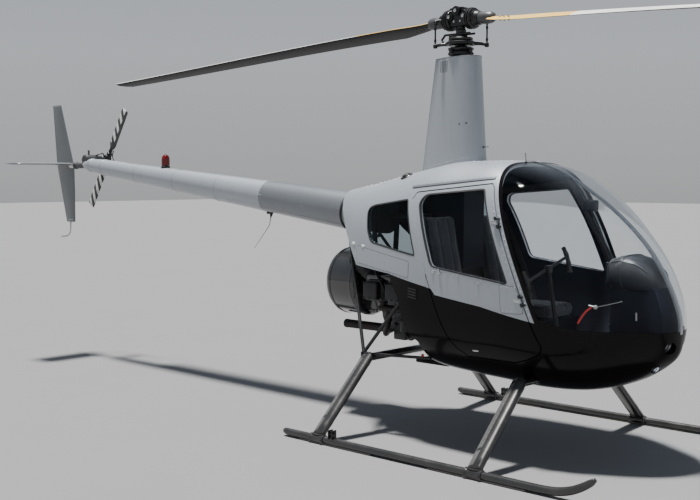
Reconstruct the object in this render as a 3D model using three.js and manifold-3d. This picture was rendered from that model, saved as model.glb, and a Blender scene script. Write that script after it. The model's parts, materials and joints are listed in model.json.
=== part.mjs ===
// A light two-seat helicopter with skids, a two-blade rotor and an open engine bay, parked on level ground.
// Millimetres, +X to the nose, +Y to the left (port) side, +Z up. Sizes are measured from the rotor mast's
// axis at ground level, and the whole group is shifted along X so that the origin is midway between the
// fin's rear edge and the tip of the front blade.
import * as THREE from 'three';
import { mergeVertices } from 'three/addons/utils/BufferGeometryUtils.js';
import Module from 'manifold-3d';

const wasm = await Module();
wasm.setup();

// Driving dimensions
const ROTOR_RADIUS = 3835;
const HUB_HEIGHT = 2730;
const BLADE_CHORD = 183;
const BLADE_RATIO = 0.12;
const FIN_REAR_X = -4941;
const TAIL_ROTOR = { x: -4360, y: 222, z: 1874, radius: 533, chord: 100, lean: 33 };
const HULL_REAR_X = -960;
const NOSE_X = 1592;
const SKID = { y: 946, radius: 24, shoe: 6, toe: 1595, heel: -717 };
const LEG = {
  chord: 100, thickness: 48,
  frontX: 804, frontY: 470, frontTop: 480,
  rearX: -392, rearY: 490, rearTop: 500,
};
const FOOT = { frontX: 827, rearX: -404 };
const WALL = 28;
const GLASS = { outer: 2, inner: 8 };
const FIT = 0.3;
const DOOR_GAP = 7;
const DOOR_POST = 25;
const MAST = { radius: 40, top: 2500, plate: 88, plateHeight: 52 };
const SHAFT_RADIUS = 22;
const CRANK_Z = 950;
const DRIVE_Z = 1430;

const SILVER = { color: 0xb4b9be, roughness: 0.32, metalness: 0.55 };
const BLACK = { color: 0x161517, roughness: 0.2, metalness: 0.1 };
const DARK = { color: 0x1c1d1f, roughness: 0.45, metalness: 0.4 };
const GUNMETAL = { color: 0x3a3b3d, roughness: 0.35, metalness: 0.6 };
const TINT = { color: 0x26323c, roughness: 0.05, metalness: 0 };
const CAST = { color: 0x6a6c6e, roughness: 0.5, metalness: 0.6 };
const LEATHER = { color: 0x2b2c30, roughness: 0.7, metalness: 0 };
const RED = { color: 0xb51414, roughness: 0.25, metalness: 0 };

// Solids and booleans

function solid(geometry) {
  const plain = geometry.clone();
  for (const name of Object.keys(plain.attributes)) {
    if (name !== 'position') plain.deleteAttribute(name);
  }
  const merged = mergeVertices(plain, 1e-3);
  return new wasm.Manifold(new wasm.Mesh({
    numProp: 3,
    vertProperties: new Float32Array(merged.attributes.position.array),
    triVerts: new Uint32Array(merged.index.array),
  }));
}

function geometryOf(body) {
  const mesh = body.getMesh();
  const geometry = new THREE.BufferGeometry();
  geometry.setAttribute('position', new THREE.BufferAttribute(new Float32Array(mesh.vertProperties), 3));
  geometry.setIndex(Array.from(mesh.triVerts));
  const faceted = geometry.toNonIndexed();
  faceted.computeVertexNormals();
  return faceted;
}

const join = (...solids) => solids.reduce((sum, next) => sum.add(next));
const cut = (base, ...tools) => tools.reduce((rest, tool) => rest.subtract(tool), base);
const vec = (x, y, z) => new THREE.Vector3(x, y, z);

// A closed skin over rings of points that all have the same count, capped at both ends.
function loft(rings) {
  const count = rings[0].length;
  const positions = rings.flat().flatMap((p) => [p.x, p.y, p.z]);
  const index = [];
  for (let r = 0; r + 1 < rings.length; r++) {
    for (let i = 0; i < count; i++) {
      const a = r * count + i;
      const b = r * count + (i + 1) % count;
      index.push(a, b, a + count, b, b + count, a + count);
    }
  }
  for (const [r, side] of [[0, 1], [rings.length - 1, -1]]) {
    const centre = rings[r].reduce((sum, p) => sum.add(p), vec(0, 0, 0)).divideScalar(count);
    const c = positions.length / 3;
    positions.push(centre.x, centre.y, centre.z);
    for (let i = 0; i < count; i++) {
      const pair = [r * count + i, r * count + (i + 1) % count];
      if (side === 1) pair.reverse();
      index.push(pair[0], pair[1], c);
    }
  }
  const geometry = new THREE.BufferGeometry();
  geometry.setAttribute('position', new THREE.Float32BufferAttribute(positions, 3));
  geometry.setIndex(index);
  if (signedVolume(positions, index) < 0) {
    const flipped = index.map((_, i) => index[i % 3 === 0 ? i : (i % 3 === 1 ? i + 1 : i - 1)]);
    geometry.setIndex(flipped);
  }
  return solid(geometry);
}

function signedVolume(positions, index) {
  const at = (i) => vec(positions[3 * i], positions[3 * i + 1], positions[3 * i + 2]);
  let sum = 0;
  for (let i = 0; i < index.length; i += 3) {
    sum += at(index[i]).dot(at(index[i + 1]).cross(at(index[i + 2])));
  }
  return sum;
}

function box(x0, x1, y0, y1, z0, z1) {
  const geometry = new THREE.BoxGeometry(x1 - x0, y1 - y0, z1 - z0);
  geometry.translate((x0 + x1) / 2, (y0 + y1) / 2, (z0 + z1) / 2);
  return solid(geometry);
}

// An outline in X and Z, extruded along Y.
function slab(outline, y0, y1) {
  const shape = new THREE.Shape(outline.map(([x, z]) => new THREE.Vector2(x, z)));
  const geometry = new THREE.ExtrudeGeometry(shape, { depth: y1 - y0, bevelEnabled: false });
  geometry.rotateX(Math.PI / 2);
  geometry.translate(0, y1, 0);
  return solid(geometry);
}

// Two outlines in X and Z of the same count, joined by flat sides.
function wedge(outlineA, yA, outlineB, yB) {
  return loft([outlineA.map(([x, z]) => vec(x, yA, z)), outlineB.map(([x, z]) => vec(x, yB, z))]);
}

// An outline moved outward by a distance, corner by corner.
function grow(outline, distance) {
  const count = outline.length;
  const area = outline.reduce((sum, [x, z], i) => {
    const [nx, nz] = outline[(i + 1) % count];
    return sum + x * nz - nx * z;
  }, 0);
  const side = Math.sign(area);
  return outline.map(([x, z], i) => {
    const [px, pz] = outline[(i + count - 1) % count];
    const [nx, nz] = outline[(i + 1) % count];
    const before = new THREE.Vector2(z - pz, px - x).normalize();
    const after = new THREE.Vector2(nz - z, x - nx).normalize();
    const bisector = before.clone().add(after).normalize();
    const reach = side * distance / bisector.dot(before);
    return [x + bisector.x * reach, z + bisector.y * reach];
  });
}

// A body turned around the line from one point towards another. Profile rows are [distance along, radius].
function turned(from, to, profile, sides = 16) {
  const geometry = new THREE.LatheGeometry(profile.map(([s, r]) => new THREE.Vector2(r, s)), sides);
  const direction = to.clone().sub(from).normalize();
  geometry.applyQuaternion(new THREE.Quaternion().setFromUnitVectors(vec(0, 1, 0), direction));
  geometry.translate(from.x, from.y, from.z);
  return solid(geometry);
}

function rod(from, to, radius, sides = 10) {
  const length = from.distanceTo(to);
  return turned(from, to, [[0, 0], [0, radius], [length, radius], [length, 0]], sides);
}

// A round tube through points, with one radius for each point.
function pipe(points, radii, sides = 10) {
  const rings = points.map((point, i) => {
    const ahead = points[Math.min(i + 1, points.length - 1)].clone().sub(point).normalize();
    const behind = point.clone().sub(points[Math.max(i - 1, 0)]).normalize();
    const along = ahead.add(behind).normalize();
    const helper = Math.abs(along.y) > 0.9 ? vec(1, 0, 0) : vec(0, 1, 0);
    const across = helper.clone().cross(along).normalize();
    const third = along.clone().cross(across);
    const radius = Array.isArray(radii) ? radii[i] : radii;
    return Array.from({ length: sides }, (_, k) => {
      const angle = 2 * Math.PI * k / sides;
      return point.clone().addScaledVector(across, radius * Math.cos(angle))
        .addScaledVector(third, radius * Math.sin(angle));
    });
  });
  return loft(rings);
}

const LEG_TAPER = 0.25;

// A streamlined tube whose chord lies along X, with both ends in planes of constant Y.
function legTube(from, to, extra = 0) {
  const direction = to.clone().sub(from);
  const halfChord = LEG.chord / 2 + extra;
  const stretch = Math.abs(direction.length() / direction.y);
  const halfThick = (LEG.thickness / 2 + extra) * stretch;
  const sides = 14;
  const ring = (centre) => Array.from({ length: sides }, (_, k) => {
    const angle = 2 * Math.PI * k / sides;
    const taper = 1 + LEG_TAPER * Math.cos(angle);
    const rise = halfThick * taper * Math.sin(angle);
    return vec(centre.x + halfChord * Math.cos(angle), centre.y, centre.z + rise);
  });
  return loft([ring(from), ring(to)]);
}

// Hull: sections across the cabin and the cowl behind it, squarer above than at the nose.
// Columns: x, half width, bottom, height of the greatest width, top, exponent above, exponent below
const HULL = [
  [HULL_REAR_X, 160, 480, 1250, 1606, 2.6, 3.0],
  [-925, 215, 480, 1240, 1611, 2.7, 3.0],
  [-860, 268, 480, 1220, 1621, 2.8, 3.0],
  [-790, 302, 480, 1190, 1633, 2.9, 3.0],
  [-600, 400, 480, 1110, 1662, 3.0, 3.0],
  [-300, 490, 470, 1010, 1724, 3.1, 2.7],
  [0, 550, 455, 960, 1780, 3.2, 2.5],
  [110, 560, 440, 955, 1798, 3.2, 2.5],
  [340, 572, 422, 950, 1803, 3.25, 2.4],
  [570, 576, 406, 945, 1797, 3.5, 2.3],
  [790, 576, 393, 930, 1731, 3.8, 2.2],
  [1040, 528, 409, 902, 1584, 3.45, 2.25],
  [1162, 466, 433, 886, 1496, 3.14, 2.2],
  [1276, 400, 470, 874, 1398, 2.83, 2.05],
  [1374, 344, 512, 864, 1296, 2.62, 1.85],
  [1446, 290, 554, 854, 1200, 2.5, 1.7],
  [1523, 203, 610, 844, 1065, 2.45, 1.65],
  [1570, 118, 660, 834, 950, 2.4, 1.65],
  [1586, 66, 702, 830, 892, 2.3, 1.7],
  [NOSE_X, 22, 756, 828, 852, 2.2, 1.8],
];
const HULL_MIDDLE_X = 500;
const HULL_POINTS = 32;

// The hull's solid, shrunk inward by an offset.
function hull(offset = 0) {
  const rings = HULL.map(([x, half, bottom, middle, top, above, below]) => {
    const reach = x > HULL_MIDDLE_X ? NOSE_X - HULL_MIDDLE_X : HULL_MIDDLE_X - HULL_REAR_X;
    const shifted = x - offset * (x - HULL_MIDDLE_X) / reach;
    const width = Math.max(half - offset, half * 0.2);
    const up = Math.max(top - middle - offset, (top - middle) * 0.3);
    const down = Math.max(middle - bottom - offset, (middle - bottom) * 0.3);
    return Array.from({ length: HULL_POINTS }, (_, i) => {
      const angle = 2 * Math.PI * i / HULL_POINTS;
      const power = 2 / (angle < Math.PI ? above : below);
      const c = Math.cos(angle);
      const s = Math.sin(angle);
      const y = width * Math.sign(c) * Math.abs(c) ** power;
      const rise = Math.abs(s) < 1e-9 ? 0 : Math.abs(s) ** power;
      return vec(shifted, Math.abs(c) < 1e-9 ? 0 : y, middle + (s > 0 ? up : -down) * rise);
    });
  });
  return loft(rings);
}

// Lines that part the panels, seen from the side
const WINDSCREEN_FOOT = { x: 955, z: 855 };
const WINDSCREEN_RAKE = 0.395;
const frontEdgeX = (z) => WINDSCREEN_FOOT.x - WINDSCREEN_RAKE * (z - WINDSCREEN_FOOT.z);
const SILL_LINE = [[205, 1005], [238, 969], [588, 925], [WINDSCREEN_FOOT.x, WINDSCREEN_FOOT.z]];
const NOSE_LINE = [[1160, 812], [1720, 790]];
const COWL_LINE = [[-1100, 1800], [-858, 1499], [-743, 1331], [-677, 1256], [-560, 1104], [-185, 1073]];
const LOWER_REAR_LINE = [[-150, 1009], [-90, 920], [-60, 786], [-31, 685], [36, 650], [44, 604], [52, 470]];
const MIDDLE_LINE = [[83, 1027]];
const ABOVE = 2000;
const BELOW = 200;
const SIDE = 700;
const raise = (line, by) => line.map(([x, z]) => [x, z + by]);

const lowerOutline = [
  [-185, 1073], ...MIDDLE_LINE, ...SILL_LINE, ...NOSE_LINE,
  [1720, BELOW], [110, BELOW], ...[...LOWER_REAR_LINE].reverse(),
];
const upperOutline = [
  ...raise([...COWL_LINE, ...MIDDLE_LINE, ...SILL_LINE], FIT),
  [frontEdgeX(ABOVE), ABOVE], [-1100, ABOVE],
];
const windscreenOutline = [
  [WINDSCREEN_FOOT.x + FIT, WINDSCREEN_FOOT.z + FIT], ...raise(NOSE_LINE, FIT),
  [1720, ABOVE], [frontEdgeX(ABOVE) + FIT, ABOVE],
];

const DOOR_REAR = { x: 195, z: 990, rake: 0.408 };
const doorRearX = (z) => DOOR_REAR.x - DOOR_REAR.rake * (z - DOOR_REAR.z);
const doorFrontX = (z) => frontEdgeX(z) - DOOR_POST - DOOR_GAP;
const DOOR_BOTTOM = 600;
const doorOutline = [
  [doorRearX(700), 700], [doorRearX(640) + 20, 640], [doorRearX(DOOR_BOTTOM) + 70, DOOR_BOTTOM],
  [doorFrontX(DOOR_BOTTOM) - 245, DOOR_BOTTOM], [doorFrontX(627) - 150, 627], [doorFrontX(668) - 40, 668],
  [doorFrontX(712), 712],
  [doorFrontX(1630), 1630], [doorFrontX(1655) - 16, 1655], [20, 1600], [doorRearX(1590) + 30, 1585],
  [doorRearX(1555), 1555],
];
const DOOR_TAPER = { outerY: 640, innerY: 340, slope: 0.12 };
const doorWindow = [
  [555, 1622], [535, 1625], [110, 1590], [75, 1572], [56, 1530], [190, 1172], [206, 1150], [230, 1141],
  [765, 1074], [778, 1080],
];
const rearWindow = [
  [-60, 1556], [-400, 1512], [-448, 1496], [-462, 1466], [-432, 1340], [-400, 1285], [-370, 1266], [62, 1204],
];
const MAST_COVER = { x0: -150, x1: 118, y: 112 };

function doorWedge(extra) {
  const outer = grow(doorOutline, extra);
  const shift = (DOOR_TAPER.outerY - DOOR_TAPER.innerY) * DOOR_TAPER.slope;
  const last = outer.length - 1;
  const rear = new Set([0, 1, last, last - 1]);
  const inner = outer.map(([x, z], i) => [x + (rear.has(i) ? shift : 0), z]);
  return wedge(inner, DOOR_TAPER.innerY, outer, DOOR_TAPER.outerY);
}

// Hinge pins stand clear of the bulge of the door's front edge. Columns: z, y of the pin, y of the skin there
const HINGES = [[980, 579, 558], [1430, 572, 548]];
const KNUCKLE = { radius: 9, half: 14, gap: 0.5, leaf: 40 };
const hingePoint = ([z, y]) => vec(frontEdgeX(z) - DOOR_POST - DOOR_GAP / 2, y, z);
const hingeAxis = hingePoint(HINGES[1]).sub(hingePoint(HINGES[0])).normalize();

function barrel(at, from, to) {
  const place = (distance) => at.clone().addScaledVector(hingeAxis, distance);
  return rod(place(from), place(to), KNUCKLE.radius, 8);
}

function doorKnuckle(hinge) {
  const at = hingePoint(hinge);
  const leaf = box(at.x - KNUCKLE.leaf, at.x - 4, hinge[2] - 10, at.y, at.z - 8, at.z + 8);
  return join(barrel(at, -KNUCKLE.half, KNUCKLE.half), leaf);
}

function postKnuckles(hinge) {
  const at = hingePoint(hinge);
  return [-1, 1].flatMap((side) => {
    const near = side * (KNUCKLE.half + KNUCKLE.gap);
    const far = side * (KNUCKLE.half + 20);
    const middle = at.clone().addScaledVector(hingeAxis, (near + far) / 2);
    const leaf = box(middle.x + 2, middle.x + 20, hinge[2] - 10, at.y, middle.z - 5, middle.z + 5);
    return [barrel(at, near, far), leaf];
  });
}

const outerHull = hull();
const innerHull = hull(WALL);
const shell = outerHull.subtract(innerHull);
const lining = hull(WALL + FIT);
const pane = hull(GLASS.outer).subtract(hull(GLASS.inner));
const mirrored = (body, side) => (side > 0 ? body : body.mirror([0, 1, 0]));

// Legs and skids
const skidPath = [
  [SKID.heel, 36, 13], [-650, 30, SKID.radius], [1270, 30, SKID.radius], [1360, 36, SKID.radius],
  [1440, 54, SKID.radius], [1510, 84, 23], [1570, 121, 20], [SKID.toe, 143, 13],
];

function skidTube(extra = 0) {
  return pipe(skidPath.map(([x, z]) => vec(x, SKID.y, z)), skidPath.map((row) => row[2] + extra), 12);
}

function skid() {
  const shoes = [[-560, 60], [500, 1180]].map(([x0, x1]) => box(x0, x1, SKID.y - 16, SKID.y + 16, 0, 20));
  const bracket = box(-300, -262, SKID.y - 12, SKID.y + 12, 45, 92);
  const ears = [-300, -270].map((x) => box(x, x + 8, SKID.y - 22, SKID.y + 22, 70, 104));
  return join(skidTube(), ...shoes, bracket, ...ears);
}

function leg(x, footX, topY, topZ, extra = 0) {
  const foot = vec(footX, SKID.y, 52);
  const tube = legTube(foot, vec(x, topY, topZ), extra);
  if (extra > 0) return tube;
  const saddle = rod(vec(footX - 62, SKID.y, 30), vec(footX + 62, SKID.y, 30), 32, 16);
  const below = box(footX - 200, footX + 200, SKID.y - 100, SKID.y + 100, -60, 30);
  return cut(join(tube, saddle), below, skidTube(FIT));
}

const frontLeg = (extra) => leg(LEG.frontX, FOOT.frontX, LEG.frontY, LEG.frontTop, extra);
const rearLeg = (extra) => leg(LEG.rearX, FOOT.rearX, LEG.rearY, LEG.rearTop, extra);

function crossTube(x, z, halfLength, extra = 0) {
  return legTube(vec(x, -halfLength + FIT, z), vec(x, halfLength - FIT, z), extra);
}

const frontTube = (more, extra) => crossTube(LEG.frontX, LEG.frontTop, LEG.frontY + more, extra);
const rearTube = (more, extra) => crossTube(LEG.rearX, LEG.rearTop, LEG.rearY + more, extra);

// Cabin shells, with a drip tray behind the belly
const BELLY_TRAY = { x0: -185, x1: 90, y: 235, z0: 459, z1: 484 };

function lowerBody() {
  const half = join(doorWedge(DOOR_GAP), frontLeg(FIT));
  const skin = cut(
    shell.intersect(slab(lowerOutline, -SIDE, SIDE)), half, mirrored(half, -1), ...lampSockets(FIT),
    frontTube(1, FIT),
  );
  const { x0, x1, y, z0, z1 } = BELLY_TRAY;
  return join(skin, box(x0, x1, -y, y, z0, z1));
}

function upperBody() {
  const half = join(doorWedge(DOOR_GAP), slab(rearWindow, 250, SIDE));
  const mastHole = rod(vec(0, 0, 1600), vec(0, 0, 1900), MAST.radius + FIT, 20);
  const knuckles = join(...HINGES.flatMap(postKnuckles));
  const skin = cut(
    shell.intersect(slab(upperOutline, -SIDE, SIDE)), half, mirrored(half, -1), mastHole, coneGrown(),
  );
  return join(skin, knuckles, mirrored(knuckles, -1));
}

function door() {
  return join(cut(shell.intersect(doorWedge(0)), slab(doorWindow, 300, SIDE)), ...HINGES.map(doorKnuckle));
}

const doorGlass = () => pane.intersect(slab(grow(doorWindow, -FIT), 300, SIDE));
const rearGlass = () => pane.intersect(slab(grow(rearWindow, -FIT), 250, SIDE));

const STRIP = { half: 14, outer: -3, inner: 12 };
const windscreenRegion = slab(windscreenOutline, -SIDE, SIDE);

function windscreen() {
  return pane.intersect(slab(windscreenOutline, STRIP.half + FIT, SIDE));
}

function windscreenStrip() {
  const band = box(0, 1700, -STRIP.half, STRIP.half, BELOW, ABOVE);
  return hull(STRIP.outer).subtract(hull(STRIP.inner)).intersect(windscreenRegion).intersect(band);
}

// Bulkhead behind the seats and the deck over the engine, as one folded sheet
const BULKHEAD = { footX: 176, footZ: 530, topX: 60, topZ: 1090, thickness: 14 };
const bulkheadX = (z) => BULKHEAD.footX
  + (BULKHEAD.topX - BULKHEAD.footX) * (z - BULKHEAD.footZ) / (BULKHEAD.topZ - BULKHEAD.footZ);
const DECK = { rearX: -556, rise: 45, thickness: 12 };
const deckTop = (x) => BULKHEAD.topZ + DECK.thickness
  + DECK.rise * (BULKHEAD.topX - x) / (BULKHEAD.topX - DECK.rearX);
const FLOOR = { bottom: 540, top: 552 };

function firewall() {
  const { thickness, topX, topZ } = BULKHEAD;
  const sheet = slab([
    [bulkheadX(BELOW), BELOW], [topX, topZ], [topX, deckTop(topX)], [DECK.rearX, deckTop(DECK.rearX)],
    [DECK.rearX, deckTop(DECK.rearX) - DECK.thickness], [topX - thickness, topZ],
    [bulkheadX(BELOW) - thickness, BELOW],
  ], -SIDE, SIDE);
  return sheet.intersect(lining);
}

function cabinFloor() {
  const plate = slab([
    [bulkheadX(FLOOR.bottom) + FIT, FLOOR.bottom], [1420, FLOOR.bottom], [1420, FLOOR.top],
    [bulkheadX(FLOOR.top) + FIT, FLOOR.top],
  ], -SIDE, SIDE);
  return plate.intersect(lining);
}

// Drive: gearbox column, mast and fairing
const MAST_SEAT_Z = 1690;

function gearboxColumn() {
  const { x0, x1, y } = MAST_COVER;
  const front = BULKHEAD.topX;
  const foot = deckTop(front) + FIT;
  const block = slab([[x0, deckTop(x0) + FIT], [front, foot], [x1, foot], [x1, ABOVE], [x0, ABOVE]], -y, y);
  const bore = rod(vec(0, 0, MAST_SEAT_Z), vec(0, 0, ABOVE), MAST.radius + FIT, 20);
  return cut(block.intersect(lining), bore);
}

function mast() {
  const bore = SHAFT_RADIUS + 0.5;
  const top = MAST.top - MAST_SEAT_Z;
  return turned(vec(0, 0, MAST_SEAT_Z + FIT), vec(0, 0, 3000), [
    [0, bore], [0, MAST.radius], [top, MAST.radius], [top, MAST.plate],
    [top + MAST.plateHeight, MAST.plate], [top + MAST.plateHeight, bore], [0, bore],
  ], 20);
}

// Teardrop sections of the fairing. Columns: z, front x, rear x, half width
const FAIRING = [
  [1620, 200, -330, 113], [1790, 195, -312, 109],
  [2140, 173, -262, 97], [2490, 152, -210, 84],
];
const TEARDROP_POINTS = 11;

function fairingLoft(wall) {
  return loft(FAIRING.map(([z, front, rear, half], row) => {
    const pastEnd = row === 0 ? -20 : 20;
    const atEnd = row === 0 || row === FAIRING.length - 1;
    const reach = wall > 0 && atEnd ? pastEnd : 0;
    const chord = front - rear - 4 * wall;
    const side = Array.from({ length: TEARDROP_POINTS }, (_, i) => {
      const t = (1 - Math.cos(Math.PI * i / (TEARDROP_POINTS - 1))) / 2;
      const bulge = 0.2969 * Math.sqrt(t) - 0.126 * t - 0.3516 * t ** 2 + 0.2843 * t ** 3 - 0.1036 * t ** 4;
      return [front - wall - chord * t, Math.max(bulge * 10 * (half - wall), 0)];
    });
    const right = side.map(([x, y]) => vec(x, y, z + reach));
    const left = side.slice(1, -1).reverse().map(([x, y]) => vec(x, -y, z + reach));
    return [...right, ...left];
  }));
}

function mastFairing() {
  return cut(fairingLoft(0), fairingLoft(10), hull(-FIT));
}

// Interior
const SEAT = {
  inner: 126, outer: 452, front: 640, top: 780,
  cushion: 92, back: 84, backTop: 1460, lean: 0.207,
};

function seatBase() {
  const rear = bulkheadX(FLOOR.top) + 12;
  const half = slab([[rear, FLOOR.top + FIT], [SEAT.front - 30, FLOOR.top + FIT], [SEAT.front, SEAT.top],
    [rear - 46, SEAT.top]], 60, 458);
  const bridge = slab([[rear, FLOOR.top + FIT], [520, FLOOR.top + FIT], [540, SEAT.top - 40],
    [rear - 38, SEAT.top - 40]], -61, 61);
  const hollow = slab([
    [rear + 10, FLOOR.top - 5], [SEAT.front - 42, FLOOR.top - 5],
    [SEAT.front - 14, SEAT.top - 12], [rear - 34, SEAT.top - 12],
  ], 72, 446).intersect(hull(WALL + 12));
  return cut(join(half, mirrored(half, -1), bridge).intersect(lining), hollow, mirrored(hollow, -1));
}

function seatCushion() {
  const rear = bulkheadX(SEAT.top) + 14;
  return slab([[rear, SEAT.top + FIT], [SEAT.front - 6, SEAT.top + FIT], [SEAT.front, SEAT.top + 74],
    [SEAT.front - 30, SEAT.top + SEAT.cushion], [rear, SEAT.top + SEAT.cushion]], SEAT.inner, SEAT.outer)
    .intersect(lining);
}

function seatBack() {
  const low = SEAT.top + SEAT.cushion + FIT;
  const x0 = bulkheadX(low) + 5;
  const x1 = x0 - SEAT.lean * (SEAT.backTop - low);
  return slab([[x0, low], [x0 + SEAT.back, low], [x1 + SEAT.back, SEAT.backTop - 20],
    [x1 + SEAT.back - 24, SEAT.backTop], [x1 + 20, SEAT.backTop], [x1, SEAT.backTop - 20]],
  SEAT.inner, SEAT.outer).intersect(lining);
}

const CONSOLE = { x0: 1205, x1: 1440, half: 105, top: 1040 };

function instrumentConsole() {
  const { x0, x1, half: halfWidth, top: pedestalTop } = CONSOLE;
  const pedestal = box(x0, x1, -halfWidth, halfWidth, FLOOR.top + FIT, pedestalTop + 20);
  const hoodRing = (x, half, bottom, top) => Array.from({ length: 16 }, (_, i) => {
    const angle = 2 * Math.PI * i / 16;
    const c = Math.cos(angle);
    const s = Math.sin(angle);
    return vec(x, half * Math.sign(c) * Math.abs(c) ** 0.7,
      (bottom + top) / 2 + (top - bottom) / 2 * Math.sign(s) * Math.abs(s) ** 0.7);
  });
  const hood = loft([
    hoodRing(1180, 115, 1045, 1190), hoodRing(1196, 150, 1035, 1222), hoodRing(1270, 165, 1025, 1243),
    hoodRing(1370, 150, 1015, 1222), hoodRing(1450, 115, 1005, 1150), hoodRing(1480, 70, 1015, 1090),
  ]);
  const bow = pipe([vec(832, 0, 1717), vec(1155, 0, 1172), vec(1215, 0, 1120)], 20, 12);
  const compass = box(960, 1035, -32, 32, 1488, 1560);
  const column = join(pedestal, hood).intersect(hull(WALL + 12));
  return join(column, bow.intersect(hull(STRIP.inner + FIT)), compass);
}

function cyclic() {
  const stickPath = [vec(800, 0, FLOOR.top + 20), vec(790, 0, 640), vec(735, 0, 900), vec(700, 0, 1110)];
  const stick = pipe(stickPath, 14, 8);
  const bootProfile = [[0, 0], [0, 48], [30, 30], [60, 22], [60, 0]];
  const boot = turned(vec(800, 0, FLOOR.top + FIT), vec(800, 0, 700), bootProfile, 12);
  const bar = rod(vec(690, -225, 1056), vec(690, 225, 1186), 10, 8);
  const grips = [[-228, 1056], [228, 1186]].flatMap(([y, z]) => [
    pipe([vec(712, y, z - 96), vec(700, y, z - 30), vec(662, y, z + 58)], 16, 8),
    box(680, 728, y - 12, y + 12, z - 24, z - 4),
  ]);
  const head = box(678, 716, -28, 28, 1096, 1146);
  return join(stick, boot, bar, head, ...grips);
}

function pedals() {
  const base = box(1036, 1076, -320, 320, FLOOR.top + FIT, FLOOR.top + 22);
  const arms = [-300, -184, 184, 300].map((y) => join(
    pipe([vec(1056, y, 565), vec(1085, y, 660), vec(1080, y, 735)], 8, 6),
    box(1072, 1088, y - 42, y + 42, 700, 770),
  ));
  return cut(join(base, ...arms), box(CONSOLE.x0 - 10, CONSOLE.x1, -120, 120, 0, 1000));
}

// Engine bay
const SCROLL = { radius: 240, wall: 7, front: -745, rear: -1047, centre: CRANK_Z - 3 };
const ENGINE_REAR_X = -598;

function engine() {
  const crankcase = slab([
    [ENGINE_REAR_X, 850], [ENGINE_REAR_X, 1020], [-560, 1050], [-200, 1050], [-180, 1000],
    [-180, 820], [-230, 700], [-300, 640], [-540, 640], [-580, 720],
  ], -118, 118);
  const airbox = box(-530, -420, -62, 62, 558, 650);
  const shaft = rod(vec(ENGINE_REAR_X + 10, 0, CRANK_Z), vec(-1000, 0, CRANK_Z), 24, 12);
  const fan = rod(vec(-985, 0, CRANK_Z), vec(-1000, 0, CRANK_Z), 170, 20);
  const cylinders = [];
  for (const x of [-480, -285]) {
    for (const side of [-1, 1]) {
      const fins = [];
      for (let s = 24; s < 190; s += 48) fins.push([s, 56], [s, 76], [s + 24, 76], [s + 24, 56]);
      cylinders.push(turned(vec(x, side * 110, CRANK_Z - 20), vec(x, side * 500, CRANK_Z - 20),
        [[0, 0], [0, 56], ...fins, [215, 56], [215, 0]], 8));
      cylinders.push(box(x - 62, x + 62, Math.min(side * 318, side * 372), Math.max(side * 318, side * 372),
        CRANK_Z - 82, CRANK_Z + 42));
    }
  }
  const lugEnd = FRAME_FRONT.x - 12 - FIT;
  const lugs = [-1, 1].map((side) => box(-190, lugEnd, side * 100 - 18, side * 100 + 18, 880, 946));
  return join(crankcase, airbox, shaft, fan, ...cylinders, ...lugs);
}

function beltDrive() {
  const lower = turned(vec(-625, 0, CRANK_Z), vec(-700, 0, CRANK_Z),
    [[0, 24 + FIT], [0, 96], [62, 96], [62, 24 + FIT], [0, 24 + FIT]], 24);
  const upperProfile = [[0, 0], [0, 132], [62, 132], [62, 0]];
  const upper = turned(vec(-625, 0, DRIVE_Z), vec(-700, 0, DRIVE_Z), upperProfile, 24);
  const beltAngles = Array.from({ length: 9 }, (_, i) => Math.PI * i / 8);
  const outline = (extra) => [
    ...beltAngles.map((a) => [(132 + extra) * Math.cos(a), DRIVE_Z + (132 + extra) * Math.sin(a)]),
    ...beltAngles.map((a) => [-(96 + extra) * Math.cos(a), CRANK_Z - (96 + extra) * Math.sin(a)]),
  ];
  const loop = (extra, x0, x1) => loft([x0, x1].map((x) => outline(extra).map(([y, z]) => vec(x, y, z))));
  const belt = cut(loop(10, -636, -676), loop(-3, -600, -720));
  const shaft = rod(vec(MAST_COVER.x0 - FIT, 0, DRIVE_Z), vec(-630, 0, DRIVE_Z), 20, 12);
  return join(lower, upper, belt, shaft);
}

function fanScroll() {
  const { radius, front, rear, wall } = SCROLL;
  const length = front - rear;
  const shaftHole = rod(vec(front + 50, 0, CRANK_Z), vec(front - 50, 0, CRANK_Z), 24 + FIT, 12);
  const drum = turned(vec(front, 0, SCROLL.centre), vec(rear, 0, SCROLL.centre), [
    [0, 0], [0, radius - 40], [12, radius - 12], [34, radius], [length - 60, radius],
    [length - 22, radius - 14], [length, radius - 50], [length, 130], [length - wall, 130],
    [length - wall, radius - 54], [length - 60, radius - wall], [34, radius - wall], [wall, radius - 44],
    [wall, 0],
  ], 30);
  return cut(drum, shaftHole);
}

function exhaust() {
  const bar = rod(vec(-590, 0, 622), vec(-1040, 0, 622), 31, 14);
  const collector = pipe([vec(-640, 0, 622), vec(-600, 18, 622), vec(-572, 80, 608), vec(-520, 152, 618),
    vec(-450, 210, 700), vec(-430, 228, 790)], 22, 8);
  const other = mirrored(collector, -1);
  const rocker = (side) => rod(vec(-480, side * 226, 800), vec(-285, side * 226, 800), 24, 10);
  const rockers = join(...[-1, 1].map(rocker));
  const risers = [];
  for (const x of [-480, -285]) {
    for (const side of [-1, 1]) risers.push(rod(vec(x, side * 226, 800), vec(x, side * 226, 853.5), 22, 10));
  }
  return join(bar, collector, other, rockers, ...risers);
}

const FRAME_FRONT = { x: -90, y: 487, z: 913 };
const FRAME_REAR = { x: -905, y: 125, z: 1375 };
const FRAME_RAIL = 0.876;
const FRAME_TUBE = 12;
const ELBOW = { x: -428, y: 484, z: 526 };

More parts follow.
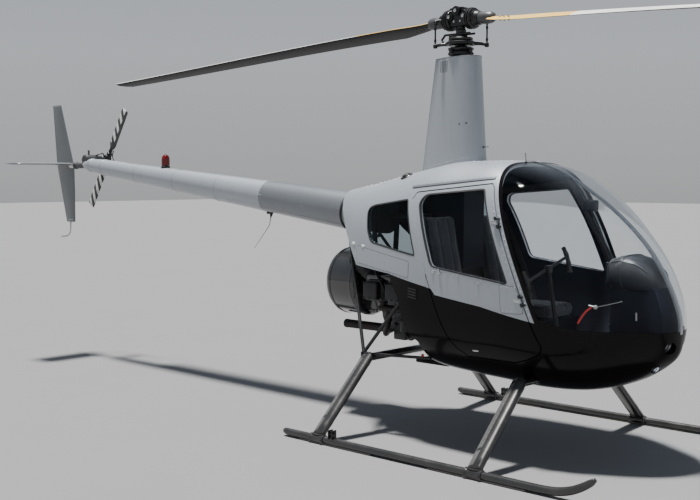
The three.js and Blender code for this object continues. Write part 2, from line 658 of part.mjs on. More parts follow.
function engineFrame() {
  const elbow = (side) => vec(ELBOW.x, side * ELBOW.y, ELBOW.z);
  const rear = (side) => vec(FRAME_REAR.x, side * FRAME_REAR.y, FRAME_REAR.z);
  const front = (side) => vec(FRAME_FRONT.x, side * FRAME_FRONT.y, FRAME_FRONT.z);
  const rail = (side) => elbow(side).lerp(rear(side), FRAME_RAIL);
  const tubes = [-1, 1].flatMap((side) => [
    rod(elbow(side), rear(side), FRAME_TUBE),
    rod(elbow(side), front(side), FRAME_TUBE),
    cut(rod(vec(ELBOW.x, side * ELBOW.y, ELBOW.z - 6), vec(80, side * 388, 532), FRAME_TUBE - 2), hull(-FIT)),
    box(ELBOW.x - 18, LEG.rearX + 20, side * ELBOW.y - 14, side * ELBOW.y + 14, LEG.rearTop - 4, ELBOW.z + 8),
  ]);
  const across = [rod(front(-1), front(1), FRAME_TUBE - 0.1), rod(rail(-1), rail(1), FRAME_TUBE - 0.1)];
  const legs = [-1, 1].map((side) => mirrored(rearLeg(FIT), side));
  const bulkhead = box(bulkheadX(550) - BULKHEAD.thickness - 3, 400, -600, 600, 300, 800);
  return cut(
    join(...tubes, ...across), ...legs, rearTube(1, FIT), bulkhead, coneGrown(),
  );
}

// Tail
const CONE = { from: vec(-820, 0, 1436), to: vec(-4070, 0, 1784), rootRadius: 144, tipRadius: 72, wall: 6 };
const CONE_JOINT = 1048;

function tailcone() {
  const length = CONE.from.distanceTo(CONE.to);
  const at = (s) => CONE.rootRadius + (CONE.tipRadius - CONE.rootRadius) * s / length;
  const { wall } = CONE;
  return turned(CONE.from, CONE.to, [
    [0, at(0) - wall], [0, at(0)], [CONE_JOINT, at(CONE_JOINT)], [CONE_JOINT, at(CONE_JOINT) + 1.5],
    [CONE_JOINT + 15, at(CONE_JOINT + 15) + 1.5], [CONE_JOINT + 15, at(CONE_JOINT + 15)],
    [length, at(length)], [length, at(length) - wall], [0, at(0) - wall],
  ], 28);
}

function tailGearbox() {
  const along = CONE.to.clone().sub(CONE.from).normalize();
  const start = CONE.to.clone().addScaledVector(along, FIT);
  const cap = turned(start, start.clone().add(along), [
    [0, 0], [0, CONE.tipRadius], [60, CONE.tipRadius - 2], [200, 62], [300, 50], [345, 30], [345, 0],
  ], 20);
  const housing = rod(vec(TAIL_ROTOR.x, -40, 1858), vec(TAIL_ROTOR.x, 96, 1858), 50, 16);
  const output = rod(vec(TAIL_ROTOR.x, 90, TAIL_ROTOR.z), vec(TAIL_ROTOR.x, 150, TAIL_ROTOR.z), 30, 14);
  const shaft = rod(vec(TAIL_ROTOR.x, 140, TAIL_ROTOR.z), vec(TAIL_ROTOR.x, 188, TAIL_ROTOR.z), 12, 12);
  const sight = rod(vec(TAIL_ROTOR.x, 10, 1890), vec(TAIL_ROTOR.x, 10, 1950), 9, 8);
  const finTube = rod(vec(-4330, 0, 1808), vec(-4572, 0, 1808), 28, 14);
  return join(cap, housing, output, shaft, sight, finTube);
}

function symmetricFoil(at, chordFrom, chordTo, half, points = 7) {
  const upper = Array.from({ length: points }, (_, i) => {
    const t = (1 - Math.cos(Math.PI * i / (points - 1))) / 2;
    const bulge = 0.2969 * Math.sqrt(t) - 0.126 * t - 0.3516 * t ** 2 + 0.2843 * t ** 3 - 0.1036 * t ** 4;
    return [chordFrom + (chordTo - chordFrom) * t, Math.max(10 * bulge, 0) * half];
  });
  const lower = upper.slice(1, -1).reverse().map(([c, t]) => [c, -t]);
  return [...upper, ...lower].map(([c, t]) => at(c, t));
}

// Columns: z, leading edge x, trailing edge x
const FIN = [
  [1270, -4590, -4730], [1560, -4586, -4812], [1820, -4590, -4885],
  [1824, -4601, -4886], [2388, -4800, FIN_REAR_X],
];
const FIN_HALF = 13;

function verticalFin() {
  const section = ([z, lead, trail]) => symmetricFoil((x, y) => vec(x, y, z), lead, trail, FIN_HALF);
  const plate = loft(FIN.map(section));
  const guard = pipe([vec(-4668, 0, 1290), vec(-4672, 0, 1190), vec(-4694, 0, 1150), vec(-4740, 0, 1130),
    vec(-4830, 0, 1122)], 8, 8);
  const collar = rod(vec(-4572 - FIT, 0, 1808), vec(-4640, 0, 1808), 30, 14);
  return join(plate, guard, collar);
}

const STABILIZER = { z: 1822, lead: -4604, trail: -4876, root: -10, tip: -580, half: 13 };

function stabilizer() {
  const { z, lead, trail, root, tip, half } = STABILIZER;
  const ring = (y, shrink) => (
    symmetricFoil((x, t) => vec(x, y, z + t), lead - shrink, trail + shrink * 0.3, half)
  );
  const foil = loft([ring(root, 0), ring(tip + 20, 0), ring(tip, 22)]);
  const collar = rod(vec(-4560, 0, 1808), vec(-4650, 0, 1808), 30 + FIT, 14);
  return cut(foil, box(-5000, -4500, -FIN_HALF - FIT, 0, 1700, 1900), collar);
}

function tailBlade(sign) {
  const lean = THREE.MathUtils.degToRad(TAIL_ROTOR.lean);
  const along = vec(Math.sin(lean), 0, Math.cos(lean)).multiplyScalar(sign);
  const across = vec(Math.cos(lean), 0, -Math.sin(lean));
  const place = (s) => vec(TAIL_ROTOR.x, TAIL_ROTOR.y, TAIL_ROTOR.z).addScaledVector(along, s);
  const ring = (s, chord, half) => symmetricFoil(
    (c, t) => place(s).addScaledVector(across, c).add(vec(0, t, 0)), -chord / 2, chord / 2, half);
  const { radius: tipRadius, chord: fullChord } = TAIL_ROTOR;
  const blade = loft([ring(118, 60, 7), ring(160, fullChord, 7), ring(tipRadius, fullChord, 6)]);
  const root = rod(place(62 + FIT), place(130), 15, 10);
  return join(blade, root);
}

function tailHub() {
  const lean = THREE.MathUtils.degToRad(TAIL_ROTOR.lean);
  const along = vec(Math.sin(lean), 0, Math.cos(lean));
  const centre = vec(TAIL_ROTOR.x, TAIL_ROTOR.y, TAIL_ROTOR.z);
  const barEnd = (distance) => centre.clone().addScaledVector(along, distance);
  const bar = rod(barEnd(-62), barEnd(62), 20, 12);
  const bearing = turned(vec(TAIL_ROTOR.x, 188 + FIT, TAIL_ROTOR.z), vec(TAIL_ROTOR.x, 300, TAIL_ROTOR.z),
    [[0, 0], [0, 32], [50, 32], [60, 18], [60, 0]], 16);
  return join(bar, bearing);
}

// The turning plates: a wide ring, a smaller one above it, arms and pitch links
const PLATES = { z: 2568, linkX: 150, linkY: 84, linkZ: 2566 };

// Main rotor. Columns: radius, height of the blade, pitch in degrees
const BLADE = [
  [240, 2725, 14], [340, 2715, 14], [700, 2701, 12.5],
  [1500, 2661, 10.5], [2700, 2590, 7], [ROTOR_RADIUS, 2527, 4],
];
const GRIP = { start: 116, end: 275, endZ: 2723, radius: 42 };

function rotorBlade(sign) {
  const rings = BLADE.map(([radius, z, pitch], row) => {
    const angle = THREE.MathUtils.degToRad(pitch);
    const trailing = row === 0 ? -0.3 : -0.75;
    return symmetricFoil((c, t) => vec(
      sign * radius,
      sign * (c * Math.cos(angle) - t * Math.sin(angle)),
      z + t * Math.cos(angle) + c * Math.sin(angle),
    ), 0.25 * BLADE_CHORD, trailing * BLADE_CHORD, BLADE_CHORD * BLADE_RATIO / 2, 8);
  });
  const grip = gripRod(sign, GRIP.start, GRIP.radius);
  const hornEnd = vec(sign * PLATES.linkX, sign * PLATES.linkY, HUB_HEIGHT - 6);
  const horn = pipe([vec(sign * 170, sign * 30, HUB_HEIGHT), hornEnd], 12, 8);
  return join(loft(rings), grip, horn);
}

function gripRod(sign, start, radius) {
  return rod(vec(sign * start, 0, HUB_HEIGHT + 6), vec(sign * GRIP.end, 0, GRIP.endZ), radius, 14);
}

function rotorHub() {
  const shaft = rod(vec(0, 0, 2420), vec(0, 0, 2700), SHAFT_RADIUS, 14);
  const block = box(-100, 100, -42, 42, 2690, 2790);
  const cheeks = [-96, 96].map((x) => rod(vec(x, -58, 2770), vec(x, 58, 2770), 56, 18));
  const teeter = rod(vec(0, -70, 2790), vec(0, 70, 2790), 36, 16);
  const clearances = [-1, 1].map((sign) => gripRod(sign, GRIP.start - FIT, GRIP.radius + FIT));
  return join(cut(join(block, ...cheeks), ...clearances), shaft, teeter);
}

function swashplate() {
  const bore = SHAFT_RADIUS + FIT;
  const disc = turned(vec(0, 0, PLATES.z), vec(0, 0, 3000), [
    [0, bore], [0, 98], [22, 98], [24, 60], [34, 60], [34, 80], [50, 78],
    [52, 44], [66, 40], [84, 28], [84, bore], [0, bore],
  ], 20);
  const { linkX: x, linkY: y, linkZ: z } = PLATES;
  const arms = [-1, 1].map((sign) => join(
    pipe([vec(sign * 60, sign * 26, PLATES.z + 10), vec(sign * x, sign * y, z)], 11, 8),
    rod(vec(sign * x, sign * y, z - 8), vec(sign * x, sign * y, HUB_HEIGHT - 20 - FIT), 7, 8),
  ));
  return join(disc, ...arms);
}

// Small fittings
function beacon() {
  const topZ = coneTop(-3190);
  const base = box(-3224, -3156, -26, 26, topZ - 14, topZ + 14);
  const dome = turned(vec(-3190, 0, topZ + 10), vec(-3190, 0, 3000), [
    [0, 0], [0, 38], [78, 37], [98, 29], [109, 13], [112, 0],
  ], 16);
  return cut(join(base, dome), coneGrown());
}

function coneGrown(extra = FIT) {
  const along = CONE.to.clone().sub(CONE.from).normalize();
  const length = CONE.from.distanceTo(CONE.to);
  return turned(CONE.from, CONE.from.clone().add(along),
    [[0, 0], [0, CONE.rootRadius + extra], [length, CONE.tipRadius + extra], [length, 0]], 28);
}

function coneTop(x) {
  const t = (CONE.from.x - x) / (CONE.from.x - CONE.to.x);
  const centre = CONE.from.z + (CONE.to.z - CONE.from.z) * t;
  return centre + CONE.rootRadius + (CONE.tipRadius - CONE.rootRadius) * t;
}

function whipAntenna() {
  const foot = box(-1888, -1834, -14, 14, 1380, 1440);
  const whip = pipe([vec(-1846, 0, 1400), vec(-1869, 0, 1321), vec(-2046, 0, 1132)], [5, 5, 4], 8);
  return cut(join(foot, whip), coneGrown(2));
}

const LAMPS = [vec(1520, -78, 738), vec(1520, 78, 738)];
const LAMP_RADIUS = 36;

function lampSockets(extra) {
  const back = vec(-15, 0, 6);
  const ahead = vec(90, 0, -34);
  return LAMPS.map((at) => rod(at.clone().add(back), at.clone().add(ahead), LAMP_RADIUS + extra, 18));
}

function noseLamp(index) {
  return lampSockets(0)[index].intersect(hull(6));
}

// Landing light that stands out of the chin
function chinLamp() {
  const at = vec(1455, -60, 600);
  const facing = vec(0.75, -0.25, -0.6).normalize();
  const foot = at.clone().addScaledVector(facing, -30);
  return cut(turned(foot, at, [[0, 0], [0, 32], [52, 32], [60, 28], [66, 16], [66, 0]], 18), hull(-FIT));
}

// The scene graph
const helicopter = new THREE.Group();
helicopter.position.x = -(ROTOR_RADIUS + FIN_REAR_X) / 2;

function add(name, body, look) {
  const mesh = new THREE.Mesh(geometryOf(body), new THREE.MeshStandardMaterial(look));
  mesh.name = name;
  helicopter.add(mesh);
}

add('lower_body', lowerBody(), BLACK);
add('upper_body', upperBody(), SILVER);
add('firewall', firewall(), DARK);
add('cabin_floor', cabinFloor(), DARK);
add('gearbox_column', gearboxColumn(), LEATHER);
add('mast', mast(), DARK);
add('mast_fairing', mastFairing(), SILVER);
add('windscreen_strip', windscreenStrip(), SILVER);
add('console', instrumentConsole(), DARK);
add('seat_base', seatBase(), DARK);
add('cyclic_stick', cyclic(), DARK);
add('pedals', pedals(), DARK);
add('engine', engine(), CAST);
add('belt_drive', beltDrive(), DARK);
add('fan_scroll', fanScroll(), BLACK);
add('exhaust', exhaust(), DARK);
add('engine_frame', engineFrame(), GUNMETAL);
add('tailcone', tailcone(), SILVER);
add('tail_gearbox', tailGearbox(), DARK);
add('vertical_fin', verticalFin(), GUNMETAL);
add('stabilizer', stabilizer(), SILVER);
add('beacon', beacon(), RED);
add('whip_antenna', whipAntenna(), DARK);
add('front_cross_tube', frontTube(0, 0), GUNMETAL);
add('rear_cross_tube', rearTube(0, 0), GUNMETAL);

for (const [side, word] of [[1, 'left'], [-1, 'right']]) {
  add(`windscreen_${word}`, mirrored(windscreen(), side), TINT);
  add(`rear_window_${word}`, mirrored(rearGlass(), side), TINT);
  add(`door_${word}`, mirrored(door(), side), SILVER);
  add(`door_glass_${word}`, mirrored(doorGlass(), side), TINT);
  add(`seat_cushion_${word}`, mirrored(seatCushion(), side), LEATHER);
  add(`seat_back_${word}`, mirrored(seatBack(), side), LEATHER);
  add(`skid_${word}`, mirrored(skid(), side), GUNMETAL);
  add(`front_leg_${word}`, mirrored(frontLeg(0), side), GUNMETAL);
  add(`rear_leg_${word}`, mirrored(rearLeg(0), side), GUNMETAL);
}
add('nose_lamp_right', noseLamp(0), TINT);
add('nose_lamp_left', noseLamp(1), TINT);
add('chin_lamp', chinLamp(), CAST);

add('rotor_hub', rotorHub(), DARK);
add('swashplate', swashplate(), DARK);
add('blade_front', rotorBlade(1), BLACK);
add('blade_rear', rotorBlade(-1), BLACK);
add('tail_hub', tailHub(), DARK);
add('tail_blade_upper', tailBlade(1), BLACK);
add('tail_blade_lower', tailBlade(-1), BLACK);

export default helicopter;
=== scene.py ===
"""The looks of a light two-seat helicopter on skids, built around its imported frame.

Sizes in the classes are millimetres, measured from the rotor mast's axis at ground level with X to the
nose and Z up. spot() turns such a place into the frame's metres.
"""

import json
import logging
import math
from dataclasses import dataclass, field
from enum import Enum

import bmesh
import bpy
import numpy as np
from mathutils import Matrix, Vector
from mathutils.bvhtree import BVHTree
from mathutils.interpolate import poly_3d_calc

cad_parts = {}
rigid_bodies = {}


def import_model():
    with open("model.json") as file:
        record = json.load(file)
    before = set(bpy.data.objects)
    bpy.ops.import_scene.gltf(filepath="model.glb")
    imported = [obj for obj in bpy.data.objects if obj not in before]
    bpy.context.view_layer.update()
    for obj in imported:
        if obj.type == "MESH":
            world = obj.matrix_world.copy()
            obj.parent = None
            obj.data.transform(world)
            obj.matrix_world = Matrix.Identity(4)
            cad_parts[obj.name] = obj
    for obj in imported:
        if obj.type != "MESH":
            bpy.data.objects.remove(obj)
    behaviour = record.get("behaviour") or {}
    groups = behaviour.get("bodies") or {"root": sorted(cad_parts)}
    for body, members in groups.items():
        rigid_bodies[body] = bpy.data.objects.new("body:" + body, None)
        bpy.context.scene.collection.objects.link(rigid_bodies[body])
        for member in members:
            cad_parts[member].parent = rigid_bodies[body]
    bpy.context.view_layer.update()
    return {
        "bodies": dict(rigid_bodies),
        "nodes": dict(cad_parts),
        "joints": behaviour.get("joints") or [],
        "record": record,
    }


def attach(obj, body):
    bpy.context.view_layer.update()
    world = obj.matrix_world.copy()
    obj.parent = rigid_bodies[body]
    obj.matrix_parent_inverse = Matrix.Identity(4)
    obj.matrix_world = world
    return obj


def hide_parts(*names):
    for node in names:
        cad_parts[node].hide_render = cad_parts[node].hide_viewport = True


log = logging.getLogger("helicopter")

MAST_X = 0.553
MM = 0.001
STREAK_SCALE = 38.0
FLAKE_SCALE = 900.0
AIRFRAME = "airframe"
SIDES = ((1, "left"), (-1, "right"))
Row = tuple[float, ...]
Outline = list[tuple[float, float]]


def spot(x: float, y: float, z: float) -> Vector:
    """Turn a place in millimetres from the mast's foot into the frame's metres."""
    return Vector((x * MM + MAST_X, y * MM, z * MM))


UP, DOWN = Vector((0, 0, 1)).freeze(), Vector((0, 0, -1)).freeze()
AHEAD, AFT = Vector((1, 0, 0)).freeze(), Vector((-1, 0, 0)).freeze()
PORT, STARBOARD = Vector((0, 1, 0)).freeze(), Vector((0, -1, 0)).freeze()


# Shader trees


class Graph:
    """Short calls that add nodes to one shader tree and join them."""

    def __init__(self, tree: bpy.types.NodeTree) -> None:
        """Keep the tree that the nodes go into."""
        self.tree = tree

    def add(self, kind: str, joins: dict | None = None, **settings: object) -> bpy.types.Node:
        """Add one node.

        Args:
            kind: The node's type, without its leading ShaderNode.
            joins: Values or output sockets for the node's inputs, by name or number.
            settings: Properties of the node.

        Returns:
            The new node.
        """
        node = self.tree.nodes.new(kind if kind.startswith("NodeGroup") else "ShaderNode" + kind)
        for key, value in settings.items():
            setattr(node, key, value)
        for key, value in (joins or {}).items():
            socket = node.inputs[key]
            if isinstance(value, bpy.types.NodeSocket):
                self.tree.links.new(value, socket)
            else:
                socket.default_value = value
        return node

    def math(self, operation: str, first: object, second: object = 0.0) -> bpy.types.NodeSocket:
        """Return the output of a Math node on one or two values or sockets."""
        return self.add("Math", {0: first, 1: second}, operation=operation).outputs[0]

    def mix(self, factor: object, first: object, second: object, blend: str = "MIX") -> bpy.types.NodeSocket:
        """Return the colour output of a Mix node between two colours or colour sockets."""
        node = self.add("Mix", {0: factor, 6: first, 7: second}, data_type="RGBA", blend_type=blend)
        return node.outputs[2]

    def span(self, value: object, low: float, high: float, to_low: float = 0.0, to_high: float = 1.0
             ) -> bpy.types.NodeSocket:
        """Return a value moved, and held, from one range to another.

        Args:
            value: the value or socket to move.
            low: the start of its range.
            high: the end of its range.
            to_low: what the start becomes.
            to_high: what the end becomes.

        Returns:
            The output socket.
        """
        node = self.add("MapRange", {0: value, 1: low, 2: high, 3: to_low, 4: to_high})
        return node.outputs[0]


class Effect(Enum):
    """Surface effects that several finishes share, each one shader node group."""

    GRIME = "patchy grime"
    SHEET_WAVE = "sheet metal wave"
    FLAKE = "metal flake"
    WEAVE = "cloth weave"
    HIDE = "leather grain"
    CAST = "cast skin"
    BRUSHED = "brushed lines"
    STREAK = "rain streaks"


class EffectShelf:
    """Builds each effect's node group once and keeps it."""

    def __init__(self) -> None:
        """Start with no group built."""
        self.built: dict[Effect, bpy.types.NodeTree] = {}
        self.makers = {
            Effect.GRIME: self._grime,
            Effect.SHEET_WAVE: self._sheet_wave,
            Effect.FLAKE: self._flake,
            Effect.WEAVE: self._weave,
            Effect.HIDE: self._hide,
            Effect.CAST: self._cast,
            Effect.BRUSHED: self._brushed,
            Effect.STREAK: self._streak,
        }

    def get(self, effect: Effect) -> bpy.types.NodeTree:
        """Return an effect's node group, built at its first use.

        Args:
            effect: which effect.

        Returns:
            Its node group.
        """
        if effect not in self.built:
            tree = bpy.data.node_groups.new(effect.value, "ShaderNodeTree")
            tree.interface.new_socket("Place", in_out="INPUT", socket_type="NodeSocketVector")
            for name, value in (("Scale", 10.0), ("Amount", 0.5)):
                socket = tree.interface.new_socket(name, in_out="INPUT", socket_type="NodeSocketFloat")
                socket.default_value = value
            tree.interface.new_socket("Value", in_out="OUTPUT", socket_type="NodeSocketFloat")
            graph = Graph(tree)
            source = graph.add("NodeGroupInput").outputs
            value = self.makers[effect](graph, source["Place"], source["Scale"], source["Amount"])
            graph.add("NodeGroupOutput", {"Value": value})
            self.built[effect] = tree
        return self.built[effect]

    @staticmethod
    def _grime(graph: Graph, place: object, scale: object, amount: object) -> bpy.types.NodeSocket:
        """Return a mask of soft patches broken up by finer specks.

        Args:
            graph: the node tree being built.
            place: the Place input, in metres.
            scale: the Scale input.
            amount: the Amount input, which the result is multiplied by.

        Returns:
            The mask.
        """
        broad = graph.add("TexNoise", {"Vector": place, "Scale": scale, "Detail": 5.0, "Roughness": 0.6})
        fine_scale = graph.math("MULTIPLY", scale, 9.0)
        fine = graph.add("TexNoise", {"Vector": place, "Scale": fine_scale, "Detail": 3.0})
        patches = graph.span(broad.outputs[0], 0.42, 0.72)
        specks = graph.span(fine.outputs[0], 0.35, 0.75, 0.3, 1.0)
        both = graph.math("MULTIPLY", patches, specks)
        return graph.math("MULTIPLY", both, amount)

    @staticmethod
    def _sheet_wave(graph: Graph, place: object, scale: object, amount: object) -> bpy.types.NodeSocket:
        """Return a height of slow waves with a faint paint texture on them.

        Args:
            graph: the node tree being built.
            place: the Place input, in metres.
            scale: the Scale input.
            amount: the Amount input, which the result is multiplied by.

        Returns:
            The height.
        """
        wave = graph.add("TexNoise", {"Vector": place, "Scale": scale, "Detail": 1.0})
        peel_scale = graph.math("MULTIPLY", scale, 60.0)
        peel = graph.add("TexNoise", {"Vector": place, "Scale": peel_scale, "Detail": 2.0})
        fine = graph.math("MULTIPLY", peel.outputs[0], 0.02)
        both = graph.math("ADD", wave.outputs[0], fine)
        return graph.math("MULTIPLY", both, amount)

    @staticmethod
    def _flake(graph: Graph, place: object, scale: object, amount: object) -> bpy.types.NodeSocket:
        """Return a sparkle value for each small cell.

        Args:
            graph: the node tree being built.
            place: the Place input, in metres.
            scale: the Scale input.
            amount: the Amount input, which the result is multiplied by.

        Returns:
            The value, around zero.
        """
        cells = graph.add("TexVoronoi", {"Vector": place, "Scale": scale})
        tone = graph.add("SeparateColor", {0: cells.outputs["Color"]}).outputs[0]
        centred = graph.math("SUBTRACT", tone, 0.5)
        return graph.math("MULTIPLY", centred, amount)

    @staticmethod
    def _weave(graph: Graph, place: object, scale: object, amount: object) -> bpy.types.NodeSocket:
        """Return the height of threads that cross over and under.

        Args:
            graph: the node tree being built.
            place: the Place input, in metres.
            scale: the Scale input.
            amount: the Amount input, which the result is multiplied by.

        Returns:
            The height.
        """
        parts = graph.add("SeparateXYZ", {0: place}).outputs
        down = graph.math("MULTIPLY", graph.math("ADD", parts[0], parts[2]), scale)
        across = graph.math("MULTIPLY", parts[1], scale)
        warp = graph.math("SINE", down)
        weft = graph.math("SINE", across)
        half = graph.math("MULTIPLY", graph.math("MULTIPLY", warp, weft), 0.5)
        slub = graph.add("TexNoise", {"Vector": place, "Scale": 140.0, "Detail": 3.0}).outputs[0]
        height = graph.math("ADD", graph.math("ADD", half, 0.5), graph.math("MULTIPLY", slub, 0.6))
        return graph.math("MULTIPLY", height, amount)

    @staticmethod
    def _hide(graph: Graph, place: object, scale: object, amount: object) -> bpy.types.NodeSocket:
        """Return the height of pebbled hide between its creases.

        Args:
            graph: the node tree being built.
            place: the Place input, in metres.
            scale: the Scale input.
            amount: the Amount input, which the result is multiplied by.

        Returns:
            The height.
        """
        cells = graph.add("TexVoronoi", {"Vector": place, "Scale": scale}, feature="DISTANCE_TO_EDGE")
        pebble = graph.span(cells.outputs[0], 0.0, 0.12)
        crease = graph.add("TexNoise", {"Vector": place, "Scale": 14.0, "Detail": 6.0}).outputs[0]
        height = graph.math("ADD", graph.math("MULTIPLY", pebble, 0.5), crease)
        return graph.math("MULTIPLY", height, amount)

    @staticmethod
    def _cast(graph: Graph, place: object, scale: object, amount: object) -> bpy.types.NodeSocket:
        """Return the height of a sand-cast skin."""
        rough = graph.add("TexNoise", {"Vector": place, "Scale": scale, "Detail": 8.0, "Roughness": 0.7})
        return graph.math("MULTIPLY", rough.outputs[0], amount)

    @staticmethod
    def _brushed(graph: Graph, place: object, scale: object, amount: object) -> bpy.types.NodeSocket:
        """Return a value of fine lines that run along X.

        Args:
            graph: the node tree being built.
            place: the Place input, in metres.
            scale: the Scale input.
            amount: the Amount input, which the result is multiplied by.

        Returns:
            The value.
        """
        slim = graph.add("VectorMath", {0: place, 1: (0.03, 1.0, 1.0)}, operation="MULTIPLY")
        lines = graph.add("TexNoise", {"Vector": slim.outputs[0], "Scale": scale, "Detail": 4.0})
        return graph.math("MULTIPLY", lines.outputs[0], amount)

    @staticmethod
    def _streak(graph: Graph, place: object, scale: object, amount: object) -> bpy.types.NodeSocket:
        """Return a mask of thin runs that water leaves down a side.

        Args:
            graph: the node tree being built.
            place: the Place input, in metres.
            scale: the Scale input.
            amount: the Amount input, which the result is multiplied by.

        Returns:
            The mask.
        """
        slim = graph.add("VectorMath", {0: place, 1: (1.0, 1.0, 0.07)}, operation="MULTIPLY")
        runs = graph.add("TexNoise", {"Vector": slim.outputs[0], "Scale": scale, "Detail": 4.0})
        return graph.math("MULTIPLY", graph.span(runs.outputs[0], 0.52, 0.75), amount)


SHELF = EffectShelf()


def shared(graph: Graph, effect: Effect, place: object, scale: float, amount: float = 1.0
           ) -> bpy.types.NodeSocket:
    """Place a shared effect in a tree.

    Args:
        graph: the node tree being built.
        effect: which effect.
        place: the coordinates that it is laid on.
        scale: how fine it is.
        amount: how strong it is.

    Returns:
        The effect's output.
    """
    joins = {"Place": place, "Scale": scale, "Amount": amount}
    return graph.add("Group", joins, node_tree=SHELF.get(effect)).outputs[0]


@dataclass(frozen=True)
class Relief:
    """One bump layer of a finish: an effect, its scale, and its depth in millimetres."""

    effect: Effect
    scale: float
    depth: float


@dataclass(frozen=True)
class Finish:
    """A surface finish: colours, gloss, and what time and weather did to them."""

    name: str
    colour: tuple[float, float, float]
    soiled: tuple[float, float, float]
    roughness: float = 0.4
    soiled_roughness: float = 0.65
    metallic: float = 0.0
    coat: float = 0.0
    coat_roughness: float = 0.06
    sheen: float = 0.0
    specular: float = 0.5
    grime: float = 0.4
    grime_scale: float = 2.5
    streaks: float = 0.0
    flake: float = 0.0
    relief: tuple[Relief, ...] = ()

    def base(self, graph: Graph, place: bpy.types.NodeSocket) -> object:
        """Return the colour before it is soiled, as a colour or a socket."""
        return (*self.colour, 1.0)

    def build(self) -> bpy.types.Material:
        """Make the finish's material, or return the one already made.

        Returns:
            The material.
        """
        made = bpy.data.materials.get(self.name)
        if made:
            return made
        material = bpy.data.materials.new(self.name)
        material.use_nodes = True
        material.diffuse_color = (*self.colour, 1.0)
        tree = material.node_tree
        tree.nodes.clear()
        graph = Graph(tree)
        place = graph.add("TexCoord").outputs["Object"]
        grime = shared(graph, Effect.GRIME, place, self.grime_scale, self.grime)
        if self.streaks:
            runs = shared(graph, Effect.STREAK, place, STREAK_SCALE, self.streaks)
            grime = graph.math("MAXIMUM", grime, runs)
        colour = graph.mix(grime, self.base(graph, place), (*self.soiled, 1.0))
        roughness = graph.span(grime, 0.0, 1.0, self.roughness, self.soiled_roughness)
        if self.flake:
            sparkle = shared(graph, Effect.FLAKE, place, FLAKE_SCALE, self.flake)
            lifted = graph.math("ADD", sparkle, 1.0)
            tone = graph.add("CombineColor", {0: lifted, 1: lifted, 2: lifted}).outputs[0]
            colour = graph.mix(1.0, colour, tone, "MULTIPLY")
            roughness = graph.math("ADD", roughness, graph.math("MULTIPLY", sparkle, 0.3))
        joins = {
            "Base Color": colour, "Roughness": roughness, "Metallic": self.metallic,
            "Coat Weight": self.coat, "Coat Roughness": self.coat_roughness,
            "Sheen Weight": self.sheen, "Specular IOR Level": self.specular,
        }
        normal = None
        for layer in self.relief:
            height = shared(graph, layer.effect, place, layer.scale)
            bump = {"Height": height, "Distance": layer.depth * MM, "Strength": 1.0}
            if normal is not None:
                bump["Normal"] = normal
            normal = graph.add("Bump", bump).outputs[0]
        if normal is not None:
            joins["Normal"] = normal
        shader = graph.add("BsdfPrincipled", joins)
        graph.add("OutputMaterial", {"Surface": shader.outputs[0]})
        return material


@dataclass(frozen=True)
class BladePaint(Finish):
    """Main blade paint: dark underneath, with a second colour near the root on top."""

    under: tuple[float, float, float] = (0.012, 0.012, 0.013)
    root: tuple[float, float, float] = (0.75, 0.48, 0.12)
    root_reach: float = 0.9

    def base(self, graph: Graph, place: bpy.types.NodeSocket) -> object:
        """Return the top, root or underside colour by where the surface faces and lies.

        Args:
            graph: the material's node tree.
            place: the piece's own coordinates.

        Returns:
            The colour socket.
        """
        facing = graph.add("NewGeometry").outputs["Normal"]
        up = graph.add("SeparateXYZ", {0: facing}).outputs[2]
        is_top = graph.span(up, -0.02, 0.02)
        from_mast = graph.math("ABSOLUTE", graph.math(
            "SUBTRACT", graph.add("SeparateXYZ", {0: place}).outputs[0], MAST_X))
        is_root = graph.span(from_mast, self.root_reach, self.root_reach + 0.004, 1.0, 0.0)
        top = graph.mix(is_root, (*self.colour, 1.0), (*self.root, 1.0))
        return graph.mix(is_top, (*self.under, 1.0), top)


@dataclass(frozen=True)
class BandedPaint(Finish):
    """Tail blade paint: slanted bands of two colours along the blade."""

    band: tuple[float, float, float] = (0.01, 0.01, 0.011)
    along: tuple[float, float, float] = (0.545, 0.0, 0.839)
    across: tuple[float, float, float] = (0.839, 0.0, -0.545)
    centre: tuple[float, float, float] = (-3.807, 0.222, 1.874)
    pitch: float = 0.097
    strip: float = 0.018
    plain_root: float = 0.165
    tip: float = 0.533
    shear: float = 0.75

    def base(self, graph: Graph, place: bpy.types.NodeSocket) -> object:
        """Return one of the two colours by the distance along the blade.

        Args:
            graph: the material's node tree.
            place: the piece's own coordinates.

        Returns:
            The colour socket.
        """
        from_hub = graph.add("VectorMath", {0: place, 1: self.centre}, operation="SUBTRACT").outputs[0]
        reach = graph.add("VectorMath", {0: from_hub, 1: self.along},
                          operation="DOT_PRODUCT").outputs["Value"]
        chord = graph.add("VectorMath", {0: from_hub, 1: self.across},
                          operation="DOT_PRODUCT").outputs["Value"]
        length = graph.math("ABSOLUTE", reach)
        upper = graph.span(reach, -0.001, 0.001)
        shear = graph.math("MULTIPLY", chord, graph.span(upper, 0.0, 1.0, -self.shear, self.shear))
        slant = graph.math("SUBTRACT", self.tip, graph.math("ADD", length, shear))
        turns = graph.math("FRACT", graph.math("DIVIDE", graph.math("ADD", slant, 0.01), self.pitch))
        is_band = graph.span(turns, 0.478, 0.482)
        is_root = graph.span(length, self.plain_root, self.plain_root + 0.002, 1.0, 0.0)
        is_strip = graph.math("MULTIPLY", graph.span(chord, self.strip, self.strip + 0.001), upper)
        dark = graph.math("MAXIMUM", graph.math("MAXIMUM", is_band, is_root), is_strip)
        return graph.mix(dark, (*self.colour, 1.0), (*self.band, 1.0))


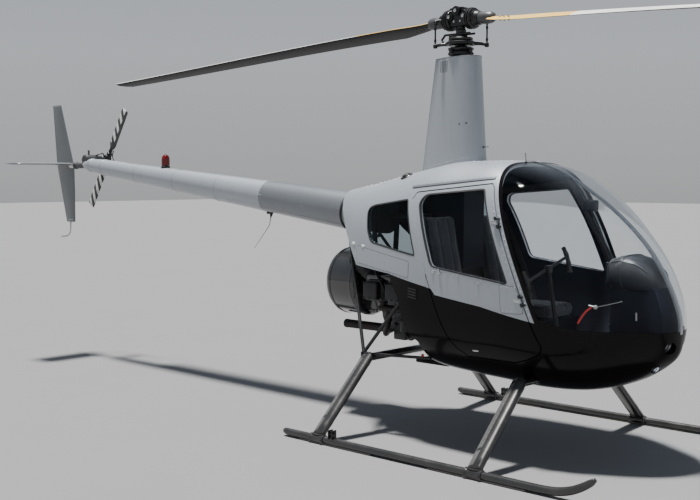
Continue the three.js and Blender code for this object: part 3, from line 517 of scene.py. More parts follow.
@dataclass(frozen=True)
class Glazing:
    """A clear or tinted sheet that lets light through to the cabin."""

    name: str
    tint: tuple[float, float, float]
    roughness: float = 0.015

    def build(self) -> bpy.types.Material:
        """Make the glazing's material, or return the one already made.

        Returns:
            The material.
        """
        made = bpy.data.materials.get(self.name)
        if made:
            return made
        material = bpy.data.materials.new(self.name)
        material.use_nodes = True
        material.diffuse_color = (*self.tint, 0.4)
        material.node_tree.nodes.clear()
        graph = Graph(material.node_tree)
        place = graph.add("TexCoord").outputs["Object"]
        haze = shared(graph, Effect.GRIME, place, 6.0)
        roughness = graph.span(haze, 0.0, 1.0, self.roughness, self.roughness + 0.05)
        wave = shared(graph, Effect.SHEET_WAVE, place, 2.2)
        normal = graph.add("Bump", {"Height": wave, "Distance": 0.0012, "Strength": 1.0}).outputs[0]
        tint = graph.mix(haze, (*self.tint, 1.0), (*[0.94 * part for part in self.tint], 1.0))
        glass = graph.add("BsdfPrincipled", {
            "Base Color": tint, "Roughness": roughness, "IOR": 1.13, "Transmission Weight": 1.0,
            "Metallic": 0.0, "Normal": normal,
        })
        passing = graph.add("BsdfTransparent", {"Color": (*self.tint, 1.0)})
        shadow = graph.add("LightPath").outputs["Is Shadow Ray"]
        both = graph.add("MixShader", {0: shadow, 1: glass.outputs[0], 2: passing.outputs[0]})
        graph.add("OutputMaterial", {"Surface": both.outputs[0]})
        return material


PAINT_WAVE = Relief(Effect.SHEET_WAVE, 3.0, 0.9)
SILVER = Finish("silver body paint", (0.37, 0.395, 0.425), (0.26, 0.27, 0.285), 0.36, 0.5, 0.45, 0.3, 0.05,
                grime=0.35, grime_scale=1.6, streaks=0.25, flake=0.10, relief=(PAINT_WAVE,))
SMOKED_SILVER = Finish("smoked silver paint", (0.20, 0.212, 0.228), (0.15, 0.155, 0.165), 0.36, 0.52, 0.55,
                       0.4, 0.06, grime=0.45, grime_scale=1.4, streaks=0.3, flake=0.10, relief=(PAINT_WAVE,))
BLACK = Finish("near-black body paint", (0.0040, 0.0032, 0.0036), (0.0105, 0.0090, 0.0086), 0.20, 0.45, 0.0,
               0.14, 0.03, specular=0.06, grime=0.42, grime_scale=1.8, streaks=0.2, flake=0.2,
               relief=(PAINT_WAVE,))
SHROUD = Finish("gloss shroud paint", (0.010, 0.010, 0.011), (0.03, 0.028, 0.024), 0.12, 0.45, 0.0, 1.0, 0.03,
                grime=0.5, grime_scale=5.0, relief=(Relief(Effect.SHEET_WAVE, 6.0, 0.8),))
FIN_GREY = Finish("fin grey paint", (0.150, 0.157, 0.165), (0.21, 0.21, 0.205), 0.38, 0.55, 0.45, 0.4, 0.08,
                  grime=0.5, grime_scale=4.0, streaks=0.4, relief=(PAINT_WAVE,))
CUFF_GREY = Finish("blade cuff paint", (0.055, 0.056, 0.058), (0.10, 0.098, 0.09), 0.42, 0.6, 0.2, 0.1,
                   grime=0.5, grime_scale=14.0, relief=(Relief(Effect.CAST, 200.0, 0.2),))
TUBE_GREY = Finish("gunmetal tube paint", (0.036, 0.035, 0.034), (0.085, 0.080, 0.074), 0.28, 0.6, 0.55, 0.6,
                   0.1, grime=0.5, grime_scale=7.0, flake=0.15, relief=(Relief(Effect.CAST, 160.0, 0.12),))
FAIRING_GREY = Finish("pale leg fairing paint", (0.13, 0.128, 0.125), (0.20, 0.195, 0.18), 0.4, 0.6, 0.5, 0.3,
                      grime=0.5, grime_scale=7.0, relief=(PAINT_WAVE,))
SHOE_STEEL = Finish("scraped shoe steel", (0.22, 0.21, 0.20), (0.09, 0.075, 0.06), 0.38, 0.7, 0.9,
                    grime=0.8, grime_scale=12.0, relief=(Relief(Effect.BRUSHED, 420.0, 0.35),))
DARK_STEEL = Finish("dark steel", (0.010, 0.010, 0.011), (0.028, 0.025, 0.022), 0.36, 0.6, 0.2, 0.1,
                    grime=0.5, grime_scale=9.0, relief=(Relief(Effect.CAST, 110.0, 0.2),))
BRIGHT_STEEL = Finish("bright steel", (0.55, 0.55, 0.54), (0.25, 0.24, 0.22), 0.24, 0.5, 1.0,
                      grime=0.5, grime_scale=20.0, relief=(Relief(Effect.BRUSHED, 600.0, 0.08),))
# Cast alloy, darkened well below its own tone to paint the shade in the engine bay; the tail gearbox shares the
# same dark colour.
CAST_METAL_WITH_PAINTED_SHADE = Finish("cast alloy with painted bay shade", (0.085, 0.087, 0.09), (0.038, 0.034, 0.029), 0.48, 0.7, 0.6,
                    grime=0.8, grime_scale=10.0, relief=(Relief(Effect.CAST, 240.0, 0.8),))
BAY_METAL = Finish("engine bay sheet", (0.022, 0.022, 0.025), (0.055, 0.050, 0.042), 0.42, 0.65, 0.4,
                   grime=0.7, grime_scale=6.0, relief=(Relief(Effect.SHEET_WAVE, 8.0, 1.4),))
BURNT_STEEL = Finish("burnt exhaust steel", (0.017, 0.015, 0.015), (0.050, 0.032, 0.022), 0.45, 0.75, 0.5,
                     grime=0.9, grime_scale=8.0, relief=(Relief(Effect.CAST, 90.0, 0.5),))
RUBBER = Finish("black rubber", (0.014, 0.014, 0.015), (0.05, 0.048, 0.044), 0.62, 0.8, 0.0,
                grime=0.5, grime_scale=12.0, relief=(Relief(Effect.CAST, 380.0, 0.12),))
# Cabin trim: its navy tint is a painted reflection of the sky, and its tone is pushed below the trim's own to
# paint the shade inside the cabin.
TRIM_WITH_PAINTED_SKY_AND_SHADE = Finish("cabin trim with painted sky tint and shade", (0.005, 0.007, 0.014), (0.011, 0.013, 0.019), 0.55, 0.7, 0.0, specular=0.25,
              grime=0.4, grime_scale=6.0, relief=(Relief(Effect.HIDE, 420.0, 0.25),))
# Cabin carpet: its navy tint is a painted reflection of the sky.
CARPET_WITH_PAINTED_SKY = Finish("cabin carpet with painted sky tint", (0.006, 0.008, 0.015), (0.014, 0.015, 0.019), 0.9, 0.95, 0.0, sheen=0.2,
                grime=0.5, grime_scale=10.0, relief=(Relief(Effect.CAST, 900.0, 2.0),))
HIDE = Finish("console hide", (0.009, 0.010, 0.014), (0.020, 0.021, 0.026), 0.38, 0.6, 0.0, 0.1, 0.3,
              grime=0.4, grime_scale=9.0, relief=(Relief(Effect.HIDE, 260.0, 1.6),))
SEAT_CLOTH = Finish("seat cloth", (0.018, 0.020, 0.028), (0.040, 0.041, 0.046), 0.85, 0.95, 0.0, sheen=0.5,
                    grime=0.5, grime_scale=8.0, relief=(Relief(Effect.WEAVE, 2600.0, 0.35),))
SEAT_PIPING = Finish("seat piping", (0.014, 0.014, 0.016), (0.04, 0.04, 0.042), 0.45, 0.7, 0.0, sheen=0.2,
                     grime=0.4, grime_scale=20.0, relief=(Relief(Effect.HIDE, 500.0, 0.2),))
WEBBING = Finish("belt webbing", (0.055, 0.057, 0.062), (0.10, 0.10, 0.10), 0.7, 0.9, 0.0, sheen=0.3,
                 grime=0.3, grime_scale=14.0, relief=(Relief(Effect.WEAVE, 4200.0, 0.4),))
LENS_RED = Finish("red lens", (0.15, 0.003, 0.005), (0.12, 0.008, 0.01), 0.12, 0.35, 0.0, 0.4, 0.02,
                  specular=0.3, grime=0.3, grime_scale=30.0, relief=(Relief(Effect.SHEET_WAVE, 40.0, 0.3),))
LENS_DARK = Finish("dark lamp lens", (0.05, 0.055, 0.065), (0.10, 0.10, 0.10), 0.05, 0.3, 0.4, 1.0, 0.02,
                   grime=0.2, grime_scale=30.0, relief=(Relief(Effect.SHEET_WAVE, 60.0, 0.5),))
LENS_BRIGHT = Finish("bright lamp lens", (0.62, 0.68, 0.80), (0.4, 0.4, 0.42), 0.06, 0.3, 0.9, 1.0, 0.02,
                     grime=0.2, grime_scale=30.0, relief=(Relief(Effect.SHEET_WAVE, 90.0, 0.8),))
WHITE_PLASTIC = Finish("white plastic", (0.72, 0.72, 0.70), (0.5, 0.48, 0.44), 0.35, 0.6, 0.0, 0.2,
                       grime=0.3, grime_scale=30.0, relief=(Relief(Effect.CAST, 300.0, 0.08),))
PROBE_GREY = Finish("probe alloy", (0.30, 0.31, 0.32), (0.2, 0.2, 0.2), 0.35, 0.6, 0.6,
                    grime=0.3, grime_scale=40.0, relief=(Relief(Effect.CAST, 300.0, 0.08),))
RED_RIBBON = Finish("red ribbon", (0.50, 0.025, 0.022), (0.32, 0.05, 0.04), 0.6, 0.8, 0.0, sheen=0.4,
                    grime=0.4, grime_scale=60.0, relief=(Relief(Effect.WEAVE, 5200.0, 0.2),))
SMALL_RED = Finish("red cap", (0.42, 0.02, 0.018), (0.2, 0.03, 0.03), 0.4, 0.6, 0.0,
                   grime=0.4, grime_scale=40.0, relief=(Relief(Effect.CAST, 200.0, 0.1),))
MAIN_BLADE = BladePaint("main blade paint", (0.70, 0.70, 0.68), (0.10, 0.095, 0.085), 0.5, 0.7, 0.0, 0.0, 0.1,
                        specular=0.12, grime=0.35, grime_scale=3.0,
                        relief=(Relief(Effect.SHEET_WAVE, 4.0, 0.4),))
TAIL_BLADE = BandedPaint("tail blade paint", (0.72, 0.72, 0.70), (0.4, 0.39, 0.36), 0.35, 0.6, 0.0, 0.3, 0.1,
                         grime=0.3, grime_scale=9.0, relief=(Relief(Effect.SHEET_WAVE, 8.0, 0.3),))
FLOOR = Finish("pale floor", (0.19, 0.19, 0.192), (0.172, 0.172, 0.172), 0.8, 0.9, 0.0, specular=0.2,
               grime=0.5, grime_scale=0.8, relief=(Relief(Effect.CAST, 40.0, 1.0),))
CLEAR_SCREEN = Glazing("clear windscreen", (0.89, 0.915, 0.935))
DOOR_PANE = Glazing("door window", (0.80, 0.83, 0.86))
REAR_PANE = Glazing("smoked rear window", (0.30, 0.37, 0.40))


# Shapes


class Carving(Enum):
    """What a boolean tool does to a body."""

    KEEP = "INTERSECT"
    CUT = "DIFFERENCE"


def basis(along: Vector, helper: Vector | None = None) -> Matrix:
    """Return a turn whose Z axis points along a direction, with X as near as can be to a helper.

    Args:
        along: the direction for Z.
        helper: the direction that X leans to.

    Returns:
        The turn as a matrix.
    """
    z = along.normalized()
    guess = helper if helper is not None else (PORT if abs(z.y) < 0.9 else AHEAD)
    x = (guess - z * guess.dot(z)).normalized()
    return Matrix((x, z.cross(x), z)).transposed().to_4x4()


def smooth_path(points: list[Vector], steps: int = 6) -> list[Vector]:
    """Return a path through points with a smooth curve between each two of them.

    Args:
        points: the points to pass through.
        steps: how many stretches join two points.

    Returns:
        The finer path, with the points in it.
    """
    ends = [2 * points[0] - points[1], *points, 2 * points[-1] - points[-2]]
    path = []
    for i in range(1, len(ends) - 2):
        a, b, c, d = ends[i - 1:i + 3]
        for k in range(steps):
            t = k / steps
            path.append(0.5 * (2 * b + (c - a) * t + (2 * a - 5 * b + 4 * c - d) * t * t
                               + (3 * b - a - 3 * c + d) * t ** 3))
    return [*path, points[-1]]


def around(count: int, start: float = 0.0) -> list[tuple[float, float]]:
    """Return the cosine and sine of even steps around a circle, from a first angle in degrees."""
    angles = [2 * math.pi * k / count + math.radians(start) for k in range(count)]
    return [(math.cos(angle), math.sin(angle)) for angle in angles]


def route(places: list[tuple[float, float, float]], steps: int = 6) -> list[Vector]:
    """Return a smooth path through places given in millimetres from the mast's foot."""
    return smooth_path([spot(*place) for place in places], steps)


class Forge:
    """Collects the shapes of one piece in a bmesh, then hands the piece over to the frame."""

    def __init__(self) -> None:
        """Start with an empty mesh."""
        self.bm = bmesh.new()

    def _ring(self, centre: Vector, turn: Matrix, radius: float, sides: int) -> list:
        """Add a ring of edges around a centre and return them.

        Args:
            centre: its middle.
            turn: the turn from its own plane.
            radius: its radius.
            sides: how many edges.

        Returns:
            The edges.
        """
        made = bmesh.ops.create_circle(
            self.bm, cap_ends=False, radius=radius, segments=sides, matrix=Matrix.Translation(centre) @ turn)
        return list({edge for vert in made["verts"] for edge in vert.link_edges})

    def _close(self, rings: list[list]) -> None:
        """Bridge rings one to the next and fill both ends.

        Args:
            rings: the rings' edges, one list each.
        """
        for first, second in zip(rings, rings[1:]):
            bmesh.ops.bridge_loops(self.bm, edges=first + second)
        for ring in (rings[0], rings[-1]):
            bmesh.ops.edgeloop_fill(self.bm, edges=ring)

    def tube(self, points: list[Vector], radii: float | list[float], sides: int = 20) -> "Forge":
        """Add a round tube through points, in metres, with one radius or one for each point.

        Args:
            points: the path.
            radii: one radius, or one for each point.
            sides: how many sides it has.

        Returns:
            This forge.
        """
        sizes = radii if isinstance(radii, list) else [radii] * len(points)
        rings, turn = [], None
        for i, point in enumerate(points):
            ahead = points[min(i + 1, len(points) - 1)] - points[max(i - 1, 0)]
            turn = basis(ahead, None if turn is None else turn.to_3x3().col[0])
            rings.append(self._ring(point, turn, sizes[i], sides))
        self._close(rings)
        return self

    def loft(self, rings: list[list[Vector]]) -> "Forge":
        """Skin a row of closed rings that have the same number of points, and fill both ends.

        Args:
            rings: the rings' points.

        Returns:
            This forge.
        """
        loops = []
        for ring in rings:
            verts = [self.bm.verts.new(place) for place in ring]
            loops.append([self.bm.edges.new((verts[i - 1], verts[i])) for i in range(len(verts))])
        for first, second in zip(loops, loops[1:]):
            bmesh.ops.bridge_loops(self.bm, edges=first + second)
        for loop in (loops[0], loops[-1]):
            bmesh.ops.edgeloop_fill(self.bm, edges=loop)
        return self

    def loop_tube(self, path: list[Vector], radius: float, sides: int = 10) -> "Forge":
        """Add a round tube along a closed path.

        Args:
            path: the points of the loop.
            radius: the tube's radius.
            sides: how many sides it has.

        Returns:
            This forge.
        """
        rings, turn = [], None
        for i, point in enumerate(path):
            ahead = path[(i + 1) % len(path)] - path[i - 1]
            turn = basis(ahead, None if turn is None else turn.to_3x3().col[0])
            rings.append(self._ring(point, turn, radius, sides))
        for first, second in zip(rings, rings[1:] + rings[:1]):
            bmesh.ops.bridge_loops(self.bm, edges=first + second)
        return self

    def rod(self, start: Vector, end: Vector, radius: float, sides: int = 20) -> "Forge":
        """Add a straight round bar."""
        return self.tube([start, end], radius, sides)

    def turned(self, start: Vector, along: Vector, profile: list[tuple[float, float]],
               steps: int = 48) -> "Forge":
        """Spin a profile around a line.

        Args:
            start: The point where distances along the line begin.
            along: The line's direction.
            profile: Rows of distance along the line and radius, in millimetres.
            steps: How many faces go around.

        Returns:
            The forge.
        """
        axis = along.normalized()
        side = basis(axis).to_3x3().col[0]
        verts = [self.bm.verts.new(start + axis * s * MM + side * r * MM) for s, r in profile]
        edges = [self.bm.edges.new(pair) for pair in zip(verts, verts[1:])]
        bmesh.ops.spin(self.bm, geom=verts + edges, cent=start, axis=axis, angle=2 * math.pi,
                       steps=steps, use_merge=True, use_duplicate=False)
        near = {v for v in self.bm.verts if v.is_valid and (v.co - start).cross(axis).length < 1e-6}
        bmesh.ops.remove_doubles(self.bm, verts=list(near), dist=1e-6)
        return self

    def block(self, low: Vector, high: Vector, bevel: float = 2.0, segments: int = 2,
              turn: Matrix | None = None) -> "Forge":
        """Add a box with rounded edges, turned about its centre if a turn is given.

        Args:
            low: the lowest corner.
            high: the highest corner.
            bevel: the rounding in millimetres.
            segments: how many faces round an edge.
            turn: a turn about its centre.

        Returns:
            This forge.
        """
        middle, size = (low + high) / 2, high - low
        place = Matrix.Translation(middle) @ (turn or Matrix.Identity(4)) @ Matrix.Diagonal((*size, 1.0))
        made = bmesh.ops.create_cube(self.bm, size=1.0, matrix=place)["verts"]
        if bevel:
            edges = list({edge for vert in made for edge in vert.link_edges})
            bmesh.ops.bevel(self.bm, geom=edges, offset=bevel * MM, offset_type="OFFSET", segments=segments,
                            profile=0.5, affect="EDGES", material=-1, clamp_overlap=True)
        return self

    def prism(self, outline: Outline, y0: float, y1: float, far: Outline | None = None) -> "Forge":
        """Extrude an outline in X and Z along Y, to another outline of the same count if one is given.

        Args:
            outline: the outline in millimetres.
            y0: where it starts.
            y1: where it ends.
            far: the outline at the end, if another.

        Returns:
            This forge.
        """
        verts = [self.bm.verts.new(spot(x, y0, z)) for x, z in outline]
        face = self.bm.faces.new(verts)
        places = {vert: i for i, vert in enumerate(verts)}
        made = bmesh.ops.extrude_face_region(self.bm, geom=[face])["geom"]
        for vert in [part for part in made if isinstance(part, bmesh.types.BMVert)]:
            source = next(e.other_vert(vert) for e in vert.link_edges if e.other_vert(vert) in places)
            x, z = (far or outline)[places[source]]
            vert.co = spot(x, y1, z)
        return self

    def plate(self, corners: list[Vector], thickness: Vector) -> "Forge":
        """Add a flat plate: a face through corners, pulled out by a vector.

        Args:
            corners: the face's corners.
            thickness: the pull, as a vector.

        Returns:
            This forge.
        """
        face = self.bm.faces.new([self.bm.verts.new(corner) for corner in corners])
        made = bmesh.ops.extrude_face_region(self.bm, geom=[face])["geom"]
        moved = [part for part in made if isinstance(part, bmesh.types.BMVert)]
        bmesh.ops.translate(self.bm, verts=moved, vec=thickness)
        return self

    def dome(self, at: Vector, out: Vector, radius: float, height: float, sides: int = 8) -> "Forge":
        """Add a low rivet or screw head, with its size in millimetres.

        Args:
            at: its foot.
            out: the way that it stands.
            radius: its radius.
            height: its height.
            sides: how many sides it has.

        Returns:
            This forge.
        """
        centre = at + out.normalized() * height * MM * 0.35
        bmesh.ops.create_cone(
            self.bm, cap_ends=True, segments=sides, radius1=radius * MM, radius2=radius * 0.5 * MM,
            depth=height * MM * 1.3, matrix=Matrix.Translation(centre) @ basis(out))
        return self

    def bolt(self, at: Vector, out: Vector, radius: float, height: float) -> "Forge":
        """Add a six-sided bolt head on a washer, with its size in millimetres.

        Args:
            at: its foot.
            out: the way that it stands.
            radius: the head's radius.
            height: the head's height.

        Returns:
            This forge.
        """
        way = out.normalized()
        for size, low, high, sides in ((1.5, 0.0, 0.25, 20), (1.0, 0.25, 1.0, 6), (0.45, 1.0, 1.35, 12)):
            start, end = at + way * height * low * MM, at + way * height * high * MM
            self.rod(start, end, radius * size * MM, sides)
        return self

    def strap(self, path: list[Vector], width: float, thickness: float, across: Vector) -> float:
        """Add a flat strap.

        Args:
            path: Its middle line in metres.
            width: Its width in metres.
            thickness: Its thickness in metres.
            across: Roughly the direction of its width.

        Returns:
            Its length in metres.
        """
        rings, length = [], 0.0
        for i, point in enumerate(path):
            ahead = (path[min(i + 1, len(path) - 1)] - path[max(i - 1, 0)]).normalized()
            side = (across - ahead * across.dot(ahead)).normalized()
            up = ahead.cross(side) * thickness / 2
            side = side * width / 2
            rings.append([point - side - up, point + side - up, point + side + up, point - side + up])
            length += (point - path[i - 1]).length if i else 0.0
        self.loft(rings)
        return length

    def mirror_copy(self) -> "Forge":
        """Add a copy of everything so far on the other side of the aircraft.

        Returns:
            This forge.
        """
        made = bmesh.ops.duplicate(self.bm,
                                   geom=self.bm.verts[:] + self.bm.edges[:] + self.bm.faces[:])["geom"]
        verts = [part for part in made if isinstance(part, bmesh.types.BMVert)]
        faces = [part for part in made if isinstance(part, bmesh.types.BMFace)]
        bmesh.ops.scale(self.bm, vec=(1, -1, 1), verts=verts)
        bmesh.ops.reverse_faces(self.bm, faces=faces)
        return self

    def temporary(self) -> bpy.types.Object:
        """Return the shape as a plain object for use in a boolean, with its faces turned outwards.

        Returns:
            The object.
        """
        bmesh.ops.recalc_face_normals(self.bm, faces=self.bm.faces[:])
        mesh = bpy.data.meshes.new("tool")
        self.bm.to_mesh(mesh)
        self.bm.free()
        tool = bpy.data.objects.new("tool", mesh)
        bpy.context.scene.collection.objects.link(tool)
        return tool

    def piece(self, name: str, finishes: list, slot: str, body: str = AIRFRAME, nodes: tuple[str, ...] = (),
              sharp: float = 35.0, bevel: float = 0.0, outward: bool = True) -> bpy.types.Object:
        """Finish the piece and give it to the frame.

        Args:
            name: The piece's name.
            finishes: Its finishes, the first for the faces with no other.
            slot: not used.
            body: The body that it rides on.
            nodes: The CAD nodes that it stands for.
            sharp: Edges that turn by more than this many degrees stay sharp.
            bevel: Width in millimetres of a live bevel on sharp edges, or nothing.
            outward: Whether the faces are turned outwards first.

        Returns:
            The piece's object.
        """
        if outward:
            bmesh.ops.recalc_face_normals(self.bm, faces=self.bm.faces[:])
        mesh = bpy.data.meshes.new(name)
        self.bm.to_mesh(mesh)
        self.bm.free()
        return hand_over(mesh, name, finishes, body, nodes, sharp, bevel)


def hand_over(mesh: bpy.types.Mesh, name: str, finishes: list, body: str = AIRFRAME,
              nodes: tuple[str, ...] = (), sharp: float | None = 35.0,
              bevel: float = 0.0) -> bpy.types.Object:
    """Make an object of a finished mesh, dress it, and put it on its body. Forge.piece explains the rest.

    Args:
        mesh: the finished mesh.
        name: the piece's name.
        finishes: the finishes, in slot order.
        body: the body that it rides on.
        nodes: the CAD nodes that it stands for.
        sharp: the angle in degrees above which an edge stays sharp, or None to keep the mesh's own normals.
        bevel: the width in millimetres of a soft edge, or 0 for none.

    Returns:
        The piece.
    """
    obj = bpy.data.objects.new(name, mesh)
    bpy.context.scene.collection.objects.link(obj)
    faces = [min(face.material_index, len(finishes) - 1) for face in mesh.polygons]
    mesh.materials.clear()
    for finish in finishes:
        mesh.materials.append(finish.build())
    mesh.polygons.foreach_set("material_index", faces)
    if sharp is not None:
        mesh.shade_smooth()
        mesh.set_sharp_from_angle(angle=math.radians(sharp))
    if bevel:
        edge = obj.modifiers.new("soft edges", "BEVEL")
        edge.width = bevel * MM
        edge.segments = 2
        edge.limit_method = "ANGLE"
        edge.angle_limit = math.radians(40)
        edge.harden_normals = True
        edge.use_clamp_overlap = True
    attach(obj, body)
    if nodes:
        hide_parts(*nodes)
    log.info("%s on %s, %d faces", name, body, len(mesh.polygons))
    return obj


def cutter(outline: Outline, start: float = -200.0, end: float = -700.0) -> bpy.types.Object:
    """Return a tool with an outline seen from the side, between two places across the aircraft."""
    return Forge().prism(outline, start, end).temporary()


def carve(body: bpy.types.Object, tool: bpy.types.Object, how: Carving, keep: bool = False) -> None:
    """Apply one boolean to a body, and throw its tool away unless it is kept.

    Args:
        body: the object that changes.
        tool: the object that cuts.
        how: which boolean.
        keep: whether the tool is wanted again.
    """
    step = body.modifiers.new("carve", "BOOLEAN")
    step.object = tool
    step.operation = how.value
    step.solver = "EXACT"
    shape = bpy.data.meshes.new_from_object(body.evaluated_get(bpy.context.evaluated_depsgraph_get()))
    body.modifiers.clear()
    old, body.data = body.data, shape
    bpy.data.meshes.remove(old)
    if not keep:
        discard(tool)


def discard(tool: bpy.types.Object) -> None:
    """Remove a temporary object and its mesh.

    Args:
        tool: the object that goes.
    """
    mesh = tool.data
    bpy.data.objects.remove(tool)
    bpy.data.meshes.remove(mesh)


def grow(outline: Outline, distance: float) -> Outline:
    """Return an outline with each side moved outward by a distance.

    Args:
        outline: the corners, in order.
        distance: how far, in millimetres; inward if negative.

    Returns:
        The new corners.
    """
    count = len(outline)
    area = sum(x * outline[(i + 1) % count][1] - outline[(i + 1) % count][0] * z
               for i, (x, z) in enumerate(outline))
    grown = []
    for i, (x, z) in enumerate(outline):
        px, pz = outline[i - 1]
        nx, nz = outline[(i + 1) % count]
        before = Vector((z - pz, px - x)).normalized()
        after = Vector((nz - z, x - nx)).normalized()
        between = (before + after).normalized()
        reach = math.copysign(distance, area * distance) / between.dot(before)
        grown.append((x + between.x * reach, z + between.y * reach))
    return grown


def fillet(outline: Outline, radius: float, steps: int = 5) -> Outline:
    """Return an outline with its corners rounded.

    Args:
        outline: the corners, in order.
        radius: the largest reach of a rounding.
        steps: how many stretches make one.

    Returns:
        The rounded outline.
    """
    count, rounded = len(outline), []
    for i in range(count):
        here, before, after = (Vector(outline[j % count]) for j in (i, i - 1, i + 1))
        back, ahead = before - here, after - here
        reach = min(radius, 0.45 * back.length, 0.45 * ahead.length)
        start, end = here + back.normalized() * reach, here + ahead.normalized() * reach
        for k in range(steps + 1):
            t = k / steps
            rounded.append(tuple((1 - t) ** 2 * start + 2 * t * (1 - t) * here + t * t * end))
    return rounded


def refine(frame: dict, node: str, finish: Finish, slot: str, bevel: float) -> bpy.types.Object:
    """Replace a CAD node by a merged copy with smooth curves and softened edges.

    Args:
        node: The CAD node.
        finish: The finish of the copy.
        slot: not used; it is only passed on to Forge.piece.
        bevel: Width of the softened edges in millimetres.

    Returns:
        The new piece.
    """
    forge = Forge()
    forge.bm.from_mesh(frame["nodes"][node].data)
    bmesh.ops.remove_doubles(forge.bm, verts=forge.bm.verts[:], dist=4e-5)
    bmesh.ops.dissolve_degenerate(forge.bm, edges=forge.bm.edges[:], dist=2e-5)
    bmesh.ops.dissolve_limit(forge.bm, angle_limit=math.radians(0.8), verts=forge.bm.verts[:],
                             edges=forge.bm.edges[:])
    return forge.piece(f"{node}_dressed", [finish], slot, nodes=(node,), sharp=32.0, bevel=bevel,
                       outward=False)


# The cabin's skin


@dataclass
class HullForm:
    """The smooth body of the cabin and cowl, as sections along X.

    Station columns: x, half width, bottom, height of the greatest width, top, exponent above, exponent below.
    """

    stations: tuple[Row, ...] = (
        (-960, 160, 480, 1250, 1606, 2.6, 3.0), (-925, 215, 480, 1240, 1611, 2.7, 3.0),
        (-860, 268, 480, 1220, 1621, 2.8, 3.0), (-790, 302, 480, 1190, 1633, 2.9, 3.0),
        (-600, 400, 480, 1110, 1662, 3.0, 3.0), (-300, 490, 470, 1010, 1724, 3.1, 2.7),
        (0, 550, 455, 960, 1780, 3.2, 2.5), (110, 560, 440, 955, 1798, 3.2, 2.5),
        (340, 572, 422, 950, 1803, 3.25, 2.4), (570, 576, 406, 945, 1797, 3.5, 2.3),
        (790, 576, 393, 930, 1731, 3.8, 2.2), (1040, 528, 409, 902, 1584, 3.45, 2.25),
        (1162, 466, 433, 886, 1496, 3.14, 2.2), (1276, 400, 470, 874, 1398, 2.83, 2.05),
        (1374, 344, 512, 864, 1296, 2.62, 1.85), (1446, 290, 554, 854, 1200, 2.5, 1.7),
        (1523, 203, 610, 844, 1065, 2.45, 1.65), (1570, 118, 660, 834, 950, 2.4, 1.65),
        (1586, 66, 702, 830, 892, 2.3, 1.7), (1592, 22, 756, 828, 852, 2.2, 1.8),
    )
    middle_x: float = 500.0
    around: int = 112
    between: int = 5
    rows: np.ndarray = field(init=False)
    tree: BVHTree | None = None
    corner_normals: list[Vector] = field(default_factory=list)
    places: list[Vector] = field(default_factory=list)
    faces: list[tuple[int, ...]] = field(default_factory=list)
    shapes: dict[float, bpy.types.Mesh] = field(default_factory=dict)

    def __post_init__(self) -> None:
        """Work out the closely spaced sections that the panels are measured on."""
        count = len(self.stations) - 1
        self.rows = np.array([self.row_at(count * i / (40 * count)) for i in range(40 * count + 1)])

    def row_at(self, u: float) -> np.ndarray:
        """Return the section a given number of stations from the tail, on a smooth curve through them all.

        Args:
            u: the number of stations.

        Returns:
            X, half width, bottom, middle, top, and the powers above and below the middle.
        """
        table = np.array(self.stations, float)
        i = min(int(u), len(table) - 2)
        t = u - i
        gaps = np.linalg.norm(np.diff(table[:, :5], axis=0), axis=1) ** 0.75

        def slope(k: int) -> np.ndarray:
            """Return the rate of change at one station.

            Args:
                k: the station's number.

            Returns:
                The rate of each column.
            """
            if k == 0 or k == len(table) - 1:
                j = min(k, len(table) - 2)
                return (table[j + 1] - table[j]) / gaps[j]
            before, after = (table[k] - table[k - 1]) / gaps[k - 1], (table[k + 1] - table[k]) / gaps[k]
            return (before * gaps[k] + after * gaps[k - 1]) / (gaps[k] + gaps[k - 1])

        h = gaps[i]
        return ((2 * t ** 3 - 3 * t ** 2 + 1) * table[i] + (t ** 3 - 2 * t ** 2 + t) * h * slope(i)
                + (3 * t ** 2 - 2 * t ** 3) * table[i + 1] + (t ** 3 - t ** 2) * h * slope(i + 1))

    def section(self, x: float) -> np.ndarray:
        """Return the section at one X."""
        return np.array([np.interp(x, self.rows[:, 0], self.rows[:, k]) for k in range(7)])

    def side(self, x: float, z: float) -> float:
        """Return the half width of the skin at one X and Z.

        Args:
            x: the place along the body.
            z: the height.

        Returns:
            The half width in millimetres.
        """
        _, half, bottom, middle, top, above, below = self.section(x)
        high = z > middle
        part = min(abs(z - middle) / ((top - middle) if high else (middle - bottom)), 1.0)
        power = above if high else below
        return float(half * max(1 - part ** power, 0.0) ** (1 / power))

    def crown(self, x: float, y: float) -> float:
        """Return the height of the roof at one X and Y."""
        _, half, _, middle, top, above, _ = self.section(x)
        return float(middle + (top - middle) * max(1 - min(abs(y) / half, 1.0) ** above, 0.0) ** (1 / above))

    def at(self, x: float, z: float, side: int = -1, lift: float = 0.0) -> tuple[Vector, Vector]:
        """Return a point on a side of the skin, lifted by some millimetres, and the way out of the skin.

        Args:
            x: the place along the body.
            z: the height.
            side: -1 starboard, 1 port.
            lift: how far the point stands proud.

        Returns:
            The point and the direction.
        """
        step = 2.0
        y = self.side(x, z)
        slope_x = (self.side(x + step, z) - self.side(x - step, z)) / (2 * step)
        slope_z = (self.side(x, z + step) - self.side(x, z - step)) / (2 * step)
        out = Vector((-slope_x, side, -slope_z)).normalized()
        return spot(x, side * y, z) + out * lift * MM, out

    def roof(self, x: float, y: float, lift: float = 0.0) -> tuple[Vector, Vector]:
        """Return a point on the roof and the way out of it.

        Args:
            x: the place along the body.
            y: the place across it.
            lift: how far the point stands proud.

        Returns:
            The point and the direction.
        """
        step = 2.0
        slope_x = (self.crown(x + step, y) - self.crown(x - step, y)) / (2 * step)
        slope_y = (self.crown(x, y + step) - self.crown(x, y - step)) / (2 * step)
        out = Vector((-slope_x, -slope_y, 1)).normalized()
        return spot(x, y, self.crown(x, y)) + out * lift * MM, out

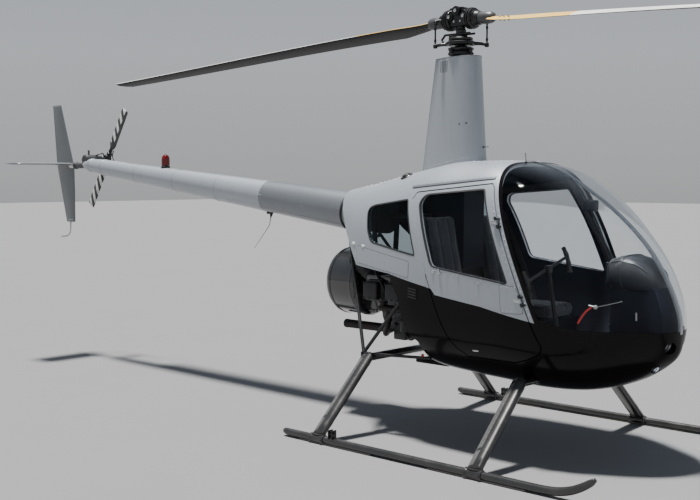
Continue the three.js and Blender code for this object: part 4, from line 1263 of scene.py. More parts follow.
    def solid(self, offset: float = 0.0) -> bpy.types.Object:
        """Return the whole body, shrunk inward by some millimetres, as a closed temporary object.

        Args:
            offset: how far each side comes in.

        Returns:
            The object.
        """
        if offset not in self.shapes:
            self.shapes[offset] = self._shape(offset)
        body = bpy.data.objects.new("tool", self.shapes[offset].copy())
        bpy.context.scene.collection.objects.link(body)
        return body

    def _shape(self, offset: float) -> bpy.types.Mesh:
        """Return the closed mesh of the whole body, shrunk inward by some millimetres.

        Args:
            offset: how far each side comes in.

        Returns:
            The mesh.
        """
        bm = bmesh.new()
        count = len(self.stations) - 1
        bmesh.ops.create_grid(bm, x_segments=count * self.between, y_segments=self.around, size=1.0)
        rows = {}
        for vert in bm.verts:
            u = round((vert.co.x + 1) / 2 * count, 5)
            if u not in rows:
                rows[u] = self.row_at(u)
            x, half, bottom, middle, top, above, below = rows[u]
            end = self.stations[-1 if x > self.middle_x else 0][0]
            reach = abs(end - self.middle_x)
            angle = math.pi * (vert.co.y + 1)
            c, s = math.cos(angle), math.sin(angle)
            power = 2 / (above if s > 0 else below)
            width = max(half - offset, half * 0.2)
            up = max(top - middle - offset, (top - middle) * 0.3)
            down = max(middle - bottom - offset, (middle - bottom) * 0.3)
            y = 0.0 if abs(c) < 1e-7 else width * math.copysign(abs(c) ** power, c)
            rise = 0.0 if abs(s) < 1e-7 else (up if s > 0 else -down) * abs(s) ** power
            vert.co = spot(x - offset * (x - self.middle_x) / reach, y, middle + rise)
        bmesh.ops.remove_doubles(bm, verts=bm.verts[:], dist=2e-5)
        bmesh.ops.holes_fill(bm, edges=[edge for edge in bm.edges if edge.is_boundary], sides=0)
        bmesh.ops.recalc_face_normals(bm, faces=bm.faces[:])
        mesh = bpy.data.meshes.new("body")
        bm.to_mesh(mesh)
        bm.free()
        return mesh

    def forget(self) -> None:
        """Remove the meshes kept for booleans."""
        for mesh in self.shapes.values():
            bpy.data.meshes.remove(mesh)
        self.shapes.clear()

    def remember(self, body: bpy.types.Object) -> None:
        """Keep the whole body's smooth normals, so that every panel cut from it can take them.

        Args:
            body: the whole body.
        """
        mesh = body.data
        self.corner_normals = [vert.normal.copy() for vert in mesh.vertices]
        self.faces = [tuple(face.vertices) for face in mesh.polygons]
        self.tree = BVHTree.FromPolygons([vert.co.copy() for vert in mesh.vertices], self.faces)
        self.places = [vert.co.copy() for vert in mesh.vertices]

    def normal_at(self, place: Vector) -> Vector:
        """Return the smooth normal of the body nearest to a place.

        Args:
            place: a point on or near the skin.

        Returns:
            The normal.
        """
        hit, _, index, _ = self.tree.find_nearest(place)
        corners = self.faces[index]
        shares = poly_3d_calc([self.places[i] for i in corners], hit)
        total = sum((self.corner_normals[i] * share for i, share in zip(corners, shares)), Vector())
        return total.normalized()

    def polish(self, mesh: bpy.types.Mesh, inner: int | None = None) -> None:
        """Give a panel the body's own smooth normals, and its inner faces another finish if one is given.

        Args:
            mesh: the panel's mesh.
            inner: the finish number of faces that face inwards.
        """
        mesh.shade_smooth()
        known = {}
        normals = [UP] * len(mesh.loops)
        for face in mesh.polygons:
            facing = None
            for corner in face.loop_indices:
                index = mesh.loops[corner].vertex_index
                if index not in known:
                    known[index] = self.normal_at(mesh.vertices[index].co)
                lean = known[index].dot(face.normal)
                facing = lean if facing is None else facing + lean
                if abs(lean) > 0.9:
                    normals[corner] = known[index] * math.copysign(1.0, lean)
                else:
                    normals[corner] = face.normal.copy()
            # Faces that face inwards take the cabin trim, whose navy tint is a painted sky reflection and whose
            # low tone is painted cabin shade.
            if inner is not None and facing / face.loop_total < -0.75:
                face.material_index = inner
        mesh.normals_split_custom_set(normals)


@dataclass
class PanelLines:
    """The lines, seen from the side, where the cabin's panels part."""

    screen_foot: tuple[float, float] = (955.0, 855.0)
    rake: float = 0.395
    sill: Outline = field(default_factory=lambda: [(205, 1005), (238, 969), (588, 925), (955, 855)])
    nose: Outline = field(default_factory=lambda: [(1160, 812), (1720, 790)])
    cowl: Outline = field(default_factory=lambda: [
        (-1100, 1800), (-858, 1499), (-743, 1331), (-677, 1256), (-560, 1104), (-185, 1073)])
    lower_rear: Outline = field(default_factory=lambda: [
        (-150, 1009), (-90, 920), (-60, 786), (-31, 685), (36, 650), (44, 604), (52, 470)])
    door_window: Outline = field(default_factory=lambda: [
        (555, 1622), (535, 1625), (110, 1590), (75, 1572), (56, 1530), (190, 1172), (206, 1150), (230, 1141),
        (765, 1074), (778, 1080)])
    rear_window: Outline = field(default_factory=lambda: [
        (-60, 1556), (-400, 1512), (-448, 1496), (-462, 1466), (-432, 1340), (-400, 1285), (-370, 1266),
        (62, 1204)])
    post: float = 25.0
    gap: float = 7.0
    fit: float = 0.3
    above: float = 2000.0
    below: float = 200.0

    def front_x(self, z: float) -> float:
        """Return X of the windscreen's rear edge at a height."""
        return self.screen_foot[0] - self.rake * (z - self.screen_foot[1])

    def door_front_x(self, z: float) -> float:
        """Return X of the door's front edge at a height."""
        return self.front_x(z) - self.post - self.gap

    @staticmethod
    def door_rear_x(z: float) -> float:
        """Return X of the door's rear edge at a height."""
        return 195 - 0.408 * (z - 990)

    def door(self) -> Outline:
        """Return the door's outline.

        Returns:
            The corners, seen from the side.
        """
        rear, front = self.door_rear_x, self.door_front_x
        return [
            (rear(700), 700), (rear(640) + 20, 640), (rear(600) + 70, 600), (front(600) - 245, 600),
            (front(627) - 150, 627), (front(668) - 40, 668), (front(712), 712), (front(1630), 1630),
            (front(1655) - 16, 1655), (20, 1600), (rear(1590) + 30, 1585), (rear(1555), 1555)]

    def door_tool(self, extra: float) -> bpy.types.Object:
        """Return the tapered block that cuts the starboard door or its opening.

        Args:
            extra: how much larger than the door it is, in millimetres.

        Returns:
            The block.
        """
        outer = grow(self.door(), extra)
        last = len(outer) - 1
        inner = [(x + (36.0 if i in (0, 1, last, last - 1) else 0.0), z) for i, (x, z) in enumerate(outer)]
        return Forge().prism(inner, -340, -640, outer).temporary()

    def lower(self) -> Outline:
        """Return the outline of the black lower body."""
        return [(-185, 1073), (83, 1027), *self.sill, *self.nose, (1720, self.below), (110, self.below),
                *reversed(self.lower_rear)]

    def upper(self) -> Outline:
        """Return the outline of the silver upper body."""
        rim = [(x, z + self.fit) for x, z in [*self.cowl, (83, 1027), *self.sill]]
        return [*rim, (self.front_x(self.above), self.above), (-1100, self.above)]

    def screen(self) -> Outline:
        """Return the outline of the windscreen.

        Returns:
            The corners, seen from the side.
        """
        foot = (self.screen_foot[0] + self.fit, self.screen_foot[1] + self.fit)
        return [foot, *[(x, z + self.fit) for x, z in self.nose], (1720, self.above),
                (self.front_x(self.above) + self.fit, self.above)]

    def paint_split(self) -> Outline:
        """Return a region above the line where the doors' two colours meet."""
        return [(-300, 1068), *self.sill, (1300, 789), (1300, self.above), (-300, self.above)]


@dataclass
class CabinShell:
    """The cabin's painted skins, doors and windows, with their rivets, seals, hinges and latches."""

    form: HullForm
    lines: PanelLines
    wall: float = 28.0
    pane: tuple[float, float] = (2.0, 8.0)
    hinges: tuple[tuple[float, float], ...] = ((980, 579), (1430, 572))
    rivet: tuple[float, float] = (4.4, 1.6)

    def _shell(self, outer: float, inner: float, keep: list[bpy.types.Object],
               cut: list[bpy.types.Object] = ()) -> bpy.types.Object:
        """Return the part of the body between two depths, inside the kept regions and outside the cut ones.

        Args:
            outer: the depth of the outer side.
            inner: the depth of the inner side.
            keep: objects that bound it.
            cut: objects taken out of it.

        Returns:
            The part, as a temporary object.
        """
        body = self.form.solid(outer)
        for tool in keep:
            carve(body, tool, Carving.KEEP)
        carve(body, self.form.solid(inner), Carving.CUT)
        for tool in cut:
            carve(body, tool, Carving.CUT)
        return body

    def _both(self, tool: bpy.types.Object) -> bpy.types.Object:
        """Add the mirror image of a starboard tool to it.

        Args:
            tool: the starboard tool, which goes.

        Returns:
            The tool for both sides.
        """
        forge = Forge()
        forge.bm.from_mesh(tool.data)
        forge.mirror_copy()
        discard(tool)
        return forge.temporary()

    def _give(self, body: bpy.types.Object, name: str, finishes: list, rides: str = AIRFRAME,
              nodes: tuple[str, ...] = (), port: bool = False, inner: int | None = None) -> bpy.types.Object:
        """Turn a temporary body into a finished piece, mirrored to port if asked.

        Args:
            body: the temporary body, which stays.
            name: the piece's name.
            finishes: the finishes.
            rides: the body that it rides on.
            nodes: the CAD nodes that it stands for.
            port: whether it is mirrored.
            inner: the finish number of faces that face inwards.

        Returns:
            The piece.
        """
        bm = bmesh.new()
        bm.from_mesh(body.data)
        bmesh.ops.remove_doubles(bm, verts=bm.verts[:], dist=3e-5)
        bmesh.ops.dissolve_degenerate(bm, edges=bm.edges[:], dist=1e-5)
        if port:
            bmesh.ops.scale(bm, vec=(1, -1, 1), verts=bm.verts[:])
            bmesh.ops.reverse_faces(bm, faces=bm.faces[:])
        mesh = bpy.data.meshes.new(name)
        bm.to_mesh(mesh)
        bm.free()
        self.form.polish(mesh, inner)
        return hand_over(mesh, name, finishes, rides, nodes, sharp=None)

    def build(self) -> None:
        """Build everything on the skin."""
        whole = self.form.solid()
        self.form.remember(whole)
        discard(whole)
        self._bodies()
        self._doors()
        self._windows()
        self._nose_cover()
        self._plates()
        self._rivets()
        self._hardware()
        self.form.forget()

    def _bodies(self) -> None:
        """Build the black lower body and the silver upper body."""
        lines = self.lines
        door = self._both(lines.door_tool(lines.gap))
        lower = self._shell(0, self.wall, [cutter(lines.lower(), -700, 700)])
        carve(lower, door, Carving.CUT, keep=True)
        for y in (-78, 78):
            socket = Forge().rod(spot(1480, y, 752), spot(1640, y, 692), 0.0363, 40).temporary()
            carve(lower, socket, Carving.CUT)
        self._give(lower, "lower_skin", [BLACK, TRIM_WITH_PAINTED_SKY_AND_SHADE], nodes=("lower_body",), inner=1)
        discard(lower)
        rear = self._both(cutter(fillet(lines.rear_window, 16), -250, -700))
        cone = Forge().turned(spot(-820, 0, 1436), spot(-4070, 0, 1784) - spot(-820, 0, 1436), [
            (0, 0), (0, 144.6), (900, 124.7), (900, 0)]).temporary()
        mast = Forge().rod(spot(0, 0, 1600), spot(0, 0, 1900), 0.0405, 40).temporary()
        upper = self._shell(0, self.wall, [cutter(lines.upper(), -700, 700)],
                            [door, rear, cone, mast])
        self._give(upper, "upper_skin", [SILVER, TRIM_WITH_PAINTED_SKY_AND_SHADE], nodes=("upper_body",), inner=1)
        discard(upper)

    def _doors(self) -> None:
        """Build each door as a silver upper skin and a black lower one, and the seal around each opening."""
        lines = self.lines
        window = cutter(fillet(lines.door_window, 22), -300, -700)
        door = self._shell(0, self.wall, [lines.door_tool(0)], [window])
        split = cutter(lines.paint_split(), -300, -700)
        low = bpy.data.objects.new("low", door.data.copy())
        bpy.context.scene.collection.objects.link(low)
        carve(door, split, Carving.KEEP, keep=True)
        carve(low, split, Carving.CUT)
        for side, word in SIDES:
            port = side > 0
            self._give(door, f"door_{word}_silver", [SILVER, TRIM_WITH_PAINTED_SKY_AND_SHADE], f"door_{word}",
                       (f"door_{word}",), port, inner=1)
            self._give(low, f"door_{word}_black", [BLACK, TRIM_WITH_PAINTED_SKY_AND_SHADE], f"door_{word}", (), port,
                       inner=1)
        discard(door)
        discard(low)
        outline = lines.door()
        seal = self._shell(self.wall + 1.6, self.wall + 6, [cutter(grow(outline, 24), -300, -700)],
                           [cutter(grow(outline, -16), -250, -750)])
        for side, word in SIDES:
            self._give(seal, f"door_jamb_seal_{word}", [RUBBER], port=side > 0)
        discard(seal)

    def _windows(self) -> None:
        """Build the panes, the rubber around them and the windscreen's centre strip."""
        lines, (outer, inner) = self.lines, self.pane
        holes = {
            "door": (fillet(lines.door_window, 22), DOOR_PANE, "door_glass_{}", "door_{}"),
            "rear": (fillet(lines.rear_window, 16), REAR_PANE, "rear_window_{}", AIRFRAME),
        }
        for key, (outline, glazing, node, rides) in holes.items():
            pane = self._shell(outer, inner, [cutter(grow(outline, -0.3))])
            seal = self._shell(-1.2, 11, [cutter(grow(outline, 5.0))], [cutter(grow(outline, -5.0), -150, -750)])
            for side, word in SIDES:
                self._give(pane, f"{key}_pane_{word}", [glazing], rides.format(word),
                           (node.format(word),), side > 0)
                self._give(seal, f"{key}_seal_{word}", [RUBBER], rides.format(word), (),
                           side > 0)
            discard(pane)
            discard(seal)
        screen = lines.screen()
        pane = self._shell(outer, inner, [cutter(screen, -14.3, -700)])
        inset = [(x + 22, z) if i in (0, len(screen) - 1) else (x, z) for i, (x, z) in enumerate(screen)]
        raised = [(x, z + 16) if i < 3 else (x, z) for i, (x, z) in enumerate(inset)]
        retainer = self._shell(0.4, 1.9, [cutter(screen, -14.3, -700)], [cutter(raised, -10, -750)])
        for side, word in SIDES:
            self._give(pane, f"windscreen_pane_{word}", [CLEAR_SCREEN],
                       nodes=(f"windscreen_{word}",), port=side > 0)
            self._give(retainer, f"windscreen_retainer_{word}", [BLACK], port=side > 0)
        discard(pane)
        discard(retainer)
        strip = self._shell(-3, 12, [cutter(screen, -14, 14)])
        self._give(strip, "windscreen_centre_strip", [SILVER], nodes=("windscreen_strip",))
        discard(strip)

    def _nose_cover(self) -> None:
        """Fit the console's front cover, which follows the windscreen down to the nose."""
        side = fillet([(1436, 770), (1700, 770), (1700, 985), (1436, 1066)], 10)
        cover = self.form.solid(30)
        carve(cover, cutter(side, -112, 112), Carving.KEEP)
        self._give(cover, "console_front_cover", [TRIM_WITH_PAINTED_SKY_AND_SHADE])
        discard(cover)

    def _plate(self, outline: Outline, name: str, finish: Finish, lift: float = 1.0,
               rides: str = AIRFRAME) -> None:
        """Lay a thin plate with the skin's own curve on each side, with its outline seen from the side.

        Args:
            outline: its outline, seen from the side.
            name: the piece's name, before the side's word.
            finish: its finish.
            lift: its thickness.
            rides: the body that it rides on.
        """
        plate = self._shell(-lift, 0.0, [cutter(outline)])
        for side, word in SIDES:
            self._give(plate, f"{name}_{word}", [finish], rides.format(word), (), side > 0)
        discard(plate)

    def _plates(self) -> None:
        """Lay the access panels, lap joints, roof gutter and vent on the skin."""
        hatch = fillet([(727, 1069), (838, 1058), (893, 905), (742, 900)], 26, 6)
        self._plate(grow(hatch, 2.4), "door_lap_seam", RUBBER, 0.4, "door_{}")
        self._plate(hatch, "door_lap", SILVER, 0.9, "door_{}")
        cowl_door = fillet([(-548, 1238), (10, 1164), (8, 1060), (-180, 1086), (-552, 1124)], 14)
        self._plate(grow(cowl_door, 2.4), "cowl_door_seam", RUBBER, 0.4)
        self._plate(cowl_door, "cowl_door", SILVER, 1.0)
        rear_post = [(24, 1560), (60, 1560), (215, 1150), (228, 1020), (196, 1020), (150, 1135)]
        self._plate([(x - 62, z) for x, z in rear_post], "post_lap", SILVER, 0.8)
        gutter = [(-60, 1642), (595, 1702), (598, 1690), (-58, 1630)]
        self._plate(gutter, "roof_gutter", SMOKED_SILVER, 5.0)
        vent = fillet([(-2, 1016), (88, 1006), (94, 924), (4, 934)], 8)
        self._plate(vent, "vent_frame", BLACK, 1.6)
        for number, z in enumerate((1000, 982, 964, 946)):
            slot = fillet([(10, z), (82, z - 9), (82, z - 17), (10, z - 8)], 3, 2)
            self._plate(slot, f"vent_slot_{number}", DARK_STEEL, 3.6)

    def _row(self, forge: Forge, path: Outline, pitch: float, side: int, lift: float = 0.4) -> None:
        """Set rivets along a path seen from the side.

        Args:
            forge: what collects the rivets.
            path: the path's points.
            pitch: the step between two.
            side: -1 starboard, 1 port.
            lift: how far their feet stand off the skin.
        """
        for (x0, z0), (x1, z1) in zip(path, path[1:]):
            count = max(1, round(math.hypot(x1 - x0, z1 - z0) / pitch))
            for k in range(count):
                t = k / count
                at, out = self.form.at(x0 + (x1 - x0) * t, z0 + (z1 - z0) * t, side, lift)
                forge.dome(at, out, *self.rivet)

    def _rivets(self) -> None:
        """Set the rows of rivets on the bodies and the doors."""
        lines = self.lines
        front = [(lines.front_x(z) - 12, z) for z in (900, 1100, 1300, 1500, 1650)]
        behind = [(-1, 1520), (157, 1131)]
        upper = Forge()
        lower = Forge()
        for side, _ in SIDES:
            self._row(upper, front, 38, side)
            self._row(upper, behind, 34, side)
            self._row(upper, [(x - 24, z) for x, z in behind], 34, side)
            self._row(upper, [(-545, 1116), (-185, 1088), (70, 1044)], 36, side)
            self._row(upper, [(-62, 1650), (590, 1710)], 42, side)
            self._row(upper, [(-835, 1490), (-725, 1330), (-660, 1256), (-560, 1125)], 30, side)
            self._row(lower, [(-135, 1000), (-75, 915), (-45, 785), (-15, 690)], 32, side)
            self._row(lower, [(975, 835), (1160, 795), (1480, 783)], 40, side)
            self._row(lower, [(140, 935), (205, 790)], 36, side)
        for x in range(-700, 560, 42):
            for y in (-150, 150):
                if abs(x) > 260 or x > 200:
                    upper.dome(*self.form.roof(x, y, 0.4), *self.rivet)
        upper.piece("upper_rivets", [SILVER], "silver_paint", outward=False)
        lower.piece("lower_rivets", [BLACK], "black_paint", outward=False)
        for side, word in SIDES:
            door = Forge()
            edge = [(lines.door_front_x(z) - 14, z) for z in (905, 1200, 1600)]
            self._row(door, edge, 40, side)
            self._row(door, [(lines.door_rear_x(z) + 16, z) for z in (1540, 1060)], 40, side)
            self._row(door, [(240, 1120), (700, 1062)], 52, side)
            self._row(door, [(742, 1052), (815, 1046)], 30, side, 1.2)
            self._row(door, [(756, 912), (872, 914)], 30, side, 1.2)
            door.piece(f"door_rivets_{word}", [SILVER], "silver_paint", f"door_{word}", outward=False)

    def _hinge_point(self, number: int, side: int) -> Vector:
        """Return the middle of one hinge's pin."""
        z, y = self.hinges[number]
        return spot(self.lines.front_x(z) - self.lines.post - self.lines.gap / 2, side * y, z)

    def _hardware(self) -> None:
        """Fit the hinges, latches, handles, cap, pins and the probe with its ribbon."""
        post = Forge()
        for side, word in SIDES:
            pins = [self._hinge_point(i, side) for i in (0, 1)]
            axis = (pins[1] - pins[0]).normalized()
            leaf = Forge()
            for pin, (z, _) in zip(pins, self.hinges):
                leaf.rod(pin - axis * 0.014, pin + axis * 0.014, 0.0085, 20)
                root, out = self.form.at(self.lines.front_x(z) - 66, z, side)
                leaf.block(root - Vector((0.012, 0.004, 0.011)), root + Vector((0.030, 0.004, 0.011)), 1.5)
                leaf.block(Vector((root.x + 0.01, min(root.y, pin.y) - 0.001, pin.z - 0.008)),
                           Vector((pin.x, max(root.y, pin.y) + 0.001, pin.z + 0.008)), 1.0)
                for rise in (-0.0065, 0.0065):
                    leaf.dome(root + Vector((-0.004, side * 0.0042, rise)), out, 2.6, 1.6)
                for way in (-1, 1):
                    start, end = pin + axis * way * 0.0145, pin + axis * way * 0.034
                    post.rod(start, end, 0.0085, 20)
                    post.rod(end, end + axis * way * 0.003, 0.0055, 14)
                    middle = (start + end) / 2
                    skin, _ = self.form.at((middle.x - MAST_X) / MM + 14, middle.z / MM, side)
                    low = Vector((middle.x + 0.002, min(skin.y, pin.y) - 0.001, middle.z - 0.005))
                    high = Vector((middle.x + 0.019, max(skin.y, pin.y) + 0.001, middle.z + 0.005))
                    post.block(low, high, 1.0)
            latch, out = self.form.at(272, 1120, side, 1.0)
            turn = basis(out, AHEAD)
            for low, high in (((-0.006, -0.016, 0), (0.006, 0.016, 0.006)),
                              ((-0.006, -0.016, 0.004), (0.020, -0.006, 0.010))):
                size_low, size_high = Vector(low), Vector(high)
                middle = latch + turn.to_3x3() @ ((size_low + size_high) / 2)
                half = (size_high - size_low) / 2
                leaf.block(middle - half, middle + half, 1.5, 2, turn)
            lock, out = self.form.at(223, 1111, side, 0.0)
            leaf.turned(lock, out, [(0, 0), (0, 11), (3, 11), (4.5, 9.5), (4.5, 5), (3.5, 4.5), (3.5, 0)], 28)
            for x, z in ((422, 1105), (574, 1067)):
                at, out = self.form.at(x, z, side, 0.0)
                leaf.turned(at, out, [(0, 0), (0, 9), (3, 8), (5, 5), (5.5, 0)], 24)
            leaf.piece(f"door_fittings_{word}", [BRIGHT_STEEL], "dark_steel", f"door_{word}")
        post.piece("hinge_posts", [DARK_STEEL], "dark_steel")
        fittings = Forge()
        for side, _ in SIDES:
            for x, z, half, tall in ((-596, 1247, 20, 9), (-473, 1236, 17, 8)):
                at, out = self.form.at(x, z, side, 1.0)
                turn = basis(out, Vector((1, 0, -0.12)))
                size = Vector((half, tall, 3)) * MM
                fittings.block(at - size, at + size, 2.5, 3, turn)
        fittings.piece("cowl_catches", [WHITE_PLASTIC], "silver_paint")
        roof = Forge()
        at, out = self.form.roof(-245, -262)
        roof.turned(at - out * 0.002, out,
                    [(0, 0), (0, 44), (5, 44), (8, 40), (8, 30), (15, 28), (19, 22), (20, 0)], 40)
        at, out = self.form.roof(603, -120)
        roof.rod(at, at + Vector((-0.006, 0, 0.058)), 0.0022, 12)
        roof.turned(at, out, [(0, 0), (0, 9), (4, 8), (6, 3.5), (6, 0)], 20)
        roof.piece("roof_cap_and_pin", [DARK_STEEL], "dark_steel")
        drain = Forge()
        at, out = self.form.at(511, 645, -1)
        half = Vector((0.021, 0.004, 0.0075))
        drain.block(at - half, at + half, 2.0, 2, basis(out, AHEAD))
        drain.piece("side_vent_fitting", [WHITE_PLASTIC], "black_paint")
        self._probe()

    def _probe(self) -> None:
        """Fit the air probe on the starboard screen, with its ribbon, and the small post beside it."""
        probe, ribbon = Forge(), Forge()
        foot, out = self.form.at(1268, 962, -1, -2.0)
        probe.turned(foot, out, [(0, 0), (0, 12), (3, 12), (5, 9), (9, 8), (9, 0)], 28)
        probe.tube(smooth_path([foot + out * 0.006, foot + out * 0.026,
                                foot + out * 0.032 + Vector((-0.016, 0, 0.006)),
                                foot + out * 0.030 + Vector((-0.040, -0.006, 0.010))], 4), 0.0034, 14)
        line_end, line_out = self.form.at(1388, 997, -1, 3.0)
        probe.tube(smooth_path([foot + out * 0.010, (foot + line_end) / 2 + out * 0.012, line_end], 5),
                   0.0011, 8)
        probe.rod(line_end - line_out * 0.004, line_end + line_out * 0.003, 0.0035, 12)
        post, post_out = self.form.at(1454, 935, -1, -1.0)
        down, _ = self.form.at(1456, 890, -1, 1.0)
        probe.tube([post + post_out * 0.004, down + post_out * 0.002], 0.0045, 12)
        probe.piece("air_probe", [PROBE_GREY], "silver_paint")
        path = []
        for k in range(9):
            t = k / 8
            at, _ = self.form.at(1250 - 66 * t, 962 - 96 * t + 14 * math.sin(math.pi * t), -1, 5.0)
            path.append(at)
        out = self.form.at(1220, 920, -1)[1]
        length = ribbon.strap(smooth_path(path, 3), 0.0106, 0.0010, (path[-1] - path[0]).cross(out))
        tail = ribbon.piece("probe_ribbon", [RED_RIBBON], "red_lens")


# Fairing, rotors and tail


def foil(t: float) -> float:
    """Return the half thickness of a symmetric section at a share of its chord, at most about one."""
    bulge = 0.2969 * math.sqrt(t) - 0.126 * t - 0.3516 * t ** 2 + 0.2843 * t ** 3 - 0.1036 * t ** 4
    return max(10 * bulge, 0.0)


def foil_shares(count: int) -> list[tuple[float, float]]:
    """Return rows of chord share and signed half thickness once around a section, from the leading edge.

    Args:
        count: how many rows each side has.

    Returns:
        The rows, once around.
    """
    upper = []
    for i in range(count + 1):
        t = (1 - math.cos(math.pi * i / count)) / 2
        upper.append((t, foil(t)))
    upper[-1] = (1.0, 0.02)
    return upper + [(t, -y) for t, y in reversed(upper[1:])]


@dataclass
class MastAndFairing:
    """The streamlined cover around the mast, the mast and the fixed plate under the rotor's controls."""

    form: HullForm
    rows: tuple[Row, ...] = ((1620, 200, -330, 113), (1790, 195, -312, 109), (2140, 173, -262, 97),
                             (2490, 152, -210, 84))
    wall: float = 4.0
    slots: tuple[float, ...] = (-136, -118, -100, -82, -64)
    slot_heights: tuple[float, float] = (2392, 2470)

    def section(self, z: float) -> tuple[float, float, float]:
        """Return front X, rear X and half width at a height."""
        table = np.array(self.rows, float)
        return tuple(float(np.interp(z, table[:, 0], table[:, k])) for k in (1, 2, 3))

    def side(self, x: float, z: float) -> float:
        """Return the half width at one place."""
        front, rear, half = self.section(z)
        return half * foil(min(max((front - x) / (front - rear), 0.0), 1.0))

    def build(self) -> None:
        """Build the cover and what stands in it."""
        cover = self._column(0.0, 1620, 2490)
        carve(cover, self.form.solid(-0.4), Carving.CUT)
        carve(cover, self._column(self.wall, 1600, 2500), Carving.CUT)
        low, high = self.slot_heights
        cuts = Forge()
        for x in self.slots:
            cuts.block(spot(x - 3.6, -130, low), spot(x + 3.6, 130, high), 3.0, 3)
        for x, z in ((64, 2045), (113, 2050)):
            cuts.rod(spot(x, -130, z), spot(x, -60, z), 5.5 * MM, 16)
        carve(cover, cuts.temporary(), Carving.CUT)
        skin = Forge()
        skin.bm.from_mesh(cover.data)
        discard(cover)
        bmesh.ops.remove_doubles(skin.bm, verts=skin.bm.verts[:], dist=2e-5)
        skin.piece("mast_cover", [SILVER], "silver_paint", nodes=("mast_fairing",), sharp=30, outward=False)
        self._trim()
        mast = Forge()
        mast.turned(spot(0, 0, 1690), UP,
                    [(0, 0), (0, 40), (800, 40), (806, 46), (810, 74), (814, 82), (824, 84), (834, 80),
                     (838, 72), (842, 80), (850, 86), (858, 86), (862, 80), (864, 44), (874, 40), (876, 24),
                     (876, 0)], 64)
        for c, s in around(10, 20):
            out = Vector((c, s, 0))
            mast.bolt(spot(0, 0, 2512) + out * 0.0835, out, 4.6, 4)
            mast.bolt(spot(0, 0, 2552) + out * 0.066, UP, 4.2, 4)
        for x, y in ((-84, 22), (86, -12), (-18, -84)):
            mast.tube([spot(x * 0.72, y * 0.72, 2420), spot(x * 0.82, y * 0.82, 2488), spot(x, y, 2528)],
                      0.0080, 14)
            mast.turned(spot(x, y, 2513), UP, [(0, 0), (0, 11), (6, 14), (24, 14), (30, 11), (30, 0)], 20)
        mast.piece("mast_tube", [DARK_STEEL], "dark_steel", nodes=("mast",))

    def _column(self, inset: float, low: float, high: float) -> bpy.types.Object:
        """Return a solid of the cover's section between two heights, pulled in by a wall's thickness.

        Args:
            inset: the wall's thickness.
            low: the lower height.
            high: the upper height.

        Returns:
            The solid, as a temporary object.
        """
        forge = Forge()
        rings = []
        for z in np.linspace(low, high, 23):
            front, rear, half = self.section(z)
            nose, tail, wide = front - inset, rear + 5 * inset, half - inset
            rings.append([spot(nose - (nose - tail) * t, wide * y, z) for t, y in foil_shares(30)])
        forge.loft(rings)
        return forge.temporary()

    def _trim(self) -> None:
        """Rivet the cover, and fit its top rim and pin."""
        rivets = Forge()
        for side in (-1, 1):
            for x in np.linspace(-290, 178, 20):
                z = self.form.crown(x, 95) + 24
                y = self.side(x, z)
                rivets.dome(spot(x, side * (y + 0.4), z), Vector((0, side, 0.1)), 3.2, 1.2)
            for z in np.linspace(1800, 2470, 21):
                front, rear, _ = self.section(z)
                x = rear + 0.075 * (front - rear)
                rivets.dome(spot(x, side * (self.side(x, z) + 0.3), z), Vector((-0.35, side, 0)), 2.6, 1.0)
            for x in np.linspace(-190, 140, 13):
                y = self.side(x, 2478)
                rivets.dome(spot(x, side * (y + 0.4), 2478), Vector((0.1, side, 0)), 2.6, 1.0)
        rivets.piece("cover_rivets", [SILVER], "silver_paint", outward=False)
        rim = Forge()
        front, rear, half = self.section(2490)
        ring = [spot(front - (front - rear) * t, (half - 1.5) * y, 2490) for t, y in foil_shares(30)]
        rim.loop_tube(ring, 0.0026, 8)
        rim.piece("cover_rim", [SMOKED_SILVER], "silver_paint")
        pin = Forge()
        z = 1894
        front, _, _ = self.section(z)
        pin.rod(spot(front - 4, 0, z), spot(front + 42, 0, z + 1), 0.0022, 10)
        pin.turned(spot(front - 2, 0, z), AHEAD, [(0, 0), (0, 7), (3, 7), (5, 3), (5, 0)], 18)
        pin.piece("cover_pin", [DARK_STEEL], "dark_steel")


